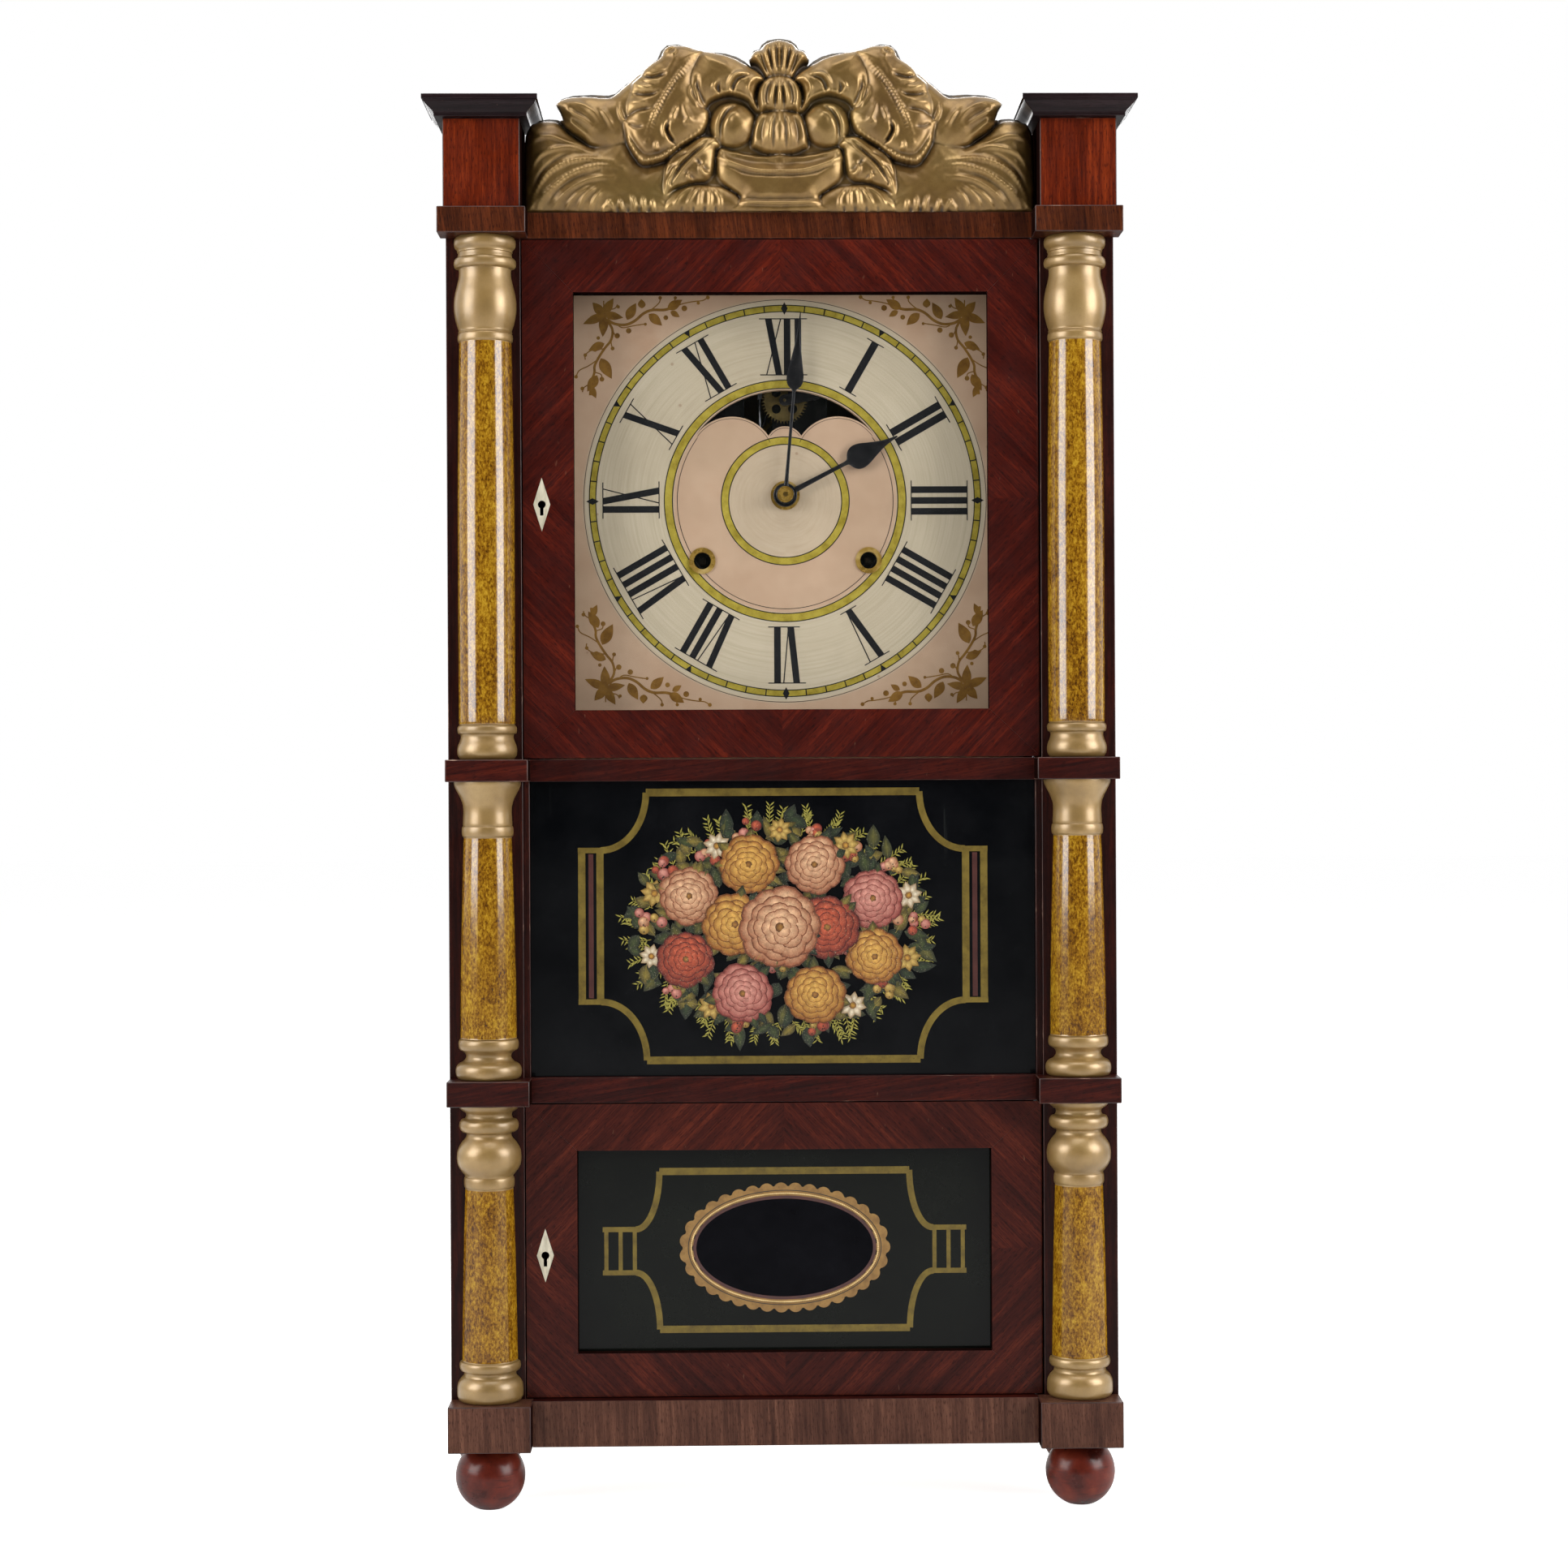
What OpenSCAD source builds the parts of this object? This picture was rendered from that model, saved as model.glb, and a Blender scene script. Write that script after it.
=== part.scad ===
// Three-tier mahogany shelf clock with half columns, carved crest, two doors and a weight-driven movement.
// Z is up, the front faces -Y, and the origin is on the floor under the middle of the clock.

/* [Case] */
// Width over the side boards
case_w = 424; // [410:1:450]
// Depth from the front faces of the stiles to the back of the back board
case_d = 122; // [120:1:150]
// Thickness of the side boards
side_t = 12; // [9:0.5:14]
// Thickness of the back board
back_t = 8; // [5:0.5:10]
// Thickness of the top and bottom boards
board_t = 12; // [9:0.5:16]
// Width of the front stiles
stile_w = 47.2; // [44:0.2:50]
// Thickness of the stiles, rails and doors
stile_t = 18; // [16:0.5:20]

/* [Heights] */
// Height of the ball feet
foot_h = 39.5; // [36:0.5:41]
// Height of the base rail and its blocks
base_h = 29; // [26:0.5:36]
// Height of the lower tier, behind the lower columns
lower_h = 187.5; // [182:0.5:220]
// Height of the rail over the lower tier
lower_rail_h = 16; // [12:0.5:20]
// Height of the middle tier
middle_h = 188; // [180:0.5:220]
// Height of the rail over the middle tier
upper_rail_h = 14; // [13:0.5:20]
// Height of the upper tier
upper_h = 330.5; // [320:0.5:350]
// Height of the top rail
top_rail_h = 16.5; // [14:0.5:20]
// Height of the square posts on the top
post_h = 56; // [45:0.5:70]
// Height of the moulded caps on the posts
cap_h = 12.5; // [10:0.5:18]
// Height of the carved crest over the top rail
crest_h = 109; // [95:0.5:130]

/* [Front] */
// How far the rail blocks stand proud of the stiles
block_proj = 22; // [20:0.5:26]
// How far the base blocks stand proud of the stiles
base_block_proj = 24; // [20:0.5:28]
// How far the base rail stands proud of the stiles
base_rail_proj = 8; // [4:0.5:14]
// How far the blocks reach past the stiles towards the middle
block_lap = 4.8; // [2:0.2:6]
// How far the top blocks reach past the side boards
block_lip = 3.6; // [0:0.2:6]
// Width of the posts
post_w = 48.4; // [40:0.2:52]
// Depth of the posts
post_d = 48; // [36:0.5:60]
// How far the posts stand proud of the stiles
post_proj = 18; // [10:0.5:22]
// How far the caps overhang the posts at the top
cap_over = 12; // [8:0.5:15]
// How far the caps overhang the posts at the bottom
cap_foot = 5; // [2:0.5:7]
// Thickness of the crest board behind its carving
crest_t = 14; // [10:0.5:18]
// Height of the carving in front of the crest board
carving_t = 6; // [4:0.5:8]

/* [Columns and feet] */
// Distance from the sides of the case in to the column axes
column_in = 24.8; // [23:0.2:26]
// Largest radius of the turned columns
column_r = 20.9; // [19:0.1:21.2]
// Radius of the ball feet
foot_r = 22; // [21:0.5:24]
// Distance from the sides of the case in to the front feet's centres
foot_side = 24.5; // [22:0.5:28]
// Distance from the sides of the case in to the rear feet's centres
rear_foot_side = 16; // [12:0.5:22]
// Distance from the stile faces back to the front feet
foot_in = 2; // [0:0.5:10]
// Distance from the back of the case forward to the rear feet
rear_foot_in = 24; // [22:0.5:36]

/* [Doors and tablets] */
// Gap round each door
door_gap = 0.8; // [0.6:0.1:1.2]
// Width of the doors' upright members
door_side_w = 32.4; // [30:0.2:38]
// Width of the upper door's top member
upper_head_w = 33.3; // [28:0.1:38]
// Width of the upper door's bottom member
upper_sill_w = 30.4; // [28:0.1:38]
// Width of the lower door's top member
lower_head_w = 29.6; // [26:0.1:34]
// Width of the lower door's bottom member
lower_sill_w = 27.5; // [24:0.1:34]
// Thickness of the lip in front of the door glass
lip_t = 8; // [5:0.5:9]
// Depth of the rabbet that holds the door glass
rabbet_w = 5; // [3:0.5:7]
// Thickness of the glass
glass_t = 2.2; // [2:0.1:3]
// Width of the glazing strips behind the glass
strip_w = 4; // [3:0.5:6]
// Radius of the door pins
pin_r = 1.3; // [1:0.1:1.5]
// Distance from the hinge edge of a door to its pins
pin_in = 4; // [3.6:0.1:5]
// Distance from the front of a door back to its pins
pin_back = 3; // [2.6:0.1:3.4]
// Rounding of the front hinge edge of a door
edge_r = 1.5; // [1:0.1:2]
// Width of the diamond escutcheons
escutcheon_w = 10.8; // [8:0.2:14]
// Height of the diamond escutcheons
escutcheon_h = 34; // [28:0.5:40]
// Thickness of the escutcheons
escutcheon_t = 1.2; // [1:0.1:1.6]
// Height of the upper keyhole over the bottom of its door
upper_key_z = 161; // [140:0.5:180]
// Height of the lower keyhole over the bottom of its door
lower_key_z = 90; // [70:0.5:110]
// Distance from the free edge of a door to its keyhole
key_in = 12; // [11:0.5:14]
// Radius of the keyholes
key_r = 2.5; // [2:0.1:3]
// Width of the lock cases
lock_w = 26; // [22:0.5:28]
// Height of the lock cases
lock_h = 34; // [30:0.5:40]
// Thickness of the lock cases
lock_t = 8; // [7:0.5:9]
// How far a lock bolt travels
bolt_travel = 6; // [4:0.5:7]
// Height of a lock bolt
bolt_h = 10; // [8:0.5:12]
// Thickness of a lock bolt
bolt_t = 4; // [3:0.1:4.5]
// Width of the stops beside the middle tablet
stop_w = 4; // [3:0.5:6]
// Distance from the stile faces back to the middle tablet
tablet_in = 6; // [4:0.5:8]

/* [Dial and hands] */
// Width of the dial board
dial_w = 312; // [300:1:312]
// Thickness of the dial board
dial_t = 5; // [4:0.5:6]
// Distance from the stile faces back to the dial board
dial_in = 30; // [29:0.5:31]
// Height of the dial circle's centre over the upper rail
dial_z = 166.5; // [160:0.5:170]
// Sideways place of the dial circle's centre
dial_x = 3; // [0:0.5:4]
// Height of the hands' arbor over the dial circle's centre
arbor_rise = 3.5; // [0:0.5:4]
// Radius of the arched opening in the dial
moon_r = 71.7; // [69:0.1:72]
// Sideways place of the two humps under the arched opening
hump_x = 34.2; // [33:0.1:35]
// Height of the humps' centres over the dial circle's centre
hump_z = 25.8; // [25:0.1:27]
// Radius of the humps
hump_r = 28.7; // [28:0.1:29]
// Radius of the small hump between them
mid_hump_r = 12.2; // [11:0.1:13]
// Length of the minute hand from the arbor to its tip
minute_hand_l = 118; // [100:1:120]
// Length of the hour hand from the arbor to its tip
hour_hand_l = 82; // [70:1:90]
// Clockwise angle of the minute hand from twelve
minute_angle = 5; // [0:1:10]
// Clockwise angle of the hour hand from twelve
hour_angle = 63; // [60:1:65]
// Thickness of the hands
hand_t = 1; // [0.8:0.1:1.2]

/* [Movement] */
// Thickness of the two movement plates
plate_t = 2; // [1.6:0.1:2.4]
// Distance from the stile faces back to the front plate
plate_in = 50; // [49:0.5:51]
// Distance between the plates
plate_gap = 40; // [38:0.5:41]
// Width of the straps that make up the plates
strap_w = 14; // [12:0.5:16]
// Sideways distance from the hands to the winding arbors
drum_x = 53.7; // [52:0.1:55]
// Distance of the winding arbors below the hands
drum_z = 42; // [40:0.5:44]
// Radius of the cord's centre line on the drums
drum_r = 10; // [9:0.5:11]
// Turns of cord that a full winding lays on each drum
drum_turns = 8; // [7:1:8]
// Radius of the winding arbors
winding_r = 3; // [2.6:0.1:3.2]
// Width of the winding squares
square_w = 4; // [3.4:0.1:4.2]
// Radius of the wheel arbors
arbor_r = 2; // [1.6:0.1:2.2]
// Radius of the pivots in the plates
pivot_r = 1; // [0.8:0.1:1.2]
// Clearance of each pivot in its hole
run_gap = 0.06; // [0.03:0.01:0.08]
// Thickness of the train wheels
wheel_t = 1.8; // [1.4:0.1:2]
// Module of the great wheels' teeth
great_m = 0.95; // [0.93:0.005:0.96]
// Height of the escape wheel's centre over the hands
escape_z = 62.8; // [61:0.1:63]
// Radius of the escape wheel over its teeth
escape_r = 15; // [14:0.1:15.5]
// Height of the verge's stud over the escape wheel's centre
verge_rise = 22.5; // [22:0.1:24]
// Gap between the pallets and the escape wheel's teeth at rest
pallet_gap = 0.9; // [0.8:0.05:1.2]
// Sideways place of the pendulum
pendulum_x = -13; // [-15:0.5:-12]
// Distance from the suspension to the middle of the bob
pendulum_l = 560; // [540:1:580]
// Radius of the pendulum bob
bob_r = 28; // [24:0.5:32]
// Thickness of the pendulum bob
bob_t = 12; // [8:0.5:14]

/* [Weights, cords and gong] */
// Width of the iron weights
weight_w = 40; // [34:0.5:40]
// Depth of the iron weights
weight_d = 54; // [40:1:54]
// Height of the iron weights
weight_h = 160; // [120:1:165]
// Height of the weights over the bottom board when they have run down
weight_rest = 3.5; // [2:0.5:8]
// Distance from the inside of the case to the middle of a weight
weight_side = 24; // [24:0.5:25]
// Radius of the cords
cord_r = 0.9; // [0.7:0.05:1]
// Radius of the cord's centre line on the pulleys
pulley_r = 14; // [12:0.5:14]
// Distance from the top board down to the pulley axles
pulley_drop = 20; // [19:0.5:24]
// Radius of the gong wire
gong_wire_r = 1.5; // [1.2:0.1:1.8]
// Outer radius of the gong's coil
gong_r = 36; // [30:0.5:40]
// Turns of wire in the gong
gong_turns = 3; // [2:1:3]
// Distance of the gong's centre below the hands
gong_drop = 153; // [145:1:160]

/* [Hidden] */
$fn = 48;

// Colours of the finishes
veneer = "#6b2d1c";
rail_wood = "#7c3620";
post_wood = "#8f4020";
dark_wood = "#33201c";
pine = "#b08a5c";
gilt = "#a78a58";
brass = "#b59446";
steel = "#8f9396";
iron = "#3a3a3c";
bone = "#e3d9c5";

// Levels of the case
base_z = foot_h;
base_top = base_z + base_h;
low_rail_z = base_top + lower_h;
low_rail_top = low_rail_z + lower_rail_h;
up_rail_z = low_rail_top + middle_h;
up_rail_top = up_rail_z + upper_rail_h;
top_rail_z = up_rail_top + upper_h;
top_z = top_rail_z + top_rail_h;
cap_z = top_z + post_h;

// Half widths and depths of the case
side_x = case_w / 2;
inner_x = side_x - side_t;
stile_x = side_x - stile_w;
block_x = stile_x - block_lap;
column_x = side_x - column_in;
foot_x = side_x - foot_side;
rear_foot_x = side_x - rear_foot_side;
weight_x = inner_x - weight_side;
front_y = (post_proj + cap_over - case_d) / 2;
back_y = front_y + case_d;
back_face = back_y - back_t;
frame_y = front_y + stile_t;

// Small gaps shared by many pieces
glue_gap = 0.1;
fit_gap = 0.15;
seat_gap = 0.3;
more = 1;

// Doors
door_x = stile_x - door_gap;
pin_x = door_x - pin_in;
pin_y = front_y + pin_back;
key_x = -door_x + key_in;
pin_depth = 10;
pin_hold = 6;
glass_y = front_y + lip_t;
slot_w = 2.2;
slot_h = 7;
bolt_l = 20;
bolt_rise = 12;
lock_drop = 12;

// Places along the depth, from front to back
dial_y = front_y + dial_in;
dial_back = dial_y + dial_t;
plate_y = front_y + plate_in;
gap_y = plate_y + plate_t;
gap_end = gap_y + plate_gap;
plate_end = gap_end + plate_t;
cord_y = gap_y + 19;
hour_hand_y = dial_y - 4;
minute_hand_y = dial_y - 7.4;
rod_y = plate_y - 3.4;

// The hands' arbor is the datum of the movement
arbor_z = up_rail_top + dial_z + arbor_rise;
dial_mid_z = up_rail_top + dial_z;
arbor_at = [dial_x, arbor_z];

// Tooth counts
great_teeth = 72;
inter_pinion = 12;
inter_teeth = 48;
centre_pinion = 12;
centre_teeth = 72;
third_pinion = 10;
third_teeth = 64;
escape_pinion = 8;
escape_teeth = 42;
cannon_teeth = 16;
minute_teeth = 48;
minute_pinion = 12;
hour_teeth = 48;
strike_teeth = 78;
pin_pinion = 8;
pin_teeth = 64;
pin_count = 16;
cam_pinion = 8;
cam_teeth = 56;
fly_pinion = 7;

// Modules of the teeth
inter_m = 1.1;
motion_d = 19.2;
cannon_m = 2 * motion_d / (cannon_teeth + minute_teeth);
hour_m = 2 * motion_d / (minute_pinion + hour_teeth);
strike_m = 0.9;
pin_m = 0.7;
cam_m = 0.6;
low_d = 33.5;
high_d = 30.5;
centre_m = 2 * low_d / (centre_teeth + third_pinion);
third_m = 2 * high_d / (third_teeth + escape_pinion);

// Centre distance of a wheel and its pinion
function spread(a, b, m) = (a + b) * m / 2;

// Point that lies ra from a and rb from b, on the side given by 1 or -1
function meet(a, b, ra, rb, side) =
  let (d = norm(b - a), u = (b - a) / d, k = (ra * ra - rb * rb + d * d) / (2 * d),
       h = sqrt(max(0, ra * ra - k * k)))
  a + u * k + [u.y, -u.x] * h * side;

// Angle from one point to another
function aim(a, b) = atan2(b.y - a.y, b.x - a.x);
function polar(a, r, angle) = a + r * [cos(angle), sin(angle)];

// Turn of a wheel that puts its gap against a tooth of the wheel that drives it
function mesh(turn, teeth_a, teeth_b, angle) =
  angle + 180 + (180 - (turn - angle) * teeth_a) / teeth_b;

// Arbor places in the plane of the plates, from the hands' arbor
centre_at = arbor_at;
great_at = arbor_at + [drum_x, -drum_z];
strike_at = arbor_at + [-drum_x, -drum_z];
inter_at = meet(centre_at, great_at, spread(inter_teeth, centre_pinion, inter_m),
                spread(great_teeth, inter_pinion, great_m), 1);
escape_at = arbor_at + [0, escape_z];
third_at = meet(centre_at, escape_at, low_d, high_d, 1);
verge_at = escape_at + [0, verge_rise];
hang_at = [pendulum_x, verge_at.y];
minute_at = polar(centre_at, motion_d, -20);
pin_at = polar(strike_at, spread(strike_teeth, pin_pinion, strike_m), 80);
cam_at = polar(pin_at, spread(pin_teeth, cam_pinion, pin_m), 75);
fly_at = polar(cam_at, spread(cam_teeth, fly_pinion, cam_m), 70);
hammer_side = 12;
hammer_drop = 58;
hammer_at = arbor_at - [hammer_side, hammer_drop];

// Turns that bring the meshing teeth together
inter_turn = mesh(0, great_teeth, inter_pinion, aim(great_at, inter_at));
centre_turn = mesh(0, inter_teeth, centre_pinion, aim(inter_at, centre_at));
third_turn = mesh(0, centre_teeth, third_pinion, aim(centre_at, third_at));
escape_turn = mesh(0, third_teeth, escape_pinion, aim(third_at, escape_at));
minute_turn = mesh(0, cannon_teeth, minute_teeth, aim(centre_at, minute_at));
hour_turn = mesh(0, minute_pinion, hour_teeth, aim(minute_at, centre_at));
pin_turn = mesh(0, strike_teeth, pin_pinion, aim(strike_at, pin_at));
cam_turn = mesh(0, pin_teeth, cam_pinion, aim(pin_at, cam_at));
fly_turn = mesh(0, cam_teeth, fly_pinion, aim(cam_at, fly_at));

// Radius of the pillars between the plates
pillar_r = 4;

// Weights, pulleys and cords
bottom_z = base_top;
weight_z = bottom_z + weight_rest;
hook_h = 18;
hook_z = weight_z + weight_h + hook_h;
fall = drum_turns * 2 * PI * drum_r;
pulley_x = weight_x - pulley_r;
pulley_z = top_z - board_t - pulley_drop;
pulley_w = 8;
groove_gap = 0.1;

// Plain helpers

// Outline of a bar with round ends from one point to another
function stadium(a, b, r, n = 10) =
  let (t = aim(a, b))
  concat([for (i = [0:n]) polar(b, r, t - 90 + i * 180 / n)],
         [for (i = [0:n]) polar(a, r, t + 90 + i * 180 / n)]);

module slab(x0, x1, y0, y1, z0, z1) {
  translate([x0, y0, z0])
    cube([x1 - x0, y1 - y0, z1 - z0]);
}

module both_sides() {
  children();
  mirror([1, 0, 0])
    children();
}

// Round bar along the depth
module rod(at, r, y0, y1) {
  translate([at.x, y0, at.y])
    rotate([-90, 0, 0])
      cylinder(h = y1 - y0, r = r);
}

// Flat shape drawn as seen from the front, standing between two depths
module sheet(y0, y1, at = [0, 0]) {
  translate([at.x, y1, at.y])
    rotate([90, 0, 0])
      linear_extrude(y1 - y0)
        children();
}

// Flat bar with round ends
module strap_bar(a, b, y0, t, w) {
  sheet(y0, y0 + t)
    polygon(stadium(a, b, w / 2));
}

// Unbroken round tube along a path drawn as seen from the front
function heading(path, i) =
  let (d = path[min(i + 1, len(path) - 1)] - path[max(i - 1, 0)])
  d / norm(d);

module tube(path, y, r, sides = 8) {
  last = len(path) - 1;
  rings = [for (i = [0:last], k = [0:sides - 1])
             let (u = heading(path, i), a = k * 360 / sides)
             [path[i].x + r * cos(a) * u.y, y + r * sin(a), path[i].y - r * cos(a) * u.x]];
  near = [for (i = [0:last - 1], k = [0:sides - 1])
            [i * sides + k, (i + 1) * sides + (k + 1) % sides, i * sides + (k + 1) % sides]];
  far = [for (i = [0:last - 1], k = [0:sides - 1])
           [i * sides + k, (i + 1) * sides + k, (i + 1) * sides + (k + 1) % sides]];
  ends = [[for (k = [0:sides - 1]) k], [for (k = [sides - 1:-1:0]) last * sides + k]];
  polyhedron(rings, concat(ends, near, far));
}

// Points along a line that bulges by a sine, for turned beads and coves
function swell(z0, z1, r0, r1, bulge, n = 6) =
  [for (i = [0:n]) let (t = i / n) [r0 + (r1 - r0) * t + bulge * sin(180 * t), z0 + (z1 - z0) * t]];

// Half of a turned column whose foot and head are lists of radius and height
module half_column(h, foot, head) {
  turned = [for (p = head) [p.x, h - p.y]];
  last = len(turned) - 1;
  upwards = [for (i = [last:-1:0]) turned[i]];
  k = column_r / 20.9;
  rotate([0, 0, 180])
    rotate_extrude(angle = 180)
      polygon(concat([[0, 0]], [for (p = concat(foot, upwards)) [p.x * k, p.y]], [[0, h]]));
}

module column_pair(z0, h, foot, head) {
  both_sides()
    translate([column_x, front_y, z0])
      half_column(h, foot, head);
}

// Case

module side_boards() {
  color(rail_wood)
    both_sides()
      slab(inner_x, side_x, frame_y, back_y, base_z, top_z);
}

module back_board() {
  color(pine)
    slab(-inner_x, inner_x, back_face, back_y, base_z, top_z);
}

module end_boards() {
  color(pine) {
    slab(-inner_x, inner_x, frame_y, back_face, top_z - board_t, top_z);
    slab(-inner_x, inner_x, frame_y, back_face, base_top - board_t, base_top);
  }
}

module front_stiles() {
  color(rail_wood)
    both_sides()
      slab(stile_x, side_x, front_y, frame_y, base_z, top_z);
}

// Socket in a rail for a door pin
module pin_socket(z) {
  translate([pin_x, pin_y, z])
    cylinder(h = pin_hold + fit_gap, r = pin_r + 0.02);
}

module rail(z0, h) {
  slab(-stile_x, stile_x, front_y, frame_y, z0, z0 + h);
}

module cross_rails() {
  color(rail_wood) {
    difference() {
      rail(top_rail_z, top_rail_h);
      translate([0, 0, -more])
        pin_socket(top_rail_z);
      pin_socket(top_rail_z);
    }
    difference() {
      rail(up_rail_z, upper_rail_h);
      pin_socket(up_rail_top - pin_hold);
    }
    difference() {
      rail(low_rail_z, lower_rail_h);
      translate([0, 0, -more])
        pin_socket(low_rail_z);
      pin_socket(low_rail_z);
    }
    difference() {
      union() {
        rail(base_z, base_h);
        slab(-block_x, block_x, front_y - base_rail_proj, front_y, base_z, base_top);
      }
      pin_socket(base_top - pin_hold);
    }
  }
}

module column_blocks() {
  color(rail_wood)
    both_sides() {
      slab(block_x, side_x + block_lip, front_y - block_proj, front_y, top_rail_z, top_z);
      slab(block_x, side_x, front_y - block_proj, front_y, up_rail_z, up_rail_top);
      slab(block_x, side_x, front_y - block_proj, front_y, low_rail_z, low_rail_top);
      slab(block_x, side_x, front_y - base_block_proj, front_y, base_z, base_top);
    }
}

module top_posts() {
  color(post_wood)
    both_sides()
      slab(side_x - post_w, side_x, front_y - post_proj, front_y - post_proj + post_d, top_z, cap_z);
}

// Moulded edge of a cap: overhang and height, from its foot up
function cap_edge() =
  concat([[cap_foot, 0]],
         [for (i = [0:8]) let (t = i / 8)
            [cap_foot + (cap_over - 1 - cap_foot) * t * t * (3 - 2 * t), cap_h * (0.12 + 0.62 * t)]],
         [[cap_over, cap_h * 0.76], [cap_over, cap_h]]);

module post_caps() {
  edge = cap_edge();
  across = concat([for (p = edge) [post_w / 2 + p.x, p.y]],
                  [for (i = [len(edge) - 1:-1:0]) [-post_w / 2 - edge[i].x, edge[i].y]]);
  along = concat([[post_d, 0]], [for (p = edge) [-p.x, p.y]], [[post_d, cap_h]]);
  color(dark_wood)
    both_sides()
      translate([side_x - post_w / 2, front_y - post_proj, cap_z])
        intersection() {
          translate([0, post_d + more, 0])
            rotate([90, 0, 0])
              linear_extrude(post_d + 2 * cap_over)
                polygon(across);
          translate([-post_w, 0, 0])
            rotate([90, 0, 90])
              linear_extrude(2 * post_w)
                polygon(along);
        }
}

// Outline of the crest's left half, from its lower corner to the shell's top, as shares of its height
crest_half = side_x - post_w - seat_gap;
crest_left = [
  [0, 0], [0, 0.345], [4, 0.49], [15, 0.53], [26, 0.515], [19, 0.62], [31, 0.665], [53, 0.67], [58, 0.68],
  [85, 0.885], [88, 0.935], [97, 0.96], [113, 0.92], [128, 0.912], [140, 0.87], [145, 0.84], [143, 0.885],
  [146, 0.935], [152, 0.975], [crest_half, 1]
];

// Fruit and bowl of the crest, the bowl's outline as shares of the crest's height
apple_r = crest_h * 0.124;
melon_r = crest_h * 0.156;
pomegranate_r = crest_h * 0.128;
bowl_outline = [
  [-0.275, 0], [0.275, 0], [0.239, 0.055], [0.376, 0.367], [0, 0.303], [-0.376, 0.367], [-0.239, 0.055]
];

// Leaf with a pointed tip, from its root, length and width
module leaf(at, l, w, angle, y0, y1) {
  sheet(y0, y1, at)
    rotate(angle)
      polygon(concat([for (i = [0:10]) let (t = i / 10) [l * t, w * sin(180 * pow(t, 0.8)) / 2]],
                     [for (i = [9:-1:1]) let (t = i / 10) [l * t, -w * sin(180 * pow(t, 0.8)) / 2]]));
}

module crest_splat() {
  left = [for (p = crest_left) [p.x - crest_half, p.y * crest_h]];
  right = [for (i = [len(left) - 2:-1:0]) [-left[i].x, left[i].y]];
  board_y = front_y;
  relief_y = board_y - carving_t;
  color(gilt)
    translate([0, 0, top_z]) {
      sheet(board_y, board_y + crest_t)
        polygon(concat(left, right));
      both_sides() {
        leaf([-crest_half * 0.527, crest_h * 0.33], crest_h * 0.66, crest_h * 0.42, 52,
             relief_y, board_y + more);
        leaf([-crest_half * 0.968, crest_h * 0.12], crest_half * 0.44, crest_h * 0.367, 14,
             relief_y + 2, board_y + more);
        leaf([-crest_half * 0.564, crest_h * 0.06], crest_half * 0.343, crest_h * 0.275, 24,
             relief_y + 1, board_y + more);
        translate([-crest_half * 0.19, board_y + 4, crest_h * 0.5])
          sphere(r = apple_r);
      }
      translate([0, board_y + 6, crest_h * 0.46])
        sphere(r = melon_r);
      translate([0, board_y + 4, crest_h * 0.66])
        sphere(r = pomegranate_r);
      leaf([0, crest_h * 0.74], crest_h * 0.24, crest_h * 0.312, 90, relief_y + 2, board_y + more);
      sheet(relief_y - 1, board_y + more)
        polygon([for (p = bowl_outline) p * crest_h]);
    }
}

module upper_columns() {
  color(gilt)
    column_pair(up_rail_top, upper_h,
      concat([[0, 0]], swell(0, 11, 17.4, 17.4, 1.4), swell(12, 16, 17.2, 17.2, -0.4),
             swell(17, 22.4, 17.6, 17.6, 1), [[17.9, 23]], [[17.9, 155]]),
      concat([[0, 0]], swell(0, 7.2, 18.2, 18.2, 1.1), swell(8, 12.6, 17.3, 17.3, -0.3),
             swell(13, 18.5, 18.6, 18.6, 1.2), swell(19, 24.5, 16.6, 16.6, -0.2),
             swell(25, 59, 17.2, 16.7, 2.9, 10), swell(59.6, 66, 16.8, 16.8, 0.8), [[16.6, 66.6]]));
}

module middle_columns() {
  color(gilt)
    column_pair(low_rail_top, middle_h,
      concat([[0, 0]], swell(0, 10.5, 18, 18, 2.9), swell(11, 18.6, 16, 16, -2.2),
             swell(19, 25, 17.6, 17.6, 1.5), [[17.8, 26]], [[17.2, 90]]),
      concat([[0, 0]], swell(0, 17.6, 20.6, 15.8, 1.6), [[15.6, 24]], swell(25, 33.6, 15.7, 15.7, 0.9),
             [[15.3, 34.6]]));
}

module lower_columns() {
  color(gilt)
    column_pair(base_top, lower_h,
      concat([[0, 0]], swell(0, 15, 18.6, 18.6, 2.3), swell(15.6, 19.4, 16.8, 16.8, -0.4),
             swell(19.8, 25, 18, 18, 1.4), [[17.5, 25.6]], [[16.8, 90]]),
      concat([[0, 0]], swell(0, 8, 19.3, 14.6, 0.4), swell(8.6, 17, 16.4, 16.4, 2.4), [[14, 19]],
             swell(20.4, 46, 14.4, 14.8, 5.9, 10), swell(46.6, 52.4, 15.5, 15.5, 0.7), [[15.3, 53.2]]));
}

module ball_foot(at) {
  flat_r = 9;
  centre_z = sqrt(foot_r * foot_r - flat_r * flat_r);
  translate([at.x, at.y, centre_z])
    intersection() {
      sphere(r = foot_r);
      translate([0, 0, -centre_z])
        cylinder(h = foot_h, r = foot_r + more);
    }
}

module ball_feet() {
  color(veneer)
    both_sides() {
      ball_foot([foot_x, front_y + foot_in]);
      ball_foot([rear_foot_x, back_y - rear_foot_in]);
    }
}

// Middle tablet

tablet_y = front_y + tablet_in;

module middle_tablet() {
  color("#181a1c")
    slab(-stile_x + fit_gap, stile_x - fit_gap, tablet_y, tablet_y + glass_t, low_rail_top, up_rail_z);
}

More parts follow.
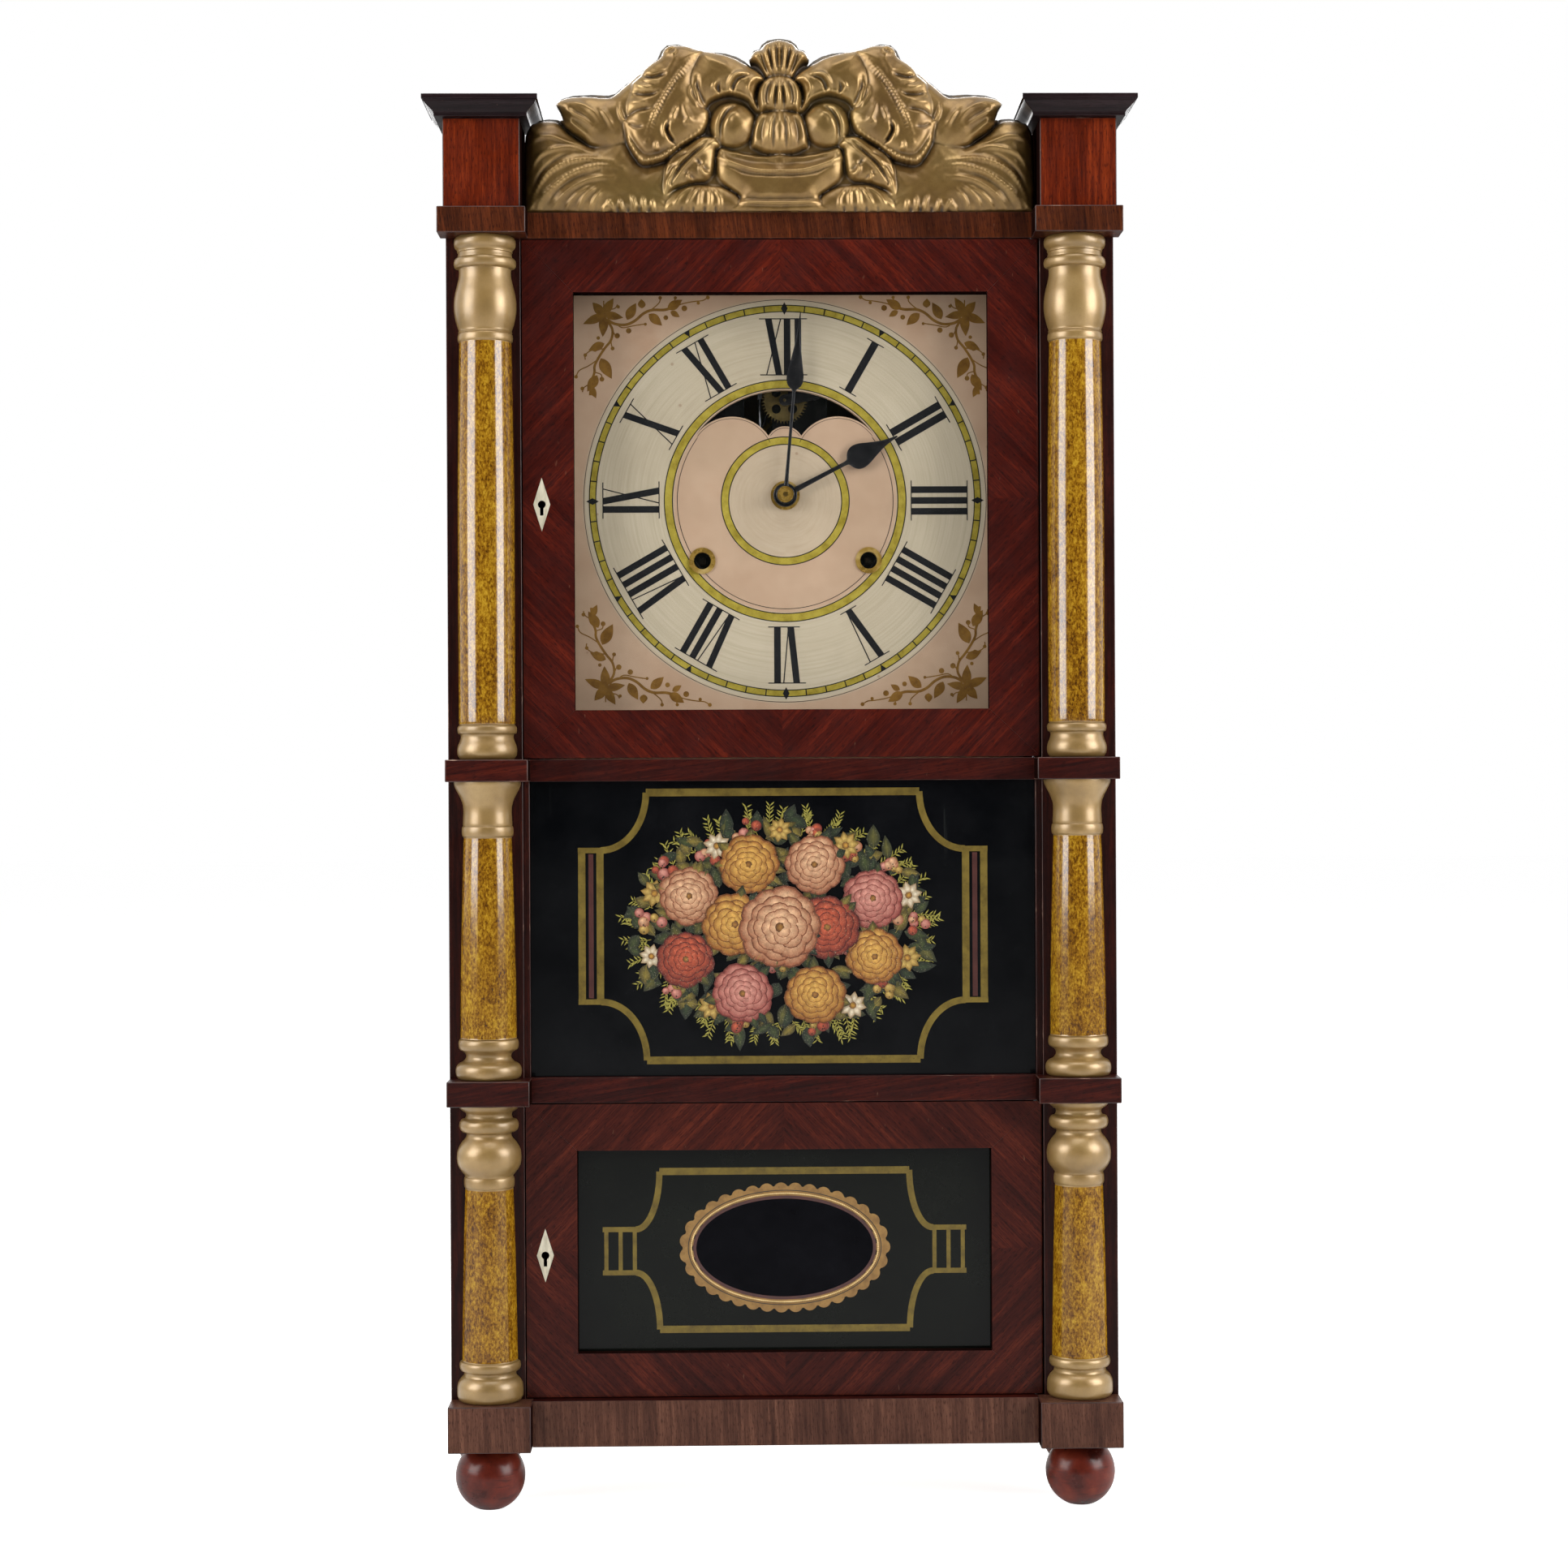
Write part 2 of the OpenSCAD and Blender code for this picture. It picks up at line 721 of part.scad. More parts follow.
module tablet_stops() {
  color(rail_wood)
    both_sides() {
      slab(stile_x - stop_w, stile_x, front_y + 1.5, tablet_y, low_rail_top, up_rail_z);
      slab(stile_x - stop_w - 2, stile_x, tablet_y + glass_t, frame_y, low_rail_top, up_rail_z);
    }
}

// Cleats inside the case, for the dial and for the movement

cleat_t = 12;
batten_w = 20;
batten_x = 64;

module case_cleats() {
  ledge_x = 150;
  color(pine) {
    slab(-ledge_x, ledge_x, frame_y, dial_back + 5, up_rail_top - cleat_t, up_rail_top);
    slab(-ledge_x, ledge_x, dial_back, dial_back + 12, top_z - board_t - cleat_t, top_z - board_t);
    for (s = [-1, 1])
      translate([arbor_at.x + s * (batten_x + batten_w / 2), 0, 0])
        slab(-batten_w / 2, batten_w / 2, plate_end, back_face, arbor_z - 75, arbor_z + 95);
  }
}

// Doors

module door_pins() {
  color(steel)
    for (z = [top_rail_z, up_rail_top, low_rail_z, base_top]) {
      up = (z == top_rail_z || z == low_rail_z);
      low = up ? z - door_gap - pin_depth : z - pin_hold;
      translate([pin_x, pin_y, low])
        cylinder(h = pin_depth + door_gap + pin_hold, r = pin_r);
    }
}

// Keyhole drawn as seen from the front
module keyhole() {
  circle(r = key_r, $fn = 32);
  translate([-slot_w / 2, -slot_h])
    square([slot_w, slot_h]);
}

module diamond(grow) {
  w = escutcheon_w / 2 + grow;
  h = escutcheon_h / 2 + grow * escutcheon_h / escutcheon_w;
  polygon([[0, -h], [w, 0], [0, h], [-w, 0]]);
}

// Four mitred members with a rabbet, and the strips that hold the glass
module door_frame(z0, z1, sill_w, head_w, key_z) {
  in_x = door_x - door_side_w;
  in_z0 = z0 + sill_w;
  in_z1 = z1 - head_w;
  pocket = escutcheon_t - 0.2;
  color(veneer)
    difference() {
      union() {
        for (s = [-1, 1])
          sheet(front_y, frame_y)
            polygon([[s * door_x, z0], [s * door_x, z1], [s * in_x, in_z1], [s * in_x, in_z0]]);
        sheet(front_y, frame_y)
          polygon([[-door_x + glue_gap, z0], [door_x - glue_gap, z0],
                   [in_x - glue_gap, in_z0], [-in_x + glue_gap, in_z0]]);
        sheet(front_y, frame_y)
          polygon([[-door_x + glue_gap, z1], [door_x - glue_gap, z1],
                   [in_x - glue_gap, in_z1], [-in_x + glue_gap, in_z1]]);
      }
      slab(-in_x - rabbet_w, in_x + rabbet_w, glass_y, frame_y + more, in_z0 - rabbet_w, in_z1 + rabbet_w);
      for (z = [z0 - more, z1 - pin_depth - fit_gap])
        translate([pin_x, pin_y, z])
          cylinder(h = pin_depth + fit_gap + more, r = pin_r + run_gap);
      difference() {
        slab(door_x - edge_r, door_x + more, front_y - more, front_y + edge_r, z0 - more, z1 + more);
        translate([door_x - edge_r, front_y + edge_r, z0 - more])
          cylinder(h = z1 - z0 + 2 * more, r = edge_r);
      }
      sheet(front_y - more, front_y + pocket, [key_x, key_z])
        diamond(glue_gap);
      sheet(front_y - more, frame_y + more, [key_x, key_z])
        keyhole();
    }
  color(pine) {
    strip_y = glass_y + glass_t;
    out_x = in_x + rabbet_w - glue_gap;
    low = in_z0 - rabbet_w + glue_gap;
    high = in_z1 + rabbet_w - glue_gap;
    for (s = [-1, 1])
      slab(min(s * out_x, s * (out_x - strip_w)), max(s * out_x, s * (out_x - strip_w)),
           strip_y, frame_y, low, high);
    slab(-out_x + strip_w + glue_gap, out_x - strip_w - glue_gap, strip_y, frame_y, low, low + strip_w);
    slab(-out_x + strip_w + glue_gap, out_x - strip_w - glue_gap, strip_y, frame_y, high - strip_w, high);
  }
}

module door_glass(z0, z1, sill_w, head_w, tint) {
  grow = rabbet_w - glue_gap;
  color(tint)
    slab(-door_x + door_side_w - grow, door_x - door_side_w + grow, glass_y, glass_y + glass_t,
         z0 + sill_w - grow, z1 - head_w + grow);
}

module escutcheon(key_z) {
  color(bone)
    difference() {
      sheet(front_y - 0.2, front_y + escutcheon_t - 0.2, [key_x, key_z])
        diamond(0);
      sheet(front_y - more, frame_y, [key_x, key_z])
        keyhole();
    }
}

lock_x = -door_x + 0.6;
bolt_y = frame_y + (lock_t - bolt_t) / 2;

module door_lock(key_z) {
  color(iron)
    difference() {
      slab(lock_x, lock_x + lock_w, frame_y, frame_y + lock_t, key_z - lock_drop, key_z - lock_drop + lock_h);
      slab(lock_x - more, lock_x + bolt_l + 2, bolt_y - fit_gap, bolt_y + bolt_t + fit_gap,
           key_z + bolt_rise - bolt_h / 2 - fit_gap, key_z + bolt_rise + bolt_h / 2 + fit_gap);
      sheet(frame_y - more, frame_y + lock_t - 1.5, [key_x, key_z])
        keyhole();
    }
}

module door_bolt(key_z) {
  color(steel)
    slab(lock_x + seat_gap, lock_x + seat_gap + bolt_l, bolt_y, bolt_y + bolt_t,
         key_z + bolt_rise - bolt_h / 2, key_z + bolt_rise + bolt_h / 2);
}

upper_z0 = up_rail_top + door_gap;
upper_z1 = top_rail_z - door_gap;
lower_z0 = base_top + door_gap;
lower_z1 = low_rail_z - door_gap;

module upper_door_frame() {
  door_frame(upper_z0, upper_z1, upper_sill_w, upper_head_w, upper_z0 + upper_key_z);
}

module upper_door_glass() {
  door_glass(upper_z0, upper_z1, upper_sill_w, upper_head_w, [0.8, 0.85, 0.85, 0.3]);
}

module upper_escutcheon() {
  escutcheon(upper_z0 + upper_key_z);
}

module upper_lock() {
  door_lock(upper_z0 + upper_key_z);
}

module upper_bolt() {
  door_bolt(upper_z0 + upper_key_z);
}

module lower_door_frame() {
  door_frame(lower_z0, lower_z1, lower_sill_w, lower_head_w, lower_z0 + lower_key_z);
}

module lower_door_glass() {
  door_glass(lower_z0, lower_z1, lower_sill_w, lower_head_w, "#181a1c");
}

module lower_escutcheon() {
  escutcheon(lower_z0 + lower_key_z);
}

module lower_lock() {
  door_lock(lower_z0 + lower_key_z);
}

module lower_bolt() {
  door_bolt(lower_z0 + lower_key_z);
}

// Dial and hands

dial_top = top_z - board_t - 6;
eyelet_r = 5.5;
eyelet_wall = 1.4;
eyelet_lip = 8.5;
bush_r = 4.3;
bush_lip = 9.4;
lip_depth = 1;

// Arched opening with two large humps and a small one along its lower edge
module moon_opening() {
  valley_z = hump_z + hump_r - 12.6;
  sheet(dial_y - more, dial_back + more, [dial_x, dial_mid_z])
    difference() {
      intersection() {
        circle(r = moon_r, $fn = 96);
        translate([-moon_r, valley_z])
          square([2 * moon_r, moon_r]);
      }
      for (s = [-1, 1]) {
        translate([s * hump_x, hump_z])
          circle(r = hump_r, $fn = 72);
        translate([s * (moon_r + 45) / 2 - (moon_r - 45) / 2, 0])
          square([moon_r - 45, valley_z + 1.2]);
      }
      translate([0, hump_z + hump_r - 6.3 - mid_hump_r])
        circle(r = mid_hump_r, $fn = 48);
    }
}

module dial_plate() {
  color([0.83, 0.78, 0.66])
    difference() {
      slab(-dial_w / 2, dial_w / 2, dial_y, dial_back, up_rail_top, dial_top);
      for (at = [great_at, strike_at])
        rod(at, eyelet_r + eyelet_wall + glue_gap / 2, dial_y - more, dial_back + more);
      rod(centre_at, bush_r + eyelet_wall + glue_gap / 2, dial_y - more, dial_back + more);
      moon_opening();
    }
}

// Flanged brass tube set in the dial from the front
module eyelet(at, r, lip_r) {
  difference() {
    union() {
      rod(at, r + eyelet_wall, dial_y, dial_back);
      rod(at, lip_r, dial_y - lip_depth, dial_y);
    }
    rod(at, r, dial_y - 2 * lip_depth, dial_back + more);
  }
}

module dial_grommets() {
  color(brass) {
    eyelet(great_at, eyelet_r, eyelet_lip);
    eyelet(strike_at, eyelet_r, eyelet_lip);
    eyelet(centre_at, bush_r, bush_lip);
  }
}

hub_r = 1.5;
cannon_r = 2.4;
pipe_gap = run_gap;
pipe_r = 3.6;

// Teardrop hand pointing to twelve, with a round boss
module hand_shape(l, bulb_at, bulb_w, boss_r, stem_w) {
  circle(r = boss_r, $fn = 48);
  polygon([[-stem_w * 0.7, 0], [stem_w * 0.7, 0], [stem_w * 0.4, bulb_at - bulb_w], [-stem_w * 0.4, bulb_at - bulb_w]]);
  polygon(concat(
    [for (i = [0:16]) let (t = i / 16)
       [-bulb_w * sin(180 * pow(t, 1.7)), bulb_at - bulb_w * 1.3 + bulb_w * 3.4 * (1 - t)]],
    [for (i = [15:-1:1]) let (t = i / 16)
       [bulb_w * sin(180 * pow(t, 1.7)), bulb_at - bulb_w * 1.3 + bulb_w * 3.4 * (1 - t)]]));
  polygon([[-stem_w / 2, bulb_at + bulb_w], [stem_w / 2, bulb_at + bulb_w], [stem_w * 0.12, l], [-stem_w * 0.12, l]]);
}

module minute_hand() {
  color("#1c1c1f")
    difference() {
      sheet(minute_hand_y, minute_hand_y + hand_t, centre_at)
        rotate(-minute_angle)
          hand_shape(minute_hand_l, minute_hand_l * 0.593, 5.6, 6, 3);
      rod(centre_at, hub_r + glue_gap / 2, minute_hand_y - more, minute_hand_y + hand_t + more);
    }
}

module hour_hand() {
  color("#1c1c1f")
    difference() {
      sheet(hour_hand_y, hour_hand_y + hand_t, centre_at)
        rotate(-hour_angle)
          hand_shape(hour_hand_l, 53, 7.2, 7.6, 3.4);
      rod(centre_at, pipe_r - 0.6 + glue_gap / 2, hour_hand_y - more, hour_hand_y + hand_t + more);
    }
}

module hand_nut() {
  color(brass)
    difference() {
      union() {
        rod(centre_at, 5.2, minute_hand_y - 1, minute_hand_y);
        rod(centre_at, 3.6, minute_hand_y - 2.2, minute_hand_y - 1);
      }
      rod(centre_at, hub_r + glue_gap / 2, minute_hand_y - 3, minute_hand_y + more);
    }
}

// Movement plates

// Windows cut in the plates, each as its left, right, bottom and top edge
plate_x = 92;
plate_bar = 18;
plate_low = arbor_z - 76;
plate_high = verge_at.y + plate_bar / 2;
web = 8;
windows = [
  [minute_at.x + web + 2, arbor_at.x + plate_x - plate_bar, great_at.y + 2 * web, plate_high - plate_bar],
  [arbor_at.x - plate_x + plate_bar, pin_at.x - web, strike_at.y + 2 * web, plate_high - plate_bar],
  [fly_at.x + web, escape_at.x - web, pin_at.y - 2 * web, plate_high - plate_bar],
  [strike_at.x + 1.5 * web, hammer_at.x - web, plate_low + plate_bar, strike_at.y + 2 * web],
  [inter_at.x + web, great_at.x - 1.5 * web, plate_low + plate_bar, inter_at.y - web]
];

module plate_blank(y0) {
  difference() {
    slab(arbor_at.x - plate_x, arbor_at.x + plate_x, y0, y0 + plate_t, plate_low, plate_high);
    for (w = windows)
      slab(w[0], w[1], y0 - more, y0 + plate_t + more, w[2], w[3]);
  }
}

small_pivots = [inter_at, third_at, pin_at, cam_at, fly_at];
plate_mid = plate_y + plate_t / 2;
hanger_w = 8;
post_top = hang_at.y + 8;
post_y = rod_y - 3;
slit_w = 1.6;
stud_r = 1.25;
cock_y = dial_back + 4;
cock_t = 1.2;
minute_wheel_y = plate_y - 6.5;

module front_plate() {
  color(brass) {
    difference() {
      plate_blank(plate_y);
      for (at = small_pivots)
        rod(at, pivot_r + run_gap, plate_y - more, gap_y + more);
      for (at = [escape_at, centre_at])
        rod(at, arbor_r + run_gap, plate_y - more, gap_y + more);
      for (at = [great_at, strike_at])
        rod(at, winding_r + run_gap, plate_y - more, gap_y + more);
      rod(hammer_at, pivot_r + run_gap, plate_y - more, gap_y + more);
    }
    rod(verge_at, stud_r, dial_back + 5.4, plate_mid);
    rod(minute_at, stud_r, dial_back + 1, plate_mid);
    difference() {
      slab(hang_at.x - hanger_w / 2, hang_at.x + hanger_w / 2, post_y, plate_mid, hang_at.y - 1.5, post_top);
      slab(hang_at.x - slit_w / 2, hang_at.x + slit_w / 2, post_y - more, plate_y - 0.6,
           hang_at.y - 3, post_top + more);
    }
    escape_cock();
  }
}

// Bridge that carries the front pivot of the escape wheel
module escape_cock() {
  reach = escape_r + 5;
  foot_at = [escape_at.x + reach, escape_at.y + 4];
  difference() {
    union() {
      strap_bar(escape_at, foot_at, cock_y, cock_t, 7);
      rod(foot_at, 2.8, cock_y + cock_t / 2, plate_mid);
    }
    rod(escape_at, pivot_r + run_gap, cock_y - more, cock_y + cock_t + more);
  }
}

module back_plate() {
  color(brass) {
    difference() {
      plate_blank(gap_end);
      for (at = concat(small_pivots, [centre_at, escape_at]))
        rod(at, pivot_r + run_gap, gap_end - more, plate_end + more);
      rod(hammer_at, arbor_r + run_gap, gap_end - more, plate_end + more);
      for (at = [great_at, strike_at])
        rod(at, winding_r - 1 + run_gap, gap_end - more, plate_end + more);
    }
    for (x = [-1, 1], z = [plate_low, plate_high - 2 * web])
      rod([arbor_at.x + x * (plate_x - web), z + web], pillar_r, gap_y, gap_end);
  }
}

// Wheels

// Straight-sided teeth round a circle, as radius and angle steps
function teeth(n, m, turn, tip, root) =
  [for (i = [0:n - 1], p = [[-root, -1.15], [-tip, 0.7], [tip, 0.7], [root, -1.15]])
     polar([0, 0], n * m / 2 + p.y * m, turn + (i + p.x) * 360 / n)];

// Toothed wheel with arms between its rim and hub
module wheel(at, n, m, y0, turn = 0, t = wheel_t, arms = 4, hub = 6, rim_w = 3.4) {
  rim = n * m / 2 - rim_w;
  difference() {
    sheet(y0, y0 + t, at)
      polygon(teeth(n, m, turn, 0.09, 0.24));
    if (rim > hub + 4)
      difference() {
        rod(at, rim, y0 - more, y0 + t + more);
        rod(at, hub, y0 - 2 * more, y0 + t + 2 * more);
        for (i = [0:arms - 1])
          translate([at.x, y0 - 2 * more, at.y])
            rotate([0, i * 360 / arms + 20, 0])
              translate([0, 0, -1.6])
                cube([rim + more, t + 4 * more, 3.2]);
      }
  }
}

// Leaves of a pinion
module pinion(at, n, m, y0, y1, turn = 0) {
  sheet(y0, y1, at)
    polygon(teeth(n, m, turn, 0.08, 0.2));
}

// Arbor between the plates with a pivot at each end
module arbor(at, r = arbor_r) {
  rod(at, r, gap_y + fit_gap, gap_end - fit_gap);
  rod(at, pivot_r, plate_y + fit_gap, plate_end - fit_gap);
}

// Depths of the wheels between the plates
inter_wheel_y = gap_y + 3;
great_wheel_y = gap_y + 32;
centre_wheel_y = gap_y + 16;
third_wheel_y = gap_y + 34;
pin_wheel_y = gap_y + 3;
cam_wheel_y = gap_y + 34;
drum_y0 = gap_y + 9;
drum_y1 = gap_y + 29;
cannon_y = plate_y - 7.6;

module centre_wheel() {
  color(brass) {
    rod(centre_at, arbor_r, plate_y - 1.5, gap_end - fit_gap);
    rod(centre_at, pivot_r, gap_end - more, plate_end - fit_gap);
    wheel(centre_at, centre_teeth, centre_m, centre_wheel_y);
    pinion(centre_at, centre_pinion, inter_m, inter_wheel_y - 1.5, inter_wheel_y + 4, centre_turn);
    rod(centre_at, hub_r, minute_hand_y - 2.8, plate_y);
    rod(centre_at, cannon_r, minute_hand_y + hand_t, plate_y - 1.5);
    pinion(centre_at, cannon_teeth, cannon_m, cannon_y, cannon_y + 3.4);
  }
}

module minute_wheel() {
  color(brass)
    difference() {
      union() {
        wheel(minute_at, minute_teeth, cannon_m, minute_wheel_y, minute_turn, 1.2, 4, 4);
        pinion(minute_at, minute_pinion, hour_m, dial_back + 2, minute_wheel_y + 0.1);
      }
      rod(minute_at, stud_r + run_gap, dial_back, plate_y);
    }
}

module hour_wheel() {
  hour_wheel_y = dial_back + 3;
  color(brass)
    difference() {
      union() {
        wheel(centre_at, hour_teeth, hour_m, hour_wheel_y, hour_turn, 1.2, 4, 6);
        rod(centre_at, pipe_r, hour_hand_y + hand_t, hour_wheel_y + 2.5);
        rod(centre_at, pipe_r - 0.6, hour_hand_y - 0.3, hour_hand_y + hand_t);
      }
      rod(centre_at, cannon_r + pipe_gap, hour_hand_y - more, plate_y);
    }
}

module intermediate_wheel() {
  color(brass) {
    arbor(inter_at);
    wheel(inter_at, inter_teeth, inter_m, inter_wheel_y);
    pinion(inter_at, inter_pinion, great_m, great_wheel_y - 2, great_wheel_y + 5, inter_turn);
  }
}

// Great wheel that turns on the winding arbor, with the click for its ratchet on one of its arms
ratchet_r = 11;

module great_wheel(at, n, m, side) {
  click_angle = side > 0 ? 124 : 52;
  click_w = 1.6;
  click_at = polar(at, 17, click_angle);
  click_tip = polar(at, ratchet_r + click_w / 2 + 0.4, click_angle - side * 38);
  difference() {
    wheel(at, n, m, great_wheel_y, 0, 2.4, 5, 12);
    rod(at, winding_r + run_gap, great_wheel_y - more, great_wheel_y + 4);
  }
  rod(click_at, 1.8, great_wheel_y - 2.2, great_wheel_y + more);
  strap_bar(click_at, click_tip, great_wheel_y - 2, 1.4, click_w);
}

module time_great_wheel() {
  color(brass)
    great_wheel(great_at, great_teeth, great_m, 1);
}

module strike_great_wheel() {
  color(brass)
    difference() {
      union() {
        great_wheel(strike_at, strike_teeth, strike_m, -1);
        count_wheel();
      }
      rod(strike_at, winding_r + run_gap, great_wheel_y - more, great_wheel_y + 8);
    }
}

// Count wheel on the back of the strike great wheel, with the notches for two rounds of twelve hours
function strokes_before(hour) = hour * (hour - 1) / 2;

module count_wheel() {
  count_y = great_wheel_y + 2.4;
  count_r = 22;
  steps = 156;
  difference() {
    rod(strike_at, count_r, count_y, count_y + 1.4);
    for (half = [0, 1], hour = [1:12])
      translate([strike_at.x, count_y - more, strike_at.y])
        rotate([0, (half * 78 + strokes_before(hour)) * 360 / steps, 0])
          translate([count_r - 2, 0, -0.4])
            cube([4, 4, 0.8]);
  }
}

// Winding drum with its ratchet, arbor and square
module drum(at, side) {
  core_r = drum_r - cord_r - groove_gap;
  rod(at, winding_r, dial_back + 11, gap_end - fit_gap);
  rod(at, winding_r - 1, gap_end - more, plate_end - fit_gap);
  translate([at.x - square_w / 2, dial_back + 2, at.y - square_w / 2])
    cube([square_w, 9, square_w]);
  rod(at, core_r, drum_y0 + 1, drum_y1);
  rod(at, core_r + 4, drum_y0, drum_y0 + 1.6);
  rod(at, core_r + 4, drum_y1 - 1.6, drum_y1);
  sheet(drum_y1, drum_y1 + 2, at)
    polygon([for (i = [0:23], p = [[0, ratchet_r - 1.6], [0.9, ratchet_r]])
               polar([0, 0], p.y, (i + p.x) * 15 * side)]);
}

module time_drum() {
  color(brass)
    drum(great_at, -1);
}

module strike_drum() {
  color(brass)
    drum(strike_at, 1);
}

module third_wheel() {
  color(brass) {
    arbor(third_at);
    wheel(third_at, third_teeth, third_m, third_wheel_y);
    pinion(third_at, third_pinion, centre_m, centre_wheel_y - 2, centre_wheel_y + 4, third_turn);
  }
}

escape_y = plate_y - 8;

module escape_wheel() {
  color(brass) {
    rod(escape_at, arbor_r, cock_y + cock_t + 0.2, gap_end - fit_gap);
    rod(escape_at, pivot_r, cock_y + fit_gap, plate_end - fit_gap);
    pinion(escape_at, escape_pinion, third_m, third_wheel_y - 2, third_wheel_y + 4, escape_turn);
    difference() {
      sheet(escape_y, escape_y + 1.2, escape_at)
        polygon([for (i = [0:escape_teeth - 1], p = [[0, -1.9], [0.36, 0], [0.46, 0], [0.6, -1.9]])
                   polar([0, 0], escape_r + p.y, (i + p.x) * 360 / escape_teeth)]);
      for (i = [0:3])
        rod(polar(escape_at, 7.6, 45 + i * 90), 3, escape_y - more, escape_y + 1.2 + more);
    }
  }
}

// Verge: bent strip with two pallets, its hub on the stud, and the crutch that leads the pendulum
module verge() {
  strip_y = escape_y - 0.4;
  strip_w = 2;
  bridge_r = escape_r + 3.4;
  bridge_t = 1.2;
  span = 24;
  hub_h = plate_y - 0.4;
  crutch_z = verge_at.y - 42;
  crutch_y = plate_y - 1.2;
  fork = [pendulum_x, crutch_z];
  color(steel) {
    difference() {
      union() {
        difference() {
          rod(escape_at, bridge_r + bridge_t, strip_y, strip_y + strip_w);
          rod(escape_at, bridge_r, strip_y - more, strip_y + strip_w + more);
          slab(escape_at.x - 40, escape_at.x + 40, strip_y - more, strip_y + strip_w + more,
               escape_at.y - 40, escape_at.y + bridge_r * cos(span + 1));
        }
        rod(verge_at, 3, strip_y, hub_h);
        slab(verge_at.x - 1, verge_at.x + 1, strip_y, strip_y + strip_w,
             escape_at.y + bridge_r + bridge_t / 2, verge_at.y);
      }
      rod(verge_at, stud_r + run_gap, strip_y - more, plate_y);
    }
    for (s = [-1, 1])
      translate([escape_at.x, strip_y, escape_at.y])
        rotate([0, s * span, 0])
          translate([-0.5, 0, escape_r + pallet_gap])
            cube([1, strip_w, bridge_r + bridge_t / 2 - escape_r - pallet_gap]);
    rod_between([verge_at.x, crutch_y, verge_at.y - 2.6], [fork.x, crutch_y, fork.y], 0.7);
    difference() {
      slab(fork.x - 3, fork.x + 3, rod_y - 2, crutch_y + 0.6, fork.y - 0.8, fork.y + 0.8);
      slab(fork.x - 1.3, fork.x + 1.3, rod_y - 3, rod_y + 1.3, fork.y - 2, fork.y + 2);
    }
  }
}

// Round bar between any two points
module rod_between(a, b, r) {
  d = b - a;
  l = norm(d);
  translate(a)
    rotate([0, acos(d.z / l), atan2(d.y, d.x)])
      cylinder(h = l, r = r);
}

wire_r = 0.8;
spring_l = 16;
bob_z = hang_at.y - pendulum_l;
nut_z = bob_z - bob_r - seat_gap - 5;

// Suspension spring, rod and rating nut
module pendulum_rod() {
  spring_w = 4;
  spring_t = 0.3;
  color(steel) {
    slab(hang_at.x - spring_t / 2, hang_at.x + spring_t / 2, rod_y - spring_w / 2, rod_y + spring_w / 2,
         hang_at.y - spring_l, post_top + 0.6);
    slab(hang_at.x - 2.6, hang_at.x + 2.6, rod_y - spring_w / 2, rod_y + spring_w / 2,
         post_top + seat_gap, post_top + seat_gap + 2.5);
    slab(hang_at.x - 1.5, hang_at.x + 1.5, rod_y - spring_w / 2, rod_y + spring_w / 2,
         hang_at.y - spring_l - 5, hang_at.y - spring_l);
    translate([hang_at.x, rod_y, nut_z - 6])
      cylinder(h = hang_at.y - spring_l - nut_z + 4, r = wire_r);
    translate([hang_at.x, rod_y, nut_z])
      cylinder(h = 5, r = 4.5);
  }
}

module pendulum_bob() {
  lens_r = (bob_r * bob_r + bob_t * bob_t / 4) / bob_t;
  color(brass)
    difference() {
      intersection() {
        translate([hang_at.x, rod_y + lens_r - bob_t / 2, bob_z])
          sphere(r = lens_r, $fn = 200);
        translate([hang_at.x, rod_y - lens_r + bob_t / 2, bob_z])
          sphere(r = lens_r, $fn = 200);
      }
      translate([hang_at.x, rod_y, bob_z - bob_r - more])
        cylinder(h = 2 * bob_r + 2 * more, r = wire_r + glue_gap);
    }
}

// Strike train

pin_ring = 17.6;
lift_pin_r = 0.9;

module pin_wheel() {
  color(brass) {
    arbor(pin_at);
    wheel(pin_at, pin_teeth, pin_m, pin_wheel_y, rim_w = 6.4);
    pinion(pin_at, pin_pinion, strike_m, great_wheel_y - 2, great_wheel_y + 5, pin_turn);
    for (i = [0:pin_count - 1])
      rod(polar(pin_at, pin_ring, i * 360 / pin_count), lift_pin_r, pin_wheel_y + 0.6, pin_wheel_y + wheel_t + 3);
  }
}

module cam_wheel() {
  color(brass) {
    arbor(cam_at);
    wheel(cam_at, cam_teeth, cam_m, cam_wheel_y);
    pinion(cam_at, cam_pinion, pin_m, pin_wheel_y - 1.5, pin_wheel_y + 4, cam_turn);
    difference() {
      rod(cam_at, 7, cam_wheel_y - 6, cam_wheel_y - 4.6);
      slab(cam_at.x - 2, cam_at.x + 2, cam_wheel_y - 8, cam_wheel_y - 4, cam_at.y + 4.5, cam_at.y + 9);
    }
  }
}

module fly() {
  color(brass) {
    arbor(fly_at, 1.4);
    pinion(fly_at, fly_pinion, cam_m, cam_wheel_y - 2, cam_wheel_y + 4, fly_turn);
    slab(fly_at.x - 14, fly_at.x + 14, gap_y + 9, gap_y + 26, fly_at.y - 0.3, fly_at.y + 0.3);
    rod(fly_at, 2.6, gap_y + 17, gap_y + 20);
  }
}

gong_y = back_face - 11.5;
head_r = 7;
gong_side = 33;
gong_at = [arbor_at.x + gong_side, arbor_z - gong_drop];
head_at = [gong_at.x - gong_r - gong_wire_r - 0.8 - head_r, gong_at.y];

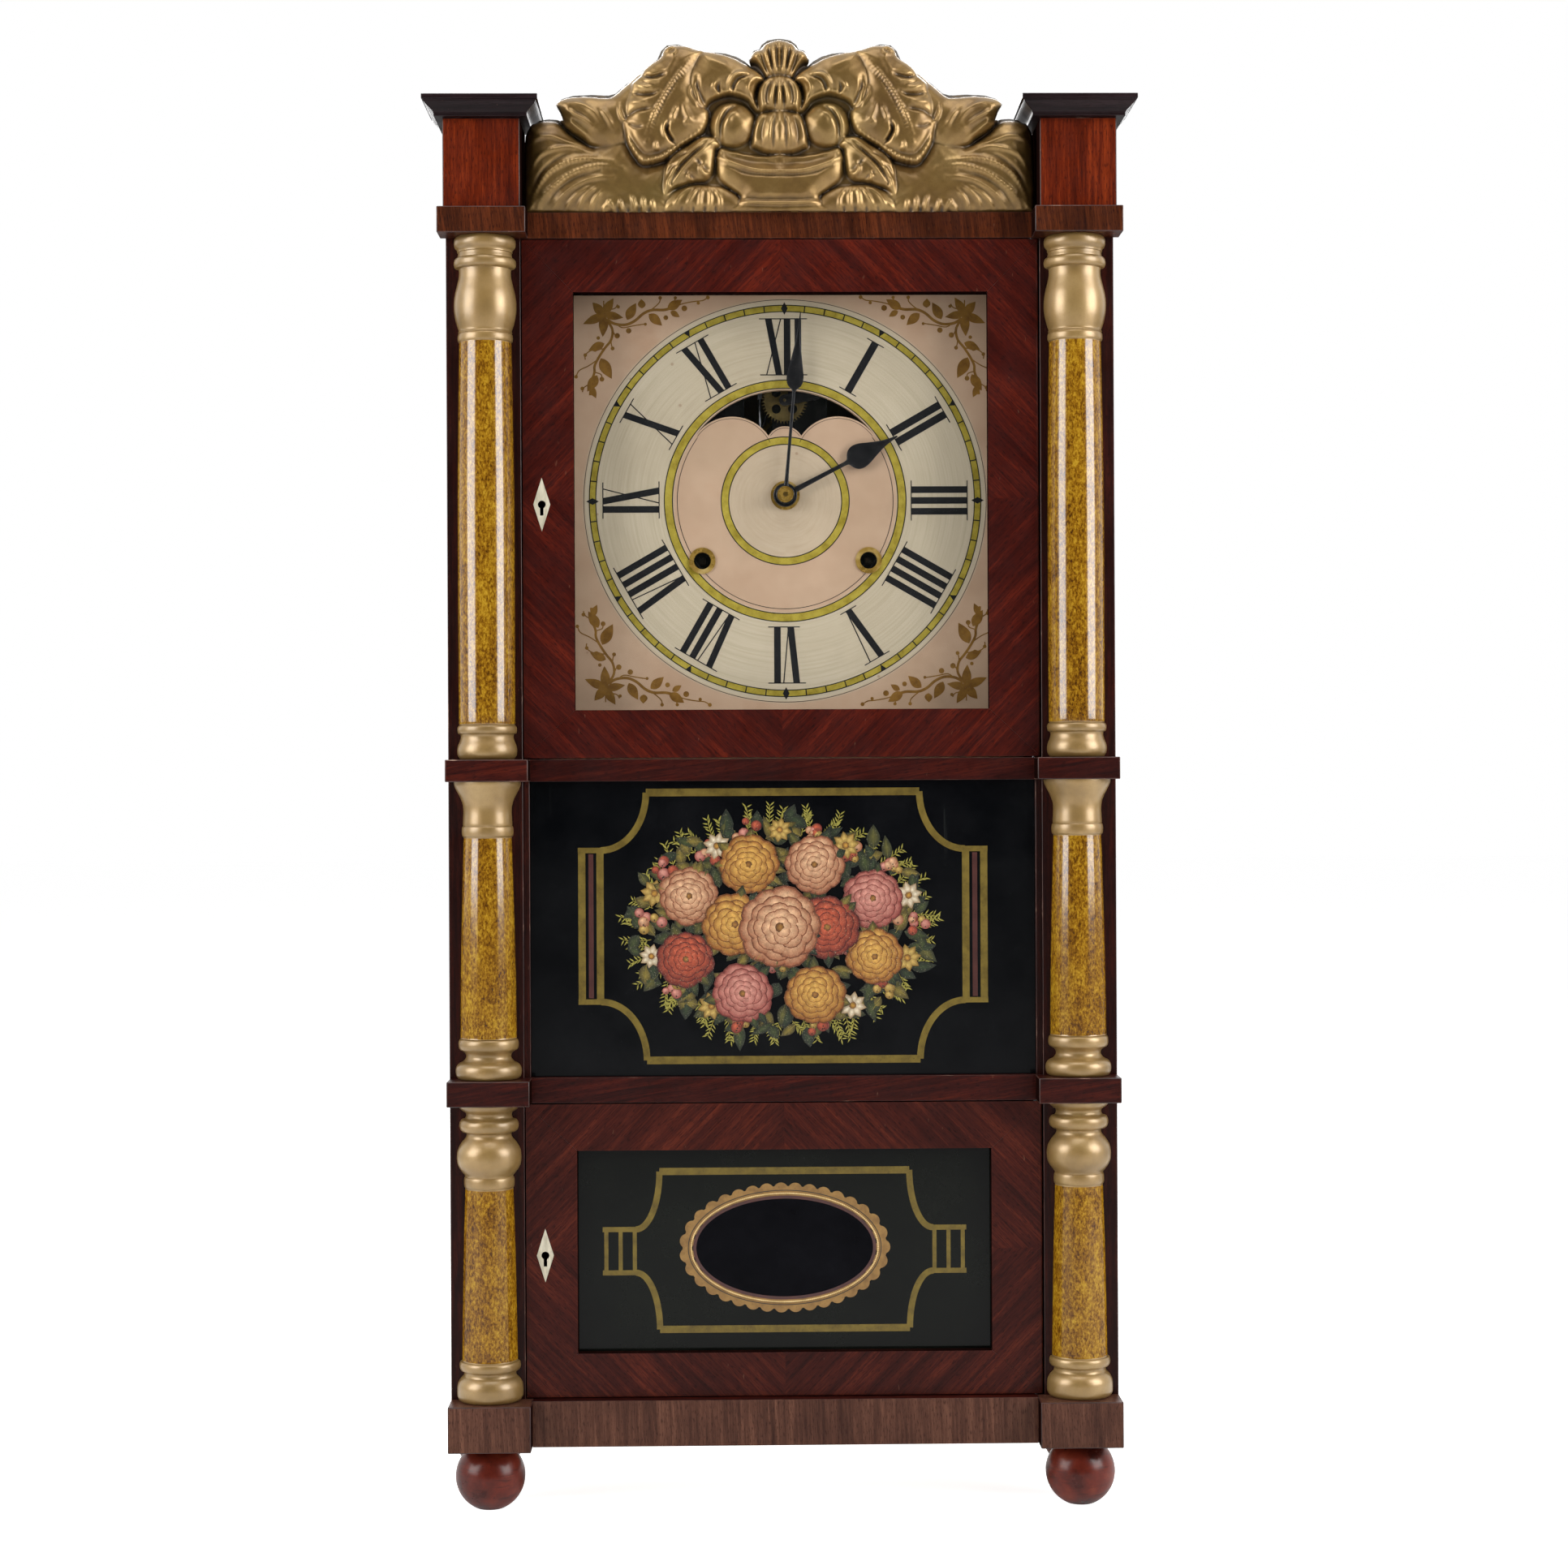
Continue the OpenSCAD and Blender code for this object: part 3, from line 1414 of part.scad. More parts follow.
module hammer() {
  tail_w = 3;
  tail_l = norm(pin_at - hammer_at) - pin_ring - lift_pin_r - tail_w / 2 - 0.5;
  tail_end = polar(hammer_at, tail_l, aim(hammer_at, pin_at));
  color(steel) {
    rod(hammer_at, arbor_r, gap_y + fit_gap, gong_y + 1.2);
    rod(hammer_at, pivot_r, plate_y + fit_gap, gap_y + more);
    strap_bar(hammer_at, tail_end, pin_wheel_y + wheel_t + 0.8, 1.8, tail_w);
    rod_between([hammer_at.x, gong_y, hammer_at.y], [head_at.x, gong_y, head_at.y], 1.2);
  }
  color(iron)
    translate([head_at.x - head_r, gong_y, head_at.y])
      rotate([0, 90, 0])
        cylinder(h = 2 * head_r, r = 5.5);
}

// Flat spiral of the gong, from its inner end to the free end that the hammer strikes
gong_core = 9.6;

function gong_point(t) =
  polar(gong_at, gong_core + (gong_r - gong_core) * t, 180 - 360 * gong_turns * (1 - t));

module gong() {
  steps = 24 * gong_turns;
  color(iron) {
    tube([for (i = [0:steps]) gong_point(i / steps)], gong_y, gong_wire_r, 6);
    rod(gong_at, gong_core - gong_wire_r - seat_gap, gong_y - 3, back_face);
  }
}

// Pulleys, weights and cords

module pulley_brackets() {
  cheek_t = 2;
  half_w = pulley_w / 2 + 1;
  color(iron)
    both_sides()
      translate([pulley_x, cord_y, 0]) {
        slab(-10, 10, -half_w - cheek_t, half_w + cheek_t, top_z - board_t - 2, top_z - board_t);
        for (s = [-1, 1])
          translate([0, s * (half_w + cheek_t / 2), 0])
            slab(-5, 5, -cheek_t / 2, cheek_t / 2, pulley_z - 5, top_z - board_t - more);
        rod([0, pulley_z], 2, -half_w - more, half_w + more);
      }
}

module pulley(side) {
  groove_r = pulley_r - cord_r - groove_gap;
  color(brass)
    translate([side * pulley_x, cord_y, pulley_z])
      rotate([-90, 0, 0])
        rotate_extrude()
          polygon([[2 + run_gap, -pulley_w / 2], [pulley_r + 1.4, -pulley_w / 2], [pulley_r + 1.4, -2.6],
                   [groove_r, -1.2], [groove_r, 1.2], [pulley_r + 1.4, 2.6], [pulley_r + 1.4, pulley_w / 2],
                   [2 + run_gap, pulley_w / 2]]);
}

module time_pulley() {
  pulley(1);
}

module strike_pulley() {
  pulley(-1);
}

module weight(side) {
  eye_r = 5;
  color(iron)
    translate([side * weight_x, cord_y, weight_z]) {
      translate([-weight_w / 2, -weight_d / 2, 0])
        cube([weight_w, weight_d, weight_h]);
      cylinder(h = weight_h + hook_h - 2 * eye_r, r = 2);
      translate([0, 0, weight_h + hook_h - eye_r - 1.5])
        rotate([90, 0, 0])
          rotate_extrude()
            translate([eye_r, 0])
              circle(r = 1.5, $fn = 24);
    }
}

module time_weight() {
  weight(1);
}

module strike_weight() {
  weight(-1);
}

// Cord from a drum up to its pulley and over it, for a drum on the right-hand side
function cord_path(drum_at) =
  let (wheel_at = [pulley_x, pulley_z],
       off = aim(drum_at, wheel_at) + 90 - asin((pulley_r - drum_r) / norm(wheel_at - drum_at)))
  concat([polar(drum_at, drum_r, off)],
         [for (i = [0:16]) polar(wheel_at, pulley_r, off * (1 - i / 16))]);

module cord_runs() {
  color("#b9a77c") {
    tube(cord_path(great_at), cord_y, cord_r);
    mirror([1, 0, 0])
      tube(cord_path([-strike_at.x, strike_at.y]), cord_y, cord_r);
  }
}

module cord_fall(side) {
  color("#b9a77c")
    translate([side * weight_x, cord_y, hook_z + seat_gap])
      cylinder(h = pulley_z - hook_z - seat_gap - glue_gap, r = cord_r);
}

module time_cord_fall() {
  cord_fall(1);
}

module strike_cord_fall() {
  cord_fall(-1);
}

side_boards();
back_board();
end_boards();
front_stiles();
cross_rails();
column_blocks();
top_posts();
post_caps();
crest_splat();
upper_columns();
middle_columns();
lower_columns();
ball_feet();
middle_tablet();
tablet_stops();
case_cleats();
door_pins();
upper_door_frame();
upper_door_glass();
upper_escutcheon();
upper_lock();
upper_bolt();
lower_door_frame();
lower_door_glass();
lower_escutcheon();
lower_lock();
lower_bolt();
dial_plate();
dial_grommets();
minute_hand();
hour_hand();
hand_nut();
front_plate();
back_plate();
centre_wheel();
minute_wheel();
hour_wheel();
intermediate_wheel();
time_great_wheel();
time_drum();
third_wheel();
escape_wheel();
verge();
pendulum_rod();
pendulum_bob();
strike_great_wheel();
strike_drum();
pin_wheel();
cam_wheel();
fly();
hammer();
gong();
pulley_brackets();
time_pulley();
strike_pulley();
time_weight();
strike_weight();
cord_runs();
time_cord_fall();
strike_cord_fall();
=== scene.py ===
import math
import random

import bmesh
import bpy
import numpy as np
from mathutils import Matrix, Vector
from mathutils.geometry import delaunay_2d_cdt


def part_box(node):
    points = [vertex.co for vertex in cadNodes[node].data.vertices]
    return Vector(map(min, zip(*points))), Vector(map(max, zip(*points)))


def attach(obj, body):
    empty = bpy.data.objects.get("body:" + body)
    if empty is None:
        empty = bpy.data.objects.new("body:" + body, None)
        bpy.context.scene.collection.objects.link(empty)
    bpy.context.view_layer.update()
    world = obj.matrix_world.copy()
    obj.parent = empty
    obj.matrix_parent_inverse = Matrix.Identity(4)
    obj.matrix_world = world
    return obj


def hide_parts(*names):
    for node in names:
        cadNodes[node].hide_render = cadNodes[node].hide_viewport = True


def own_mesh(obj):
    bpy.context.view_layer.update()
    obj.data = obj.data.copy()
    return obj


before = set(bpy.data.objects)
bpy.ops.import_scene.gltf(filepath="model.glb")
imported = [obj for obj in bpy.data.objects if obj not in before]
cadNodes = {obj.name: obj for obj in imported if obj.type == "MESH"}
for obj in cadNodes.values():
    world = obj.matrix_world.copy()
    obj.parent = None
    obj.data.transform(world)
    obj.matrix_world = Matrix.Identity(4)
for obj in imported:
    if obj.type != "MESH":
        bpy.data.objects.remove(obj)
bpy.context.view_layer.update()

scene = bpy.context.scene
frontFace = -46.0          # mm, the plane of the stiles; a larger value lies further back
print("stage: frame loaded,", len(cadNodes), "nodes")


def linked(name, data):
    # a new object in the scene
    made = bpy.data.objects.new(name, data)
    scene.collection.objects.link(made)
    return made


# Camera
cameraView = {"place": (-0.0292, -1.846, 0.4621), "yaw": -0.956, "pitch": -0.027, "roll": -0.277,
              "lens": 65.08, "sensor": 36}


def makeCamera(view):
    yaw, pitch, roll = (math.radians(view[k]) for k in ("yaw", "pitch", "roll"))
    turn = Matrix.Rotation(yaw, 3, "Z")
    forward = turn @ Vector((0, math.cos(pitch), math.sin(pitch)))
    side = turn @ Vector((1, 0, 0))
    rise = side.cross(forward)
    right = side * math.cos(roll) + rise * math.sin(roll)
    up = rise * math.cos(roll) - side * math.sin(roll)
    data = bpy.data.cameras.new("frontCamera")
    data.lens, data.sensor_width, data.sensor_fit = view["lens"], view["sensor"], "HORIZONTAL"
    matrix = Matrix((right, up, -forward)).transposed().to_4x4()
    matrix.translation = Vector(view["place"])
    scene.camera = linked("frontCamera", data)
    scene.camera.matrix_world = matrix


makeCamera(cameraView)


# Finishes
def tone(red, green, blue):
    # a colour as a paint chart gives it, 0 to 255, as the shader wants it
    def straight(v):
        v = v / 255
        return v / 12.92 if v <= 0.04045 else ((v + 0.055) / 1.055) ** 2.4
    return (straight(red), straight(green), straight(blue), 1.0)


def shades(dark, middle, light):
    # the three tones of one finish
    return {"dark": tone(*dark), "middle": tone(*middle), "light": tone(*light)}


class Nodes:
    # adds nodes to a tree; an input takes a value or the socket of another node
    def __init__(self, tree):
        self.tree = tree

    def put(self, socket, value):
        if isinstance(value, bpy.types.NodeSocket):
            self.tree.links.new(value, socket)
        else:
            socket.default_value = value

    def step(self, kind, inputs=(), **options):
        made = self.tree.nodes.new(kind)
        for key, value in options.items():
            setattr(made, key, value)
        for key, value in dict(inputs).items():
            self.put(made.inputs[key], value)
        return made

    def sum(self, way, *values):
        made = self.step("ShaderNodeMath", operation=way)
        for socket, value in zip(made.inputs, values):
            self.put(socket, value)
        return made.outputs[0]

    def spread(self, value, low, high, toLow=0.0, toHigh=1.0):
        made = self.step("ShaderNodeMapRange", {"Value": value, "From Min": low, "From Max": high,
                                                "To Min": toLow, "To Max": toHigh}, clamp=True)
        return made.outputs["Result"]

    def split(self, vector):
        return self.step("ShaderNodeSeparateXYZ", {"Vector": vector}).outputs

    def join(self, x, y, z):
        return self.step("ShaderNodeCombineXYZ", {"X": x, "Y": y, "Z": z}).outputs["Vector"]


class Finish(Nodes):
    # one material and the few node steps that the finishes share
    def __init__(self, name, **fixed):
        self.material = bpy.data.materials.new(name)
        self.material.use_nodes = True
        super().__init__(self.material.node_tree)
        self.shader = self.tree.nodes["Principled BSDF"]
        for key, value in fixed.items():
            self.shader.inputs[key.replace("_", " ")].default_value = value

    def place(self, scale=(1, 1, 1), turn=(0, 0, 0), shift=(0, 0, 0), source=None):
        if source is None:
            source = self.step("ShaderNodeTexCoord").outputs["Object"]
        made = self.step("ShaderNodeMapping", {"Vector": source, "Scale": scale, "Location": shift})
        made.inputs["Rotation"].default_value = [math.radians(a) for a in turn]
        return made.outputs["Vector"]

    def noise(self, where, scale, detail=4.0, rough=0.55, warp=0.0):
        made = self.step("ShaderNodeTexNoise", {"Vector": where, "Scale": scale, "Detail": detail,
                                                "Roughness": rough, "Distortion": warp})
        return made.outputs["Fac"]

    def cells(self, where, scale):
        return self.step("ShaderNodeTexVoronoi", {"Vector": where, "Scale": scale}).outputs["Distance"]

    def ramp(self, value, stops):
        made = self.step("ShaderNodeValToRGB", {"Fac": value})
        points = made.color_ramp.elements
        while len(points) < len(stops):
            points.new(0.5)
        for point, (at, colour) in zip(points, stops):
            point.position = at
            point.color = colour if len(colour) == 4 else (*colour, 1)
        return made.outputs["Color"]

    def mix(self, share, first, second, way="MIX"):
        made = self.step("ShaderNodeMix", {0: share, 6: first, 7: second}, data_type="RGBA",
                         blend_type=way)
        return made.outputs[2]

    def close(self, colour=None, rough=None, height=None, strength=0.3, depth=0.0003, metal=None):
        if colour is not None:
            self.put(self.shader.inputs["Base Color"], colour)
        if rough is not None:
            self.put(self.shader.inputs["Roughness"], rough)
        if metal is not None:
            self.put(self.shader.inputs["Metallic"], metal)
        if height is not None:
            bump = self.step("ShaderNodeBump", {"Height": height, "Strength": strength, "Distance": depth})
            self.put(self.shader.inputs["Normal"], bump.outputs["Normal"])
        return self.material


def mahogany(name, look):
    # look: three tones, along = the grain's axis, lean = its slant, coat and shine = the polish
    f = Finish(name, Coat_Weight=look.get("coat", 0.12), Coat_Roughness=0.16,
               Specular_IOR_Level=look.get("shine", 0.1))
    along = look["along"]
    if along == "corners":
        # crossbanded veneer that runs to the corners of a frame, book-matched about both middle lines
        centre = look["centre"]
        flat = f.place(shift=(-centre[0], 0, -centre[1]))
        halves = f.split(flat)
        offset = f.sum("MULTIPLY_ADD", f.sum("GREATER_THAN", halves["X"], 0.0), 0.37,
                       f.sum("MULTIPLY", f.sum("GREATER_THAN", halves["Z"], 0.0), 0.83))
        folded = f.join(f.sum("ABSOLUTE", halves["X"]), f.sum("ADD", halves["Y"], offset),
                        f.sum("ABSOLUTE", halves["Z"]))
        source = f.place(turn=(0, look.get("lean", 44), 0), source=folded)
        squeeze = (1, 1, 0.05)
    else:
        source = f.place(turn=(0, look.get("lean", 0), 0))
        squeeze = {"x": (0.05, 1, 1), "y": (1, 0.05, 1), "z": (1, 1, 0.05)}[along]
    grain = f.place(scale=squeeze, source=source)
    broad = f.noise(grain, 32, 3, 0.5, 0.4)
    streaks = f.noise(grain, 260, 4, 0.6, 0.6)
    fine = f.noise(grain, 900, 3, 0.6, 0.2)
    pores = f.noise(f.place(scale=tuple(v ** 0.6 for v in squeeze), source=source), 1500, 2, 0.5)
    clouds = f.noise(source, 17, 4, 0.6)
    figure = f.sum("MULTIPLY_ADD", streaks, 0.4,
                   f.sum("MULTIPLY_ADD", fine, 0.3, f.sum("MULTIPLY", broad, 0.3)))
    base = f.ramp(figure, [(0.38, look["dark"]), (0.5, look["middle"]), (0.62, look["light"])])
    patina = f.mix(f.spread(clouds, 0.45, 0.7, 0.0, look.get("patina", 0.5)), base, look["dark"])
    dots = f.spread(pores, 0.54, 0.68, 0.0, 0.75)
    colour = f.mix(dots, patina, look.get("pore", tone(22, 9, 8)))
    scuffs = f.noise(f.place(scale=(1, 1, 0.3), turn=(0, 32, 0)), 420, 2, 0.5)
    colour = f.mix(f.spread(scuffs, 0.74, 0.8, 0.0, 0.3), colour, tone(120, 84, 66))
    rough = f.spread(f.noise(source, 60, 4, 0.6), 0.3, 0.7, 0.3, 0.5)
    height = f.sum("ADD", f.sum("MULTIPLY", dots, -0.6), f.sum("MULTIPLY", streaks, 0.5))
    return f.close(colour, rough, height, 0.22, 0.00012)


def wornEdge(name, light, dark):
    # rubbed arrises: bare wood shows through the varnish in places
    f = Finish(name, Coat_Weight=0.1, Coat_Roughness=0.3)
    patches = f.noise(f.place(), 55, 5, 0.65)
    colour = f.ramp(patches, [(0.42, dark), (0.6, light), (0.78, tone(168, 138, 118))])
    return f.close(colour, f.spread(patches, 0.3, 0.7, 0.35, 0.6), patches, 0.2, 0.0001)


def pineWood(name):
    f = Finish(name, Specular_IOR_Level=0.3)
    grain = f.place(scale=(1, 1, 0.05))
    rings = f.noise(grain, 60, 4, 0.6, 0.8)
    colour = f.ramp(rings, [(0.35, tone(150, 112, 70)), (0.52, tone(178, 140, 92)), (0.7, tone(120, 84, 50))])
    stain = f.noise(f.place(), 9, 4, 0.6)
    colour = f.mix(f.spread(stain, 0.45, 0.75, 0, 0.5), colour, tone(96, 70, 46))
    return f.close(colour, 0.72, rings, 0.3, 0.0003)


def goldPaint(name, look, hollows=False):
    # bronze powder in varnish over gesso; it darkens where it isn't rubbed
    f = Finish(name, Coat_Weight=1.0, Coat_Roughness=look["gloss"], Coat_IOR=look["coat"],
               Specular_IOR_Level=0.5, Metallic=look["metal"])
    where = f.place()
    clouds = f.noise(where, 38, 5, 0.6)
    speck = f.noise(where, 900, 2, 0.6)
    colour = f.ramp(clouds, [(0.3, look["dark"]), (0.52, look["middle"]), (0.75, look["light"])])
    colour = f.mix(f.spread(speck, 0.56, 0.75, 0, 0.4), colour, look["dark"])
    rough = f.spread(clouds, 0.3, 0.75, 0.46, 0.34)
    if hollows:
        depth = f.step("ShaderNodeAttribute", attribute_name="hollow").outputs["Fac"]
        colour = f.mix(f.spread(depth, 0.5, 0.95, 0, 0.9), colour, look["hollow"])
        colour = f.mix(f.spread(depth, 0.42, 0.08, 0, 0.45), colour, look["rubbed"])
        green = f.noise(where, 16, 3, 0.5)
        colour = f.mix(f.spread(green, 0.5, 0.7, 0, 0.4), colour, look["olive"])
        rough = f.sum("ADD", rough, f.spread(depth, 0.5, 0.9, 0, 0.12))
    else:
        chips = f.noise(where, 150, 4, 0.65)
        colour = f.mix(f.spread(chips, 0.68, 0.76, 0, 0.55), colour, tone(104, 76, 40))
    height = f.sum("ADD", f.sum("MULTIPLY", speck, 0.25), clouds)
    return f.close(colour, rough, height, 0.18, 0.0003)


def sponged(name):
    # amber ground dabbed with umber in fine upright mottles, under thick varnish
    f = Finish(name, Coat_Weight=1.0, Coat_Roughness=0.13, Coat_IOR=1.72, Specular_IOR_Level=0.0)
    upright = f.place(scale=(1, 1, 0.55))
    fine = f.noise(upright, 760, 4, 0.72, 0.3)
    middle = f.noise(upright, 150, 4, 0.62, 0.5)
    long = f.noise(f.place(scale=(1, 1, 0.12)), 46, 3, 0.5)
    amount = f.sum("MULTIPLY_ADD", fine, 0.62,
                   f.sum("MULTIPLY_ADD", middle, 0.28, f.sum("MULTIPLY", long, 0.14)))
    colour = f.ramp(amount, [(0.4, tone(66, 38, 5)), (0.47, tone(108, 68, 8)), (0.54, tone(144, 102, 18)),
                             (0.63, tone(178, 140, 36))])
    rough = f.spread(fine, 0.3, 0.7, 0.3, 0.5)
    # the varnish is rubbed dull on the lowest pair
    f.put(f.shader.inputs["Coat Weight"], f.spread(f.split(f.place())["Z"], 0.2, 0.28, 0.4, 1.0))
    return f.close(colour, rough, fine, 0.12, 0.0002)


def stainedFeet(name):
    f = Finish(name, Coat_Weight=0.4, Coat_Roughness=0.26, Specular_IOR_Level=0.15)
    where = f.place()
    clouds = f.noise(where, 45, 5, 0.6)
    rings = f.noise(f.place(scale=(1, 1, 9)), 60, 3, 0.5)
    colour = f.ramp(clouds, [(0.32, tone(54, 16, 10)), (0.55, tone(100, 34, 20)), (0.75, tone(130, 56, 32))])
    colour = f.mix(f.spread(rings, 0.55, 0.7, 0, 0.5), colour, tone(40, 16, 12))
    chips = f.noise(where, 260, 2, 0.5)
    colour = f.mix(f.spread(chips, 0.7, 0.76, 0, 0.7), colour, tone(30, 14, 10))
    return f.close(colour, f.spread(clouds, 0.3, 0.7, 0.24, 0.4), clouds, 0.2, 0.0003)


def dialPaint(name, dial):
    # cream chapter zone and rosy middle and corners, brushed round the hands' centre
    f = Finish(name, Coat_Weight=0.25, Coat_Roughness=0.25, Specular_IOR_Level=0.4)
    flat = f.split(f.place(shift=(-dial["centre"][0] / 1000, 0, -dial["centre"][1] / 1000)))
    square = f.sum("ADD", f.sum("MULTIPLY", flat["X"], flat["X"]), f.sum("MULTIPLY", flat["Z"], flat["Z"]))
    radius = f.sum("SQRT", square)
    angle = f.sum("ARCTAN2", flat["X"], flat["Z"])
    strokes = f.join(f.sum("MULTIPLY", radius, 1000), f.sum("MULTIPLY", angle, 2.2), 0.0)
    brushed = f.noise(strokes, 0.7, 4, 0.6)
    cloud = f.noise(f.place(), 16, 4, 0.6)
    cream = f.ramp(brushed, [(0.3, tone(191, 178, 151)), (0.5, tone(200, 187, 161)),
                             (0.72, tone(206, 194, 169))])
    rosy = f.ramp(cloud, [(0.3, tone(186, 154, 126)), (0.55, tone(200, 170, 142)),
                          (0.75, tone(190, 154, 124))])
    inChapter = f.sum("MULTIPLY", f.spread(radius, 0.0715, 0.0735), f.spread(radius, 0.1315, 0.1285))
    inMiddle = f.spread(radius, 0.0415, 0.0395)
    colour = f.mix(inChapter, rosy, cream)
    colour = f.mix(f.sum("MULTIPLY", inMiddle, 0.6), colour, cream)
    spots = f.cells(f.place(), 46)
    colour = f.mix(f.spread(spots, 0.055, 0.03, 0, 0.5), colour, tone(150, 112, 84))
    grime = f.noise(f.place(), 5.5, 5, 0.6)
    colour = f.mix(f.spread(grime, 0.48, 0.72, 0, 0.4), colour, tone(150, 132, 104))
    return f.close(colour, f.spread(brushed, 0.3, 0.7, 0.42, 0.5), brushed, 0.05, 0.00005)


def inkPaint(name):
    f = Finish(name, Coat_Weight=0.3, Coat_Roughness=0.2)
    worn = f.noise(f.place(), 330, 4, 0.65)
    colour = f.mix(f.spread(worn, 0.68, 0.78, 0, 0.5), tone(18, 18, 22), tone(110, 104, 92))
    return f.close(colour, f.spread(worn, 0.3, 0.7, 0.3, 0.5), worn, 0.1, 0.00005)


def linePaint(name, low, high, gap, coat=0.3, metal=0.15):
    # gold or umber lines laid with a brush, thin in places
    f = Finish(name, Coat_Weight=coat, Coat_Roughness=0.08)
    thick = f.noise(f.place(), 130, 5, 0.65)
    flecks = f.noise(f.place(), 820, 2, 0.6)
    colour = f.ramp(thick, [(0.3, low), (0.6, high)])
    colour = f.mix(f.spread(flecks, 0.62, 0.76, 0, 0.6), colour, gap)
    return f.close(colour, f.spread(thick, 0.3, 0.7, 0.35, 0.55), thick, 0.08, 0.00005, metal=metal)


def blackGlass(name, low, high, coat=0.3):
    # the paint is on the far side, so the surface itself is smooth glass with dust and scratches; in the
    # clear oval the near-black tones are painted shade of the dark case behind
    f = Finish(name, Coat_Weight=coat, Coat_Roughness=0.04, Specular_IOR_Level=0.4 * coat)
    dust = f.noise(f.place(), 22, 6, 0.7)
    motes = f.cells(f.place(), 210)
    colour = f.ramp(dust, [(0.35, low), (0.7, high)])
    colour = f.mix(f.spread(motes, 0.05, 0.02, 0, 0.3), colour, tone(70, 72, 70))
    scratch = f.noise(f.place(scale=(1, 1, 0.04), turn=(0, 24, 0)), 190, 2, 0.5)
    colour = f.mix(f.spread(scratch, 0.74, 0.8, 0, 0.3), colour, tone(52, 54, 52))
    return f.close(colour, f.spread(dust, 0.3, 0.75, 0.12, 0.3))


def clearGlass(name):
    f = Finish(name, IOR=1.45)
    smear = f.noise(f.place(), 18, 4, 0.6)
    f.shader.inputs["Alpha"].default_value = 0.06
    colour = f.ramp(smear, [(0.4, tone(20, 24, 22)), (0.7, tone(44, 48, 44))])
    return f.close(colour, f.spread(smear, 0.3, 0.7, 0.02, 0.08))


def tintedPaint(name, coat=0.6):
    # painted ornament: the colour is laid piece by piece and stored with the mesh
    f = Finish(name, Coat_Weight=coat, Coat_Roughness=0.08)
    laid = f.step("ShaderNodeAttribute", attribute_name="tint").outputs["Color"]
    strokes = f.noise(f.place(), 420, 5, 0.7, 0.6)
    stipple = f.noise(f.place(), 1500, 2, 0.6)
    colour = f.mix(f.spread(strokes, 0.35, 0.7, 0.45, 0.0), laid, tone(30, 24, 14), "MULTIPLY")
    colour = f.mix(f.spread(stipple, 0.6, 0.75, 0, 0.25), colour, tone(248, 232, 196))
    return f.close(colour, f.spread(strokes, 0.3, 0.7, 0.35, 0.5), strokes, 0.1, 0.00005)


def castMetal(name, look):
    f = Finish(name, Metallic=look["metal"], Specular_IOR_Level=0.5)
    where = f.place()
    tarnish = f.noise(where, look["scale"], 5, 0.65)
    fine = f.noise(f.place(scale=(1, 1, 6)), 700, 3, 0.6)
    colour = f.ramp(tarnish, [(0.3, look["dark"]), (0.55, look["middle"]), (0.75, look["light"])])
    rough = f.spread(tarnish, 0.3, 0.75, look["rough"][0], look["rough"][1])
    height = f.sum("ADD", f.sum("MULTIPLY", tarnish, look["pit"]), f.sum("MULTIPLY", fine, 0.3))
    return f.close(colour, rough, height, 0.2, 0.0002)


def boneInlay(name):
    f = Finish(name, Coat_Weight=0.2, Coat_Roughness=0.2)
    f.shader.inputs["Subsurface Weight"].default_value = 0.05
    grain = f.noise(f.place(scale=(1, 1, 0.2)), 420, 4, 0.6)
    stain = f.noise(f.place(), 120, 4, 0.6)
    colour = f.ramp(grain, [(0.35, tone(182, 172, 148)), (0.65, tone(212, 203, 180))])
    colour = f.mix(f.spread(stain, 0.6, 0.8, 0, 0.5), colour, tone(120, 92, 66))
    return f.close(colour, 0.35, grain, 0.1, 0.0001)


def twistedCord(name):
    f = Finish(name)
    strand = f.step("ShaderNodeTexWave", {"Vector": f.place(turn=(0, 35, 0)), "Scale": 420.0,
                                          "Distortion": 1.5, "Detail": 2.0}).outputs["Fac"]
    fuzz = f.noise(f.place(), 900, 3, 0.6)
    colour = f.mix(f.sum("MULTIPLY", strand, 0.6), tone(150, 132, 98), tone(196, 180, 146))
    colour = f.mix(f.spread(fuzz, 0.55, 0.75, 0, 0.4), colour, tone(110, 92, 62))
    return f.close(colour, 0.85, strand, 0.5, 0.0004)


woodLooks = {
    "topRail": {**shades((38, 15, 7), (68, 31, 14), (100, 47, 22)), "along": "z", "lean": 6},
    "rails": {**shades((30, 10, 8), (50, 15, 11), (76, 26, 16)), "along": "x", "lean": 9},
    "baseRail": {**shades((56, 32, 24), (82, 51, 39), (108, 71, 55)), "along": "z", "lean": 2,
                 "pore": tone(42, 19, 15)},
    "posts": {**shades((58, 15, 5), (92, 28, 7), (130, 48, 15)), "along": "z", "patina": 0.35,
              "pore": tone(38, 10, 5)},
    "stiles": {**shades((24, 9, 8), (40, 15, 11), (60, 22, 15)), "along": "z", "coat": 0.06},
    "upperDoor": {**shades((42, 11, 8), (61, 17, 11), (90, 28, 15)), "along": "corners",
                  "centre": (0.0, 0.639)},
    "lowerDoor": {**shades((38, 14, 11), (60, 22, 16), (88, 36, 23)), "along": "corners",
                  "centre": (0.0, 0.162), "coat": 0.06},
    "caps": {**shades((16, 10, 11), (27, 17, 19), (40, 27, 29)), "along": "x", "coat": 0.15},
    "sides": {**shades((42, 18, 13), (70, 31, 20), (98, 47, 28)), "along": "z"},
    # darker tones laid on inward faces as painted shade of the openings and corners
    "reveals": {**shades((14, 6, 5), (24, 10, 8), (36, 15, 11)), "along": "z", "coat": 0.0,
                "shine": 0.0},
}
woods = {key: mahogany(key + "Mahogany", look) for key, look in woodLooks.items()}
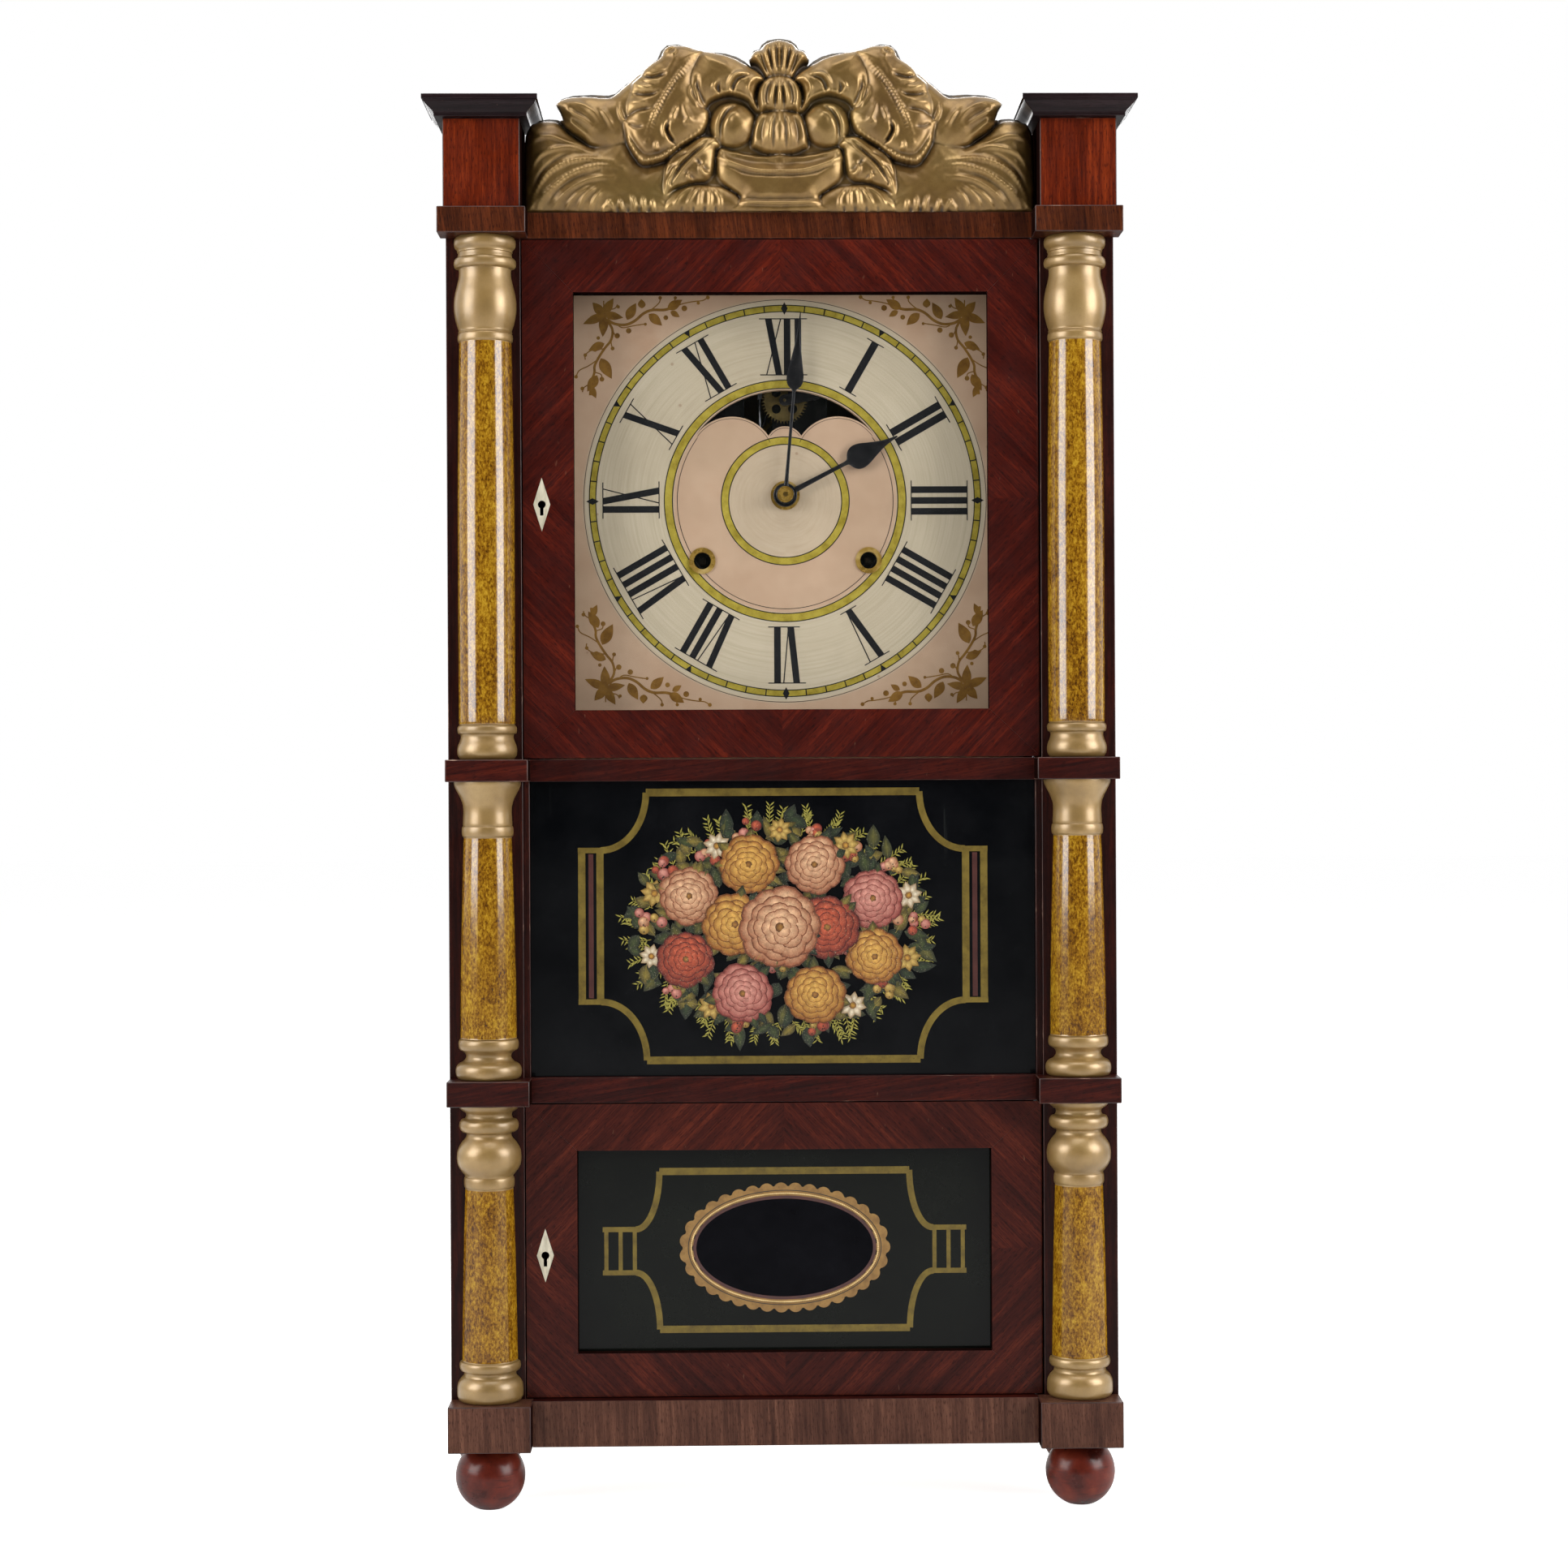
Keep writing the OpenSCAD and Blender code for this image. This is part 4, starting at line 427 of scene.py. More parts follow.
rubbedEdge = wornEdge("rubbedEdge", tone(74, 40, 30), tone(40, 18, 13))
pine = pineWood("barePine")
goldLooks = {
    "columns": {**shades((132, 104, 56), (154, 122, 68), (172, 142, 88)), "metal": 0.42,
                "gloss": 0.3, "coat": 1.55},
    "crest": {**shades((112, 82, 36), (140, 108, 54), (166, 134, 78)), "metal": 0.72,
              "gloss": 0.34, "coat": 1.4, "hollow": tone(40, 26, 10), "rubbed": tone(196, 160, 100),
              "olive": tone(116, 100, 44)},
}
columnGold = goldPaint("columnGold", goldLooks["columns"])
crestGold = goldPaint("crestGold", goldLooks["crest"], hollows=True)
spongedShaft = sponged("spongedShaft")
feetStain = stainedFeet("feetStain")
dialSpec = {"centre": (3.0, 640.5), "face": frontFace + 30.0}
dialCream = dialPaint("dialCream", dialSpec)
ink = inkPaint("numeralInk")
dialGold = linePaint("dialGold", tone(146, 128, 32), tone(186, 168, 62), tone(120, 104, 40))
spandrelGold = linePaint("spandrelGold", tone(108, 70, 14), tone(144, 102, 32), tone(80, 50, 12), metal=0.0)
tabletGold = linePaint("tabletGold", tone(82, 66, 15), tone(114, 95, 28), tone(34, 27, 11), coat=0.2)
tabletRed = linePaint("tabletRed", tone(52, 18, 14), tone(70, 26, 18), tone(24, 12, 10), coat=0.6, metal=0.0)
beadGold = linePaint("beadGold", tone(196, 162, 96), tone(232, 202, 142), tone(130, 96, 46), metal=0.2)
ovalGold = linePaint("ovalGold", tone(116, 84, 42), tone(150, 114, 60), tone(84, 56, 28), metal=0.2)
middleBlack = blackGlass("middleBlack", tone(4, 5, 7), tone(13, 14, 16))
lowerBlack = blackGlass("lowerBlack", tone(9, 11, 9), tone(18, 20, 16), 0.2)
# the oval's near-black is painted shade of the case's dark inside, seen through clear glass
ovalDark = blackGlass("ovalDark", tone(3, 3, 6), tone(13, 13, 17), 0.06)
doorGlass = clearGlass("doorGlass")
ornamentPaint = tintedPaint("ornamentPaint")
bone = boneInlay("boneInlay")
cordFinish = twistedCord("linenCord")
metalLooks = {
    "agedBrass": {**shades((120, 92, 40), (178, 146, 78), (206, 178, 108)), "metal": 1.0,
                  "scale": 70, "rough": (0.22, 0.45), "pit": 0.4},
    "plainSteel": {**shades((96, 98, 102), (140, 142, 146), (176, 178, 182)), "metal": 1.0,
                   "scale": 90, "rough": (0.25, 0.42), "pit": 0.4},
    "castIron": {**shades((34, 34, 36), (54, 54, 56), (84, 72, 62)), "metal": 0.6,
                 "scale": 130, "rough": (0.55, 0.75), "pit": 1.6},
    "blackSteel": {**shades((18, 18, 21), (28, 28, 31), (46, 45, 44)), "metal": 0.4,
                   "scale": 110, "rough": (0.32, 0.48), "pit": 0.6},
    "polishedBrass": {**shades((122, 90, 30), (178, 144, 66), (226, 198, 130)), "metal": 0.35,
                      "scale": 70, "rough": (0.2, 0.4), "pit": 0.3},
    "dullBrass": {**shades((62, 50, 22), (92, 78, 38), (120, 104, 56)), "metal": 0.4,
                  "scale": 90, "rough": (0.45, 0.6), "pit": 0.5},
}
metals = {name: castMetal(name, look) for name, look in metalLooks.items()}
print("stage: finishes ready,", len(bpy.data.materials))


# Mesh helpers
def addPiece(name, mesh, materials, body, replaces=(), slot=None, sharp=40):
    for material in materials:
        mesh.materials.append(material)
    piece = linked(name, mesh)
    if sharp is not None:
        for polygon in mesh.polygons:
            polygon.use_smooth = True
        mesh.set_sharp_from_angle(angle=math.radians(sharp))
    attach(piece, body)
    if replaces:
        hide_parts(*replaces)
    return piece


def meshFromBm(name, bm, merge=1e-7, outward=True):
    if merge:
        bmesh.ops.remove_doubles(bm, verts=bm.verts, dist=merge)
    if outward:
        bmesh.ops.recalc_face_normals(bm, faces=bm.faces)
    mesh = bpy.data.meshes.new(name)
    bm.to_mesh(mesh)
    bm.free()
    return mesh


def easedCopy(node, wood, edge, body, ease, slot):
    # a CAD node again with its arrises eased; the eased strips take the edge's finish
    bm = bmesh.new()
    bm.from_mesh(cadNodes[node].data)
    bmesh.ops.remove_doubles(bm, verts=bm.verts, dist=2e-6)
    bmesh.ops.dissolve_limit(bm, angle_limit=math.radians(1), verts=bm.verts, edges=bm.edges)
    mesh = meshFromBm(node + "_eased", bm, merge=None)
    rough = linked(node + "_rough", mesh)
    bevel = rough.modifiers.new("ease", "BEVEL")
    bevel.width, bevel.segments = ease / 1000, 2
    bevel.limit_method, bevel.angle_limit = "ANGLE", math.radians(50)
    bevel.material = 1
    bevel.use_clamp_overlap = True
    for material in (wood, edge):
        mesh.materials.append(material)
    shown = rough.evaluated_get(bpy.context.evaluated_depsgraph_get())
    eased = bpy.data.meshes.new_from_object(shown)
    strips = [polygon.material_index == 1 for polygon in eased.polygons]
    bpy.data.objects.remove(rough)
    eased.materials.clear()
    eased.name = node + "_eased"
    piece = addPiece(node + "_eased", eased, [wood, edge], body, (node,), slot, sharp=None)
    eased.set_sharp_from_angle(angle=math.radians(50))
    for polygon, strip in zip(eased.polygons, strips):
        polygon.material_index = int(strip)
        polygon.use_smooth = strip
    return piece


def dress(node, material):
    data = cadNodes[node].data
    data.materials.clear()
    data.materials.append(material)


def smoothPath(points, count):
    # a curve through the points, with steps of even length
    points = [np.array(p, float) for p in points]
    ends = [2 * points[0] - points[1]] + points + [2 * points[-1] - points[-2]]
    fine = []
    for i in range(1, len(ends) - 2):
        a, b, c, d = ends[i - 1:i + 3]
        for t in np.linspace(0, 1, 24, endpoint=False):
            fine.append(0.5 * (2 * b + (c - a) * t + (2 * a - 5 * b + 4 * c - d) * t ** 2
                               + (3 * b - a - 3 * c + d) * t ** 3))
    fine.append(points[-1])
    fine = np.array(fine)
    reach = np.concatenate([[0], np.cumsum(np.linalg.norm(np.diff(fine, axis=0), axis=1))])
    even = np.linspace(0, reach[-1], count)
    return np.stack([np.interp(even, reach, fine[:, k]) for k in range(fine.shape[1])], 1)


# Geometry Nodes trees
class Bench(Nodes):
    # a Geometry Nodes tree with named inputs, which hands on one geometry
    def __init__(self, name, inputs):
        super().__init__(bpy.data.node_groups.new(name, "GeometryNodeTree"))
        sockets = self.tree.interface
        sockets.new_socket("Geometry", in_out="OUTPUT", socket_type="NodeSocketGeometry")
        for label, kind in inputs:
            sockets.new_socket(label, in_out="INPUT", socket_type="NodeSocket" + kind)
        self.inputs = self.step("NodeGroupInput").outputs
        self.end = self.step("NodeGroupOutput").inputs[0]

    def position(self):
        return self.step("GeometryNodeInputPosition").outputs[0]

    def close(self, geometry, material):
        real = self.step("GeometryNodeRealizeInstances", {"Geometry": geometry}).outputs["Geometry"]
        painted = self.step("GeometryNodeSetMaterial", {"Geometry": real, "Material": material})
        self.put(self.end, painted.outputs["Geometry"])


def turnedWorkTree():
    # sweeps a profile, given as points (radius, 0, height), round the upright axis
    # a margin of 1 closes the flat back of a half column
    b = Bench("turnedWork", [("Profile", "Geometry"), ("Points", "Int"), ("Columns", "Int"),
                             ("Margin", "Int"), ("Start", "Float"), ("Sweep", "Float"),
                             ("Place", "Vector"), ("Material", "Material")])
    g = b.inputs
    lastPoint, lastColumn = b.sum("SUBTRACT", g["Points"], 1.0), b.sum("SUBTRACT", g["Columns"], 1.0)
    grid = b.step("GeometryNodeMeshGrid", {"Size X": lastPoint, "Size Y": lastColumn,
                                           "Vertices X": g["Points"],
                                           "Vertices Y": g["Columns"]}).outputs["Mesh"]
    spot = b.split(b.position())
    row = b.sum("ROUND", b.sum("MULTIPLY_ADD", lastPoint, 0.5, spot["X"]))
    column = b.sum("ROUND", b.sum("MULTIPLY_ADD", lastColumn, 0.5, spot["Y"]))
    sample = b.step("GeometryNodeSampleIndex", {"Geometry": g["Profile"], "Index": row,
                                                "Value": b.position()}, data_type="FLOAT_VECTOR")
    profile = b.split(sample.outputs["Value"])
    inner = b.sum("SUBTRACT", lastColumn, b.sum("MULTIPLY", g["Margin"], 2.0))
    done = b.sum("DIVIDE", b.sum("SUBTRACT", column, g["Margin"]), inner)
    share = b.step("ShaderNodeClamp", {"Value": done}).outputs[0]
    angle = b.sum("MULTIPLY_ADD", share, g["Sweep"], g["Start"])
    atLast = b.sum("GREATER_THAN", column, b.sum("SUBTRACT", lastColumn, 0.5))
    atEnd = b.sum("ADD", b.sum("LESS_THAN", column, 0.5), atLast)
    kept = b.sum("SUBTRACT", 1.0, b.sum("MULTIPLY", atEnd, g["Margin"]))
    reach = b.sum("MULTIPLY", profile["X"], kept)
    made = b.join(b.sum("MULTIPLY", reach, b.sum("COSINE", angle)),
                  b.sum("MULTIPLY", reach, b.sum("SINE", angle)), profile["Z"])
    moved = b.step("GeometryNodeSetPosition", {"Geometry": grid, "Position": made,
                                               "Offset": g["Place"]}).outputs["Geometry"]
    joined = b.step("GeometryNodeMergeByDistance", {"Geometry": moved, "Distance": 0.000001})
    b.close(joined.outputs["Geometry"], g["Material"])
    return b.tree


def ringOfTree():
    # the same small piece set round an ellipse, its top turned outwards
    # with a skip of 3 every third place stays empty, with 0 none does
    b = Bench("ringOf", [("Piece", "Object"), ("Count", "Int"), ("Skip", "Int"), ("Half width", "Float"),
                         ("Half height", "Float"), ("Place", "Vector"), ("Material", "Material")])
    g = b.inputs
    circle = b.step("GeometryNodeCurvePrimitiveCircle", {"Resolution": 720, "Radius": 1.0}).outputs["Curve"]
    spot = b.split(b.position())
    oval = b.join(b.sum("MULTIPLY", spot["X"], g["Half width"]), 0.0,
                  b.sum("MULTIPLY", spot["Y"], g["Half height"]))
    path = b.step("GeometryNodeSetPosition", {"Geometry": circle, "Position": oval}).outputs["Geometry"]
    even = b.step("GeometryNodeResampleCurve", {"Curve": path, "Count": g["Count"]}).outputs["Curve"]
    here = b.split(b.position())
    outX = b.sum("DIVIDE", here["X"], b.sum("MULTIPLY", g["Half width"], g["Half width"]))
    outZ = b.sum("DIVIDE", here["Z"], b.sum("MULTIPLY", g["Half height"], g["Half height"]))
    turn = b.join(0.0, b.sum("ARCTAN2", outX, outZ), 0.0)
    source = b.step("GeometryNodeObjectInfo", {"Object": g["Piece"]}).outputs["Geometry"]
    index = b.step("GeometryNodeInputIndex").outputs[0]
    skip = b.sum("MAXIMUM", g["Skip"], 1.0)
    left = b.sum("MODULO", index, skip)
    wanted = b.sum("MAXIMUM", b.sum("GREATER_THAN", left, 0.5), b.sum("LESS_THAN", g["Skip"], 0.5))
    ring = b.step("GeometryNodeInstanceOnPoints", {"Points": even, "Selection": wanted, "Instance": source,
                                                   "Rotation": turn}).outputs["Instances"]
    placed = b.step("GeometryNodeTransform", {"Geometry": ring, "Translation": g["Place"]})
    b.close(placed.outputs["Geometry"], g["Material"])
    return b.tree


def runTree(tree, name, values, startMesh=None):
    # runs a tree and hands back the plain mesh that it makes
    host = linked(name + "_host", startMesh or bpy.data.meshes.new(name + "_start"))
    modifier = host.modifiers.new("tree", "NODES")
    modifier.node_group = tree
    keys = {item.name: item.identifier for item in tree.interface.items_tree if item.in_out == "INPUT"}
    for label, value in values.items():
        modifier[keys[label]] = value
    mesh = bpy.data.meshes.new_from_object(host.evaluated_get(bpy.context.evaluated_depsgraph_get()))
    bpy.data.objects.remove(host)
    mesh.name = name
    mesh.materials.clear()
    return mesh


turnedWork = turnedWorkTree()
ringOf = ringOfTree()


# Half columns and feet
def bead(low, high, edge, top, count=9):
    # half-round ring between two heights
    return [(low + (high - low) * (0.5 - 0.5 * math.cos(math.pi * i / count)),
             edge + (top - edge) * math.sin(math.pi * i / count) ** 0.8) for i in range(count + 1)]


def curve(points, step=1.2):
    length = sum(math.dist(a, b) for a, b in zip(points, points[1:]))
    return [tuple(p) for p in smoothPath(points, max(4, int(length / step)))]


# profiles from the bottom up, as (height over the foot, radius) in millimetres
columnPatterns = {
    "upper": {"foot": 474.0, "shaft": (22.6, 263.6), "profile": (
        [(0, 15.8)]
        + curve([(0.4, 17.0), (2.4, 18.5), (5.4, 19.0), (8.6, 18.6), (11.6, 17.4), (14.2, 16.7),
                 (15.8, 16.9)])
        + bead(16.2, 21.8, 17.3, 18.9) + [(22.2, 17.6), (22.6, 17.7)]
        + curve([(24, 17.8), (90, 17.9), (159, 17.9), (215, 17.3), (263, 16.5)], 8)
        + [(263.8, 16.5)] + bead(264.2, 269.6, 16.6, 17.5) + [(270.0, 16.9), (270.6, 17.2), (271.0, 16.8)]
        + curve([(271.6, 16.8), (276, 18.2), (281.5, 19.4), (287.5, 19.8), (294, 19.2), (300, 17.8),
                 (305, 16.7), (309, 16.4), (310.2, 16.6)])
        + bead(310.6, 317.4, 17.4, 19.7) + curve([(317.8, 17.4), (319.4, 17.0), (320.6, 17.0)], 0.6)
        + [(321.0, 17.5), (322.4, 17.5)]
        + curve([(322.8, 17.9), (324.4, 19.2), (327, 19.6), (329.4, 19.2), (330.5, 18.4)]))},
    "middle": {"foot": 272.0, "shaft": (26.2, 152.6), "profile": (
        [(0, 18.6)] + curve([(0.4, 19.4), (2, 20.5), (4.8, 20.9), (7.6, 20.5), (9.6, 19.0), (10.6, 17.2)])
        + curve([(11, 16.2), (12.6, 14.8), (14.4, 14.2), (16.4, 15.0), (17.8, 16.8)], 0.8)
        + bead(18.2, 25.4, 17.4, 19.1) + [(25.8, 17.9), (26.2, 17.8)]
        + curve([(27, 17.8), (60, 17.5), (100, 16.7), (130, 15.9), (152.4, 15.2)], 7)
        + [(152.8, 15.2)] + bead(153.2, 160.0, 15.5, 16.4) + [(160.4, 15.6)]
        + curve([(160.8, 15.7), (165, 15.5), (169, 15.3), (173, 15.6), (177, 16.8), (181, 18.8),
                 (184.6, 20.6), (186.4, 21.2)])
        + [(188, 21.2)])},
    "lower": {"foot": 68.5, "shaft": (25.9, 134.0), "profile": (
        [(0, 18.8)]
        + curve([(0.4, 19.6), (2.6, 20.8), (6.4, 20.9), (10.2, 20.6), (13.2, 19.2), (15.2, 17.4)])
        + curve([(15.6, 16.8), (17.6, 16.3), (18.8, 16.8)], 0.6) + bead(19.0, 25.2, 17.6, 19.4)
        + [(25.6, 17.6), (25.9, 17.5)] + curve([(27, 17.5), (60, 17.0), (100, 16.2), (133.8, 15.2)], 7)
        + [(134.2, 15.2)] + bead(134.6, 141.6, 15.2, 16.0) + [(142, 15.3)]
        + curve([(142.4, 15.4), (145.4, 17.8), (149, 19.8), (154, 20.4), (159, 19.7), (163.4, 17.2),
                 (166.2, 14.8), (168.0, 14.1), (169.4, 14.6)])
        + bead(169.8, 178.4, 15.4, 18.8) + curve([(178.8, 15.0), (180.4, 14.4), (182, 14.7)], 0.6)
        + curve([(182.4, 15.2), (184, 17.6), (185.6, 18.9), (187.0, 19.4)]) + [(187.5, 19.0)])},
}
columnSpec = {"axis": 187.2, "columns": 44}


def profileMesh(name, profile):
    line = [(0.0, profile[0][0])] + [(r, z) for z, r in profile] + [(0.0, profile[-1][0])]
    links = [(i, i + 1) for i in range(len(line) - 1)]
    mesh = bpy.data.meshes.new(name)
    mesh.from_pydata([(r / 1000, 0, z / 1000) for r, z in line], links, [])
    return mesh, len(line)


def turnInto(bm, name, profile, place, sweep, margin, columns):
    # adds one turned piece to the mesh in hand
    start, count = profileMesh(name + "_line", profile)
    values = {"Points": count, "Columns": columns, "Margin": margin, "Start": math.pi, "Sweep": sweep,
              "Place": [v / 1000 for v in place], "Material": columnGold}
    bm.from_mesh(runTree(turnedWork, name, values, start))


for tier, pattern in columnPatterns.items():
    both = bmesh.new()
    for side in (-1, 1):
        place = (side * columnSpec["axis"], frontFace, pattern["foot"])
        turnInto(both, tier + "_column", pattern["profile"], place, math.pi, 1, columnSpec["columns"])
    mesh = meshFromBm(tier + "_half_columns", both)
    low, high = (pattern["foot"] + z for z in pattern["shaft"])
    for polygon in mesh.polygons:
        polygon.material_index = 1 if low < polygon.center.z * 1000 < high else 0
    addPiece(tier + "_half_columns", mesh, [columnGold, spongedShaft], "case", (tier + "_columns",),
             "sponged_gilt", sharp=48)

footSpec = {"radius": 22.0, "flat": 9.0, "height": 39.5, "neck": 1.6, "steps": 40, "columns": 57,
            "places": [(-187.5, -44.0), (187.5, -44.0), (-196.0, 52.0), (196.0, 52.0)]}


def footProfile(spec):
    # a ball on a small flat, and the short neck that carries the case
    radius, height, steps = spec["radius"], spec["height"], spec["steps"]
    centre = math.sqrt(radius ** 2 - spec["flat"] ** 2)
    low = math.asin(-centre / radius)
    high = math.asin((height - spec["neck"] - centre) / radius)
    turns = [low + (high - low) * i / steps for i in range(steps + 1)]
    ball = [(centre + radius * math.sin(a), radius * math.cos(a)) for a in turns]
    neck = ball[-1][1] + 0.3
    return [(0, spec["flat"] - 1)] + ball + [(height - spec["neck"] + 0.2, neck), (height, neck)]


feet = bmesh.new()
for x, y in footSpec["places"]:
    turnInto(feet, "foot", footProfile(footSpec), (x, y, 0), math.tau, 0, footSpec["columns"])
addPiece("turned_feet", meshFromBm("turned_feet", feet), [feetStain], "case", ("ball_feet",),
         "red_feet", sharp=50)
print("stage: columns and feet turned")


# Case and doors
casePieces = {  # wood, the eased arrises' finish, how far they are eased in mm, slot
    "cross_rails": (woods["rails"], rubbedEdge, 0.5, "rail_mahogany"),
    "column_blocks": (woods["rails"], rubbedEdge, 0.6, "rail_mahogany"),
    "front_stiles": (woods["stiles"], rubbedEdge, 0.4, "rail_mahogany"),
    "top_posts": (woods["posts"], rubbedEdge, 0.6, "rail_mahogany"),
    "post_caps": (woods["caps"], woods["caps"], 0.35, "dark_mahogany"),
    "side_boards": (woods["sides"], rubbedEdge, 0.5, "rail_mahogany"),
    "tablet_stops": (woods["stiles"], rubbedEdge, 0.3, "rail_mahogany"),
}
for node, (wood, edge, ease, slot) in casePieces.items():
    easedCopy(node, wood, edge, "case", ease, slot)
for door in ("upper", "lower"):
    easedCopy(door + "_door_frame", woods[door + "Door"], rubbedEdge, door + "_door", 0.5,
              "veneer_mahogany")
for door in ("upper", "lower"):
    easedCopy(door + "_escutcheon", bone, bone, door + "_door", 0.2, "bone")


def bandUpright(name, above, below):
    # the top and bottom rails and their blocks are banded upright, unlike the middle ones
    mesh = bpy.data.objects[name].data
    mesh.materials.append(woods["topRail"])
    mesh.materials.append(woods["baseRail"])
    for polygon in mesh.polygons:
        if polygon.material_index == 0 and polygon.center.z > above:
            polygon.material_index = 2
        elif polygon.material_index == 0 and polygon.center.z < below:
            polygon.material_index = 3


def shadeReveals(name, middle):
    # painted shade: the faces that look inwards, into an opening or a corner, take much darker tones that
    # stand in for the shade there, and no polish
    mesh = bpy.data.objects[name].data
    mesh.materials.append(woods["reveals"])
    for polygon in mesh.polygons:
        normal, centre = polygon.normal, polygon.center
        sideways = abs(normal.x) > 0.9 and normal.x * centre.x < 0
        upright = middle and abs(normal.z) > 0.9 and normal.z * (centre.z - middle) < 0
        if (sideways or upright) and polygon.material_index != 1:
            polygon.material_index = len(mesh.materials) - 1


for name in ("cross_rails_eased", "column_blocks_eased"):
    bandUpright(name, 0.8, 0.0685)
for door in ("upper", "lower"):
    shadeReveals(door + "_door_frame_eased", woodLooks[door + "Door"]["centre"][1])
for name in ("top_posts_eased", "column_blocks_eased"):
    shadeReveals(name, None)
print("stage: case and doors eased")


# Carved crest
crestSpec = {"bottom": 821.0, "left": -163.0, "top": 112.0, "spacing": 0.66, "front": frontFace + 4.0,
             "back": frontFace + 14.0, "roll": 5.0, "tall": 1.035}
knife = {"steps": 26, "tall": 1.5, "fade": 4, "faint": 0.25, "groove": 1.9, "grooveWide": 0.8}
# left half, millimetres from the middle line and over the top rail
crestOutline = [
    (0, 0), (-162.4, 0), (-162.8, 20), (-162.5, 39), (-161.6, 48), (-157.6, 55.4), (-152.5, 58.6),
    (-147, 59.4), (-141.5, 58.9), (-137.4, 57.2), (-139.6, 63), (-142.8, 68.2), (-138.5, 71.8),
    (-131.6, 73.8), (-120, 74.4), (-109, 74), (-104.6, 75), (-96, 82), (-86, 89.6), (-77.6, 96),
    (-75.2, 101.4), (-71.5, 104.8), (-64.6, 105.4), (-57, 103.4), (-49.2, 100.6), (-41, 100.4),
    (-34.2, 99.8), (-27.5, 98), (-21.9, 94.6), (-17.6, 90.6), (-19.2, 94.2), (-18.6, 98.2),
    (-15.9, 101.6), (-12.6, 102.2), (-11, 105.2), (-7.4, 107.8), (-3.4, 108.6), (0, 108.9)]
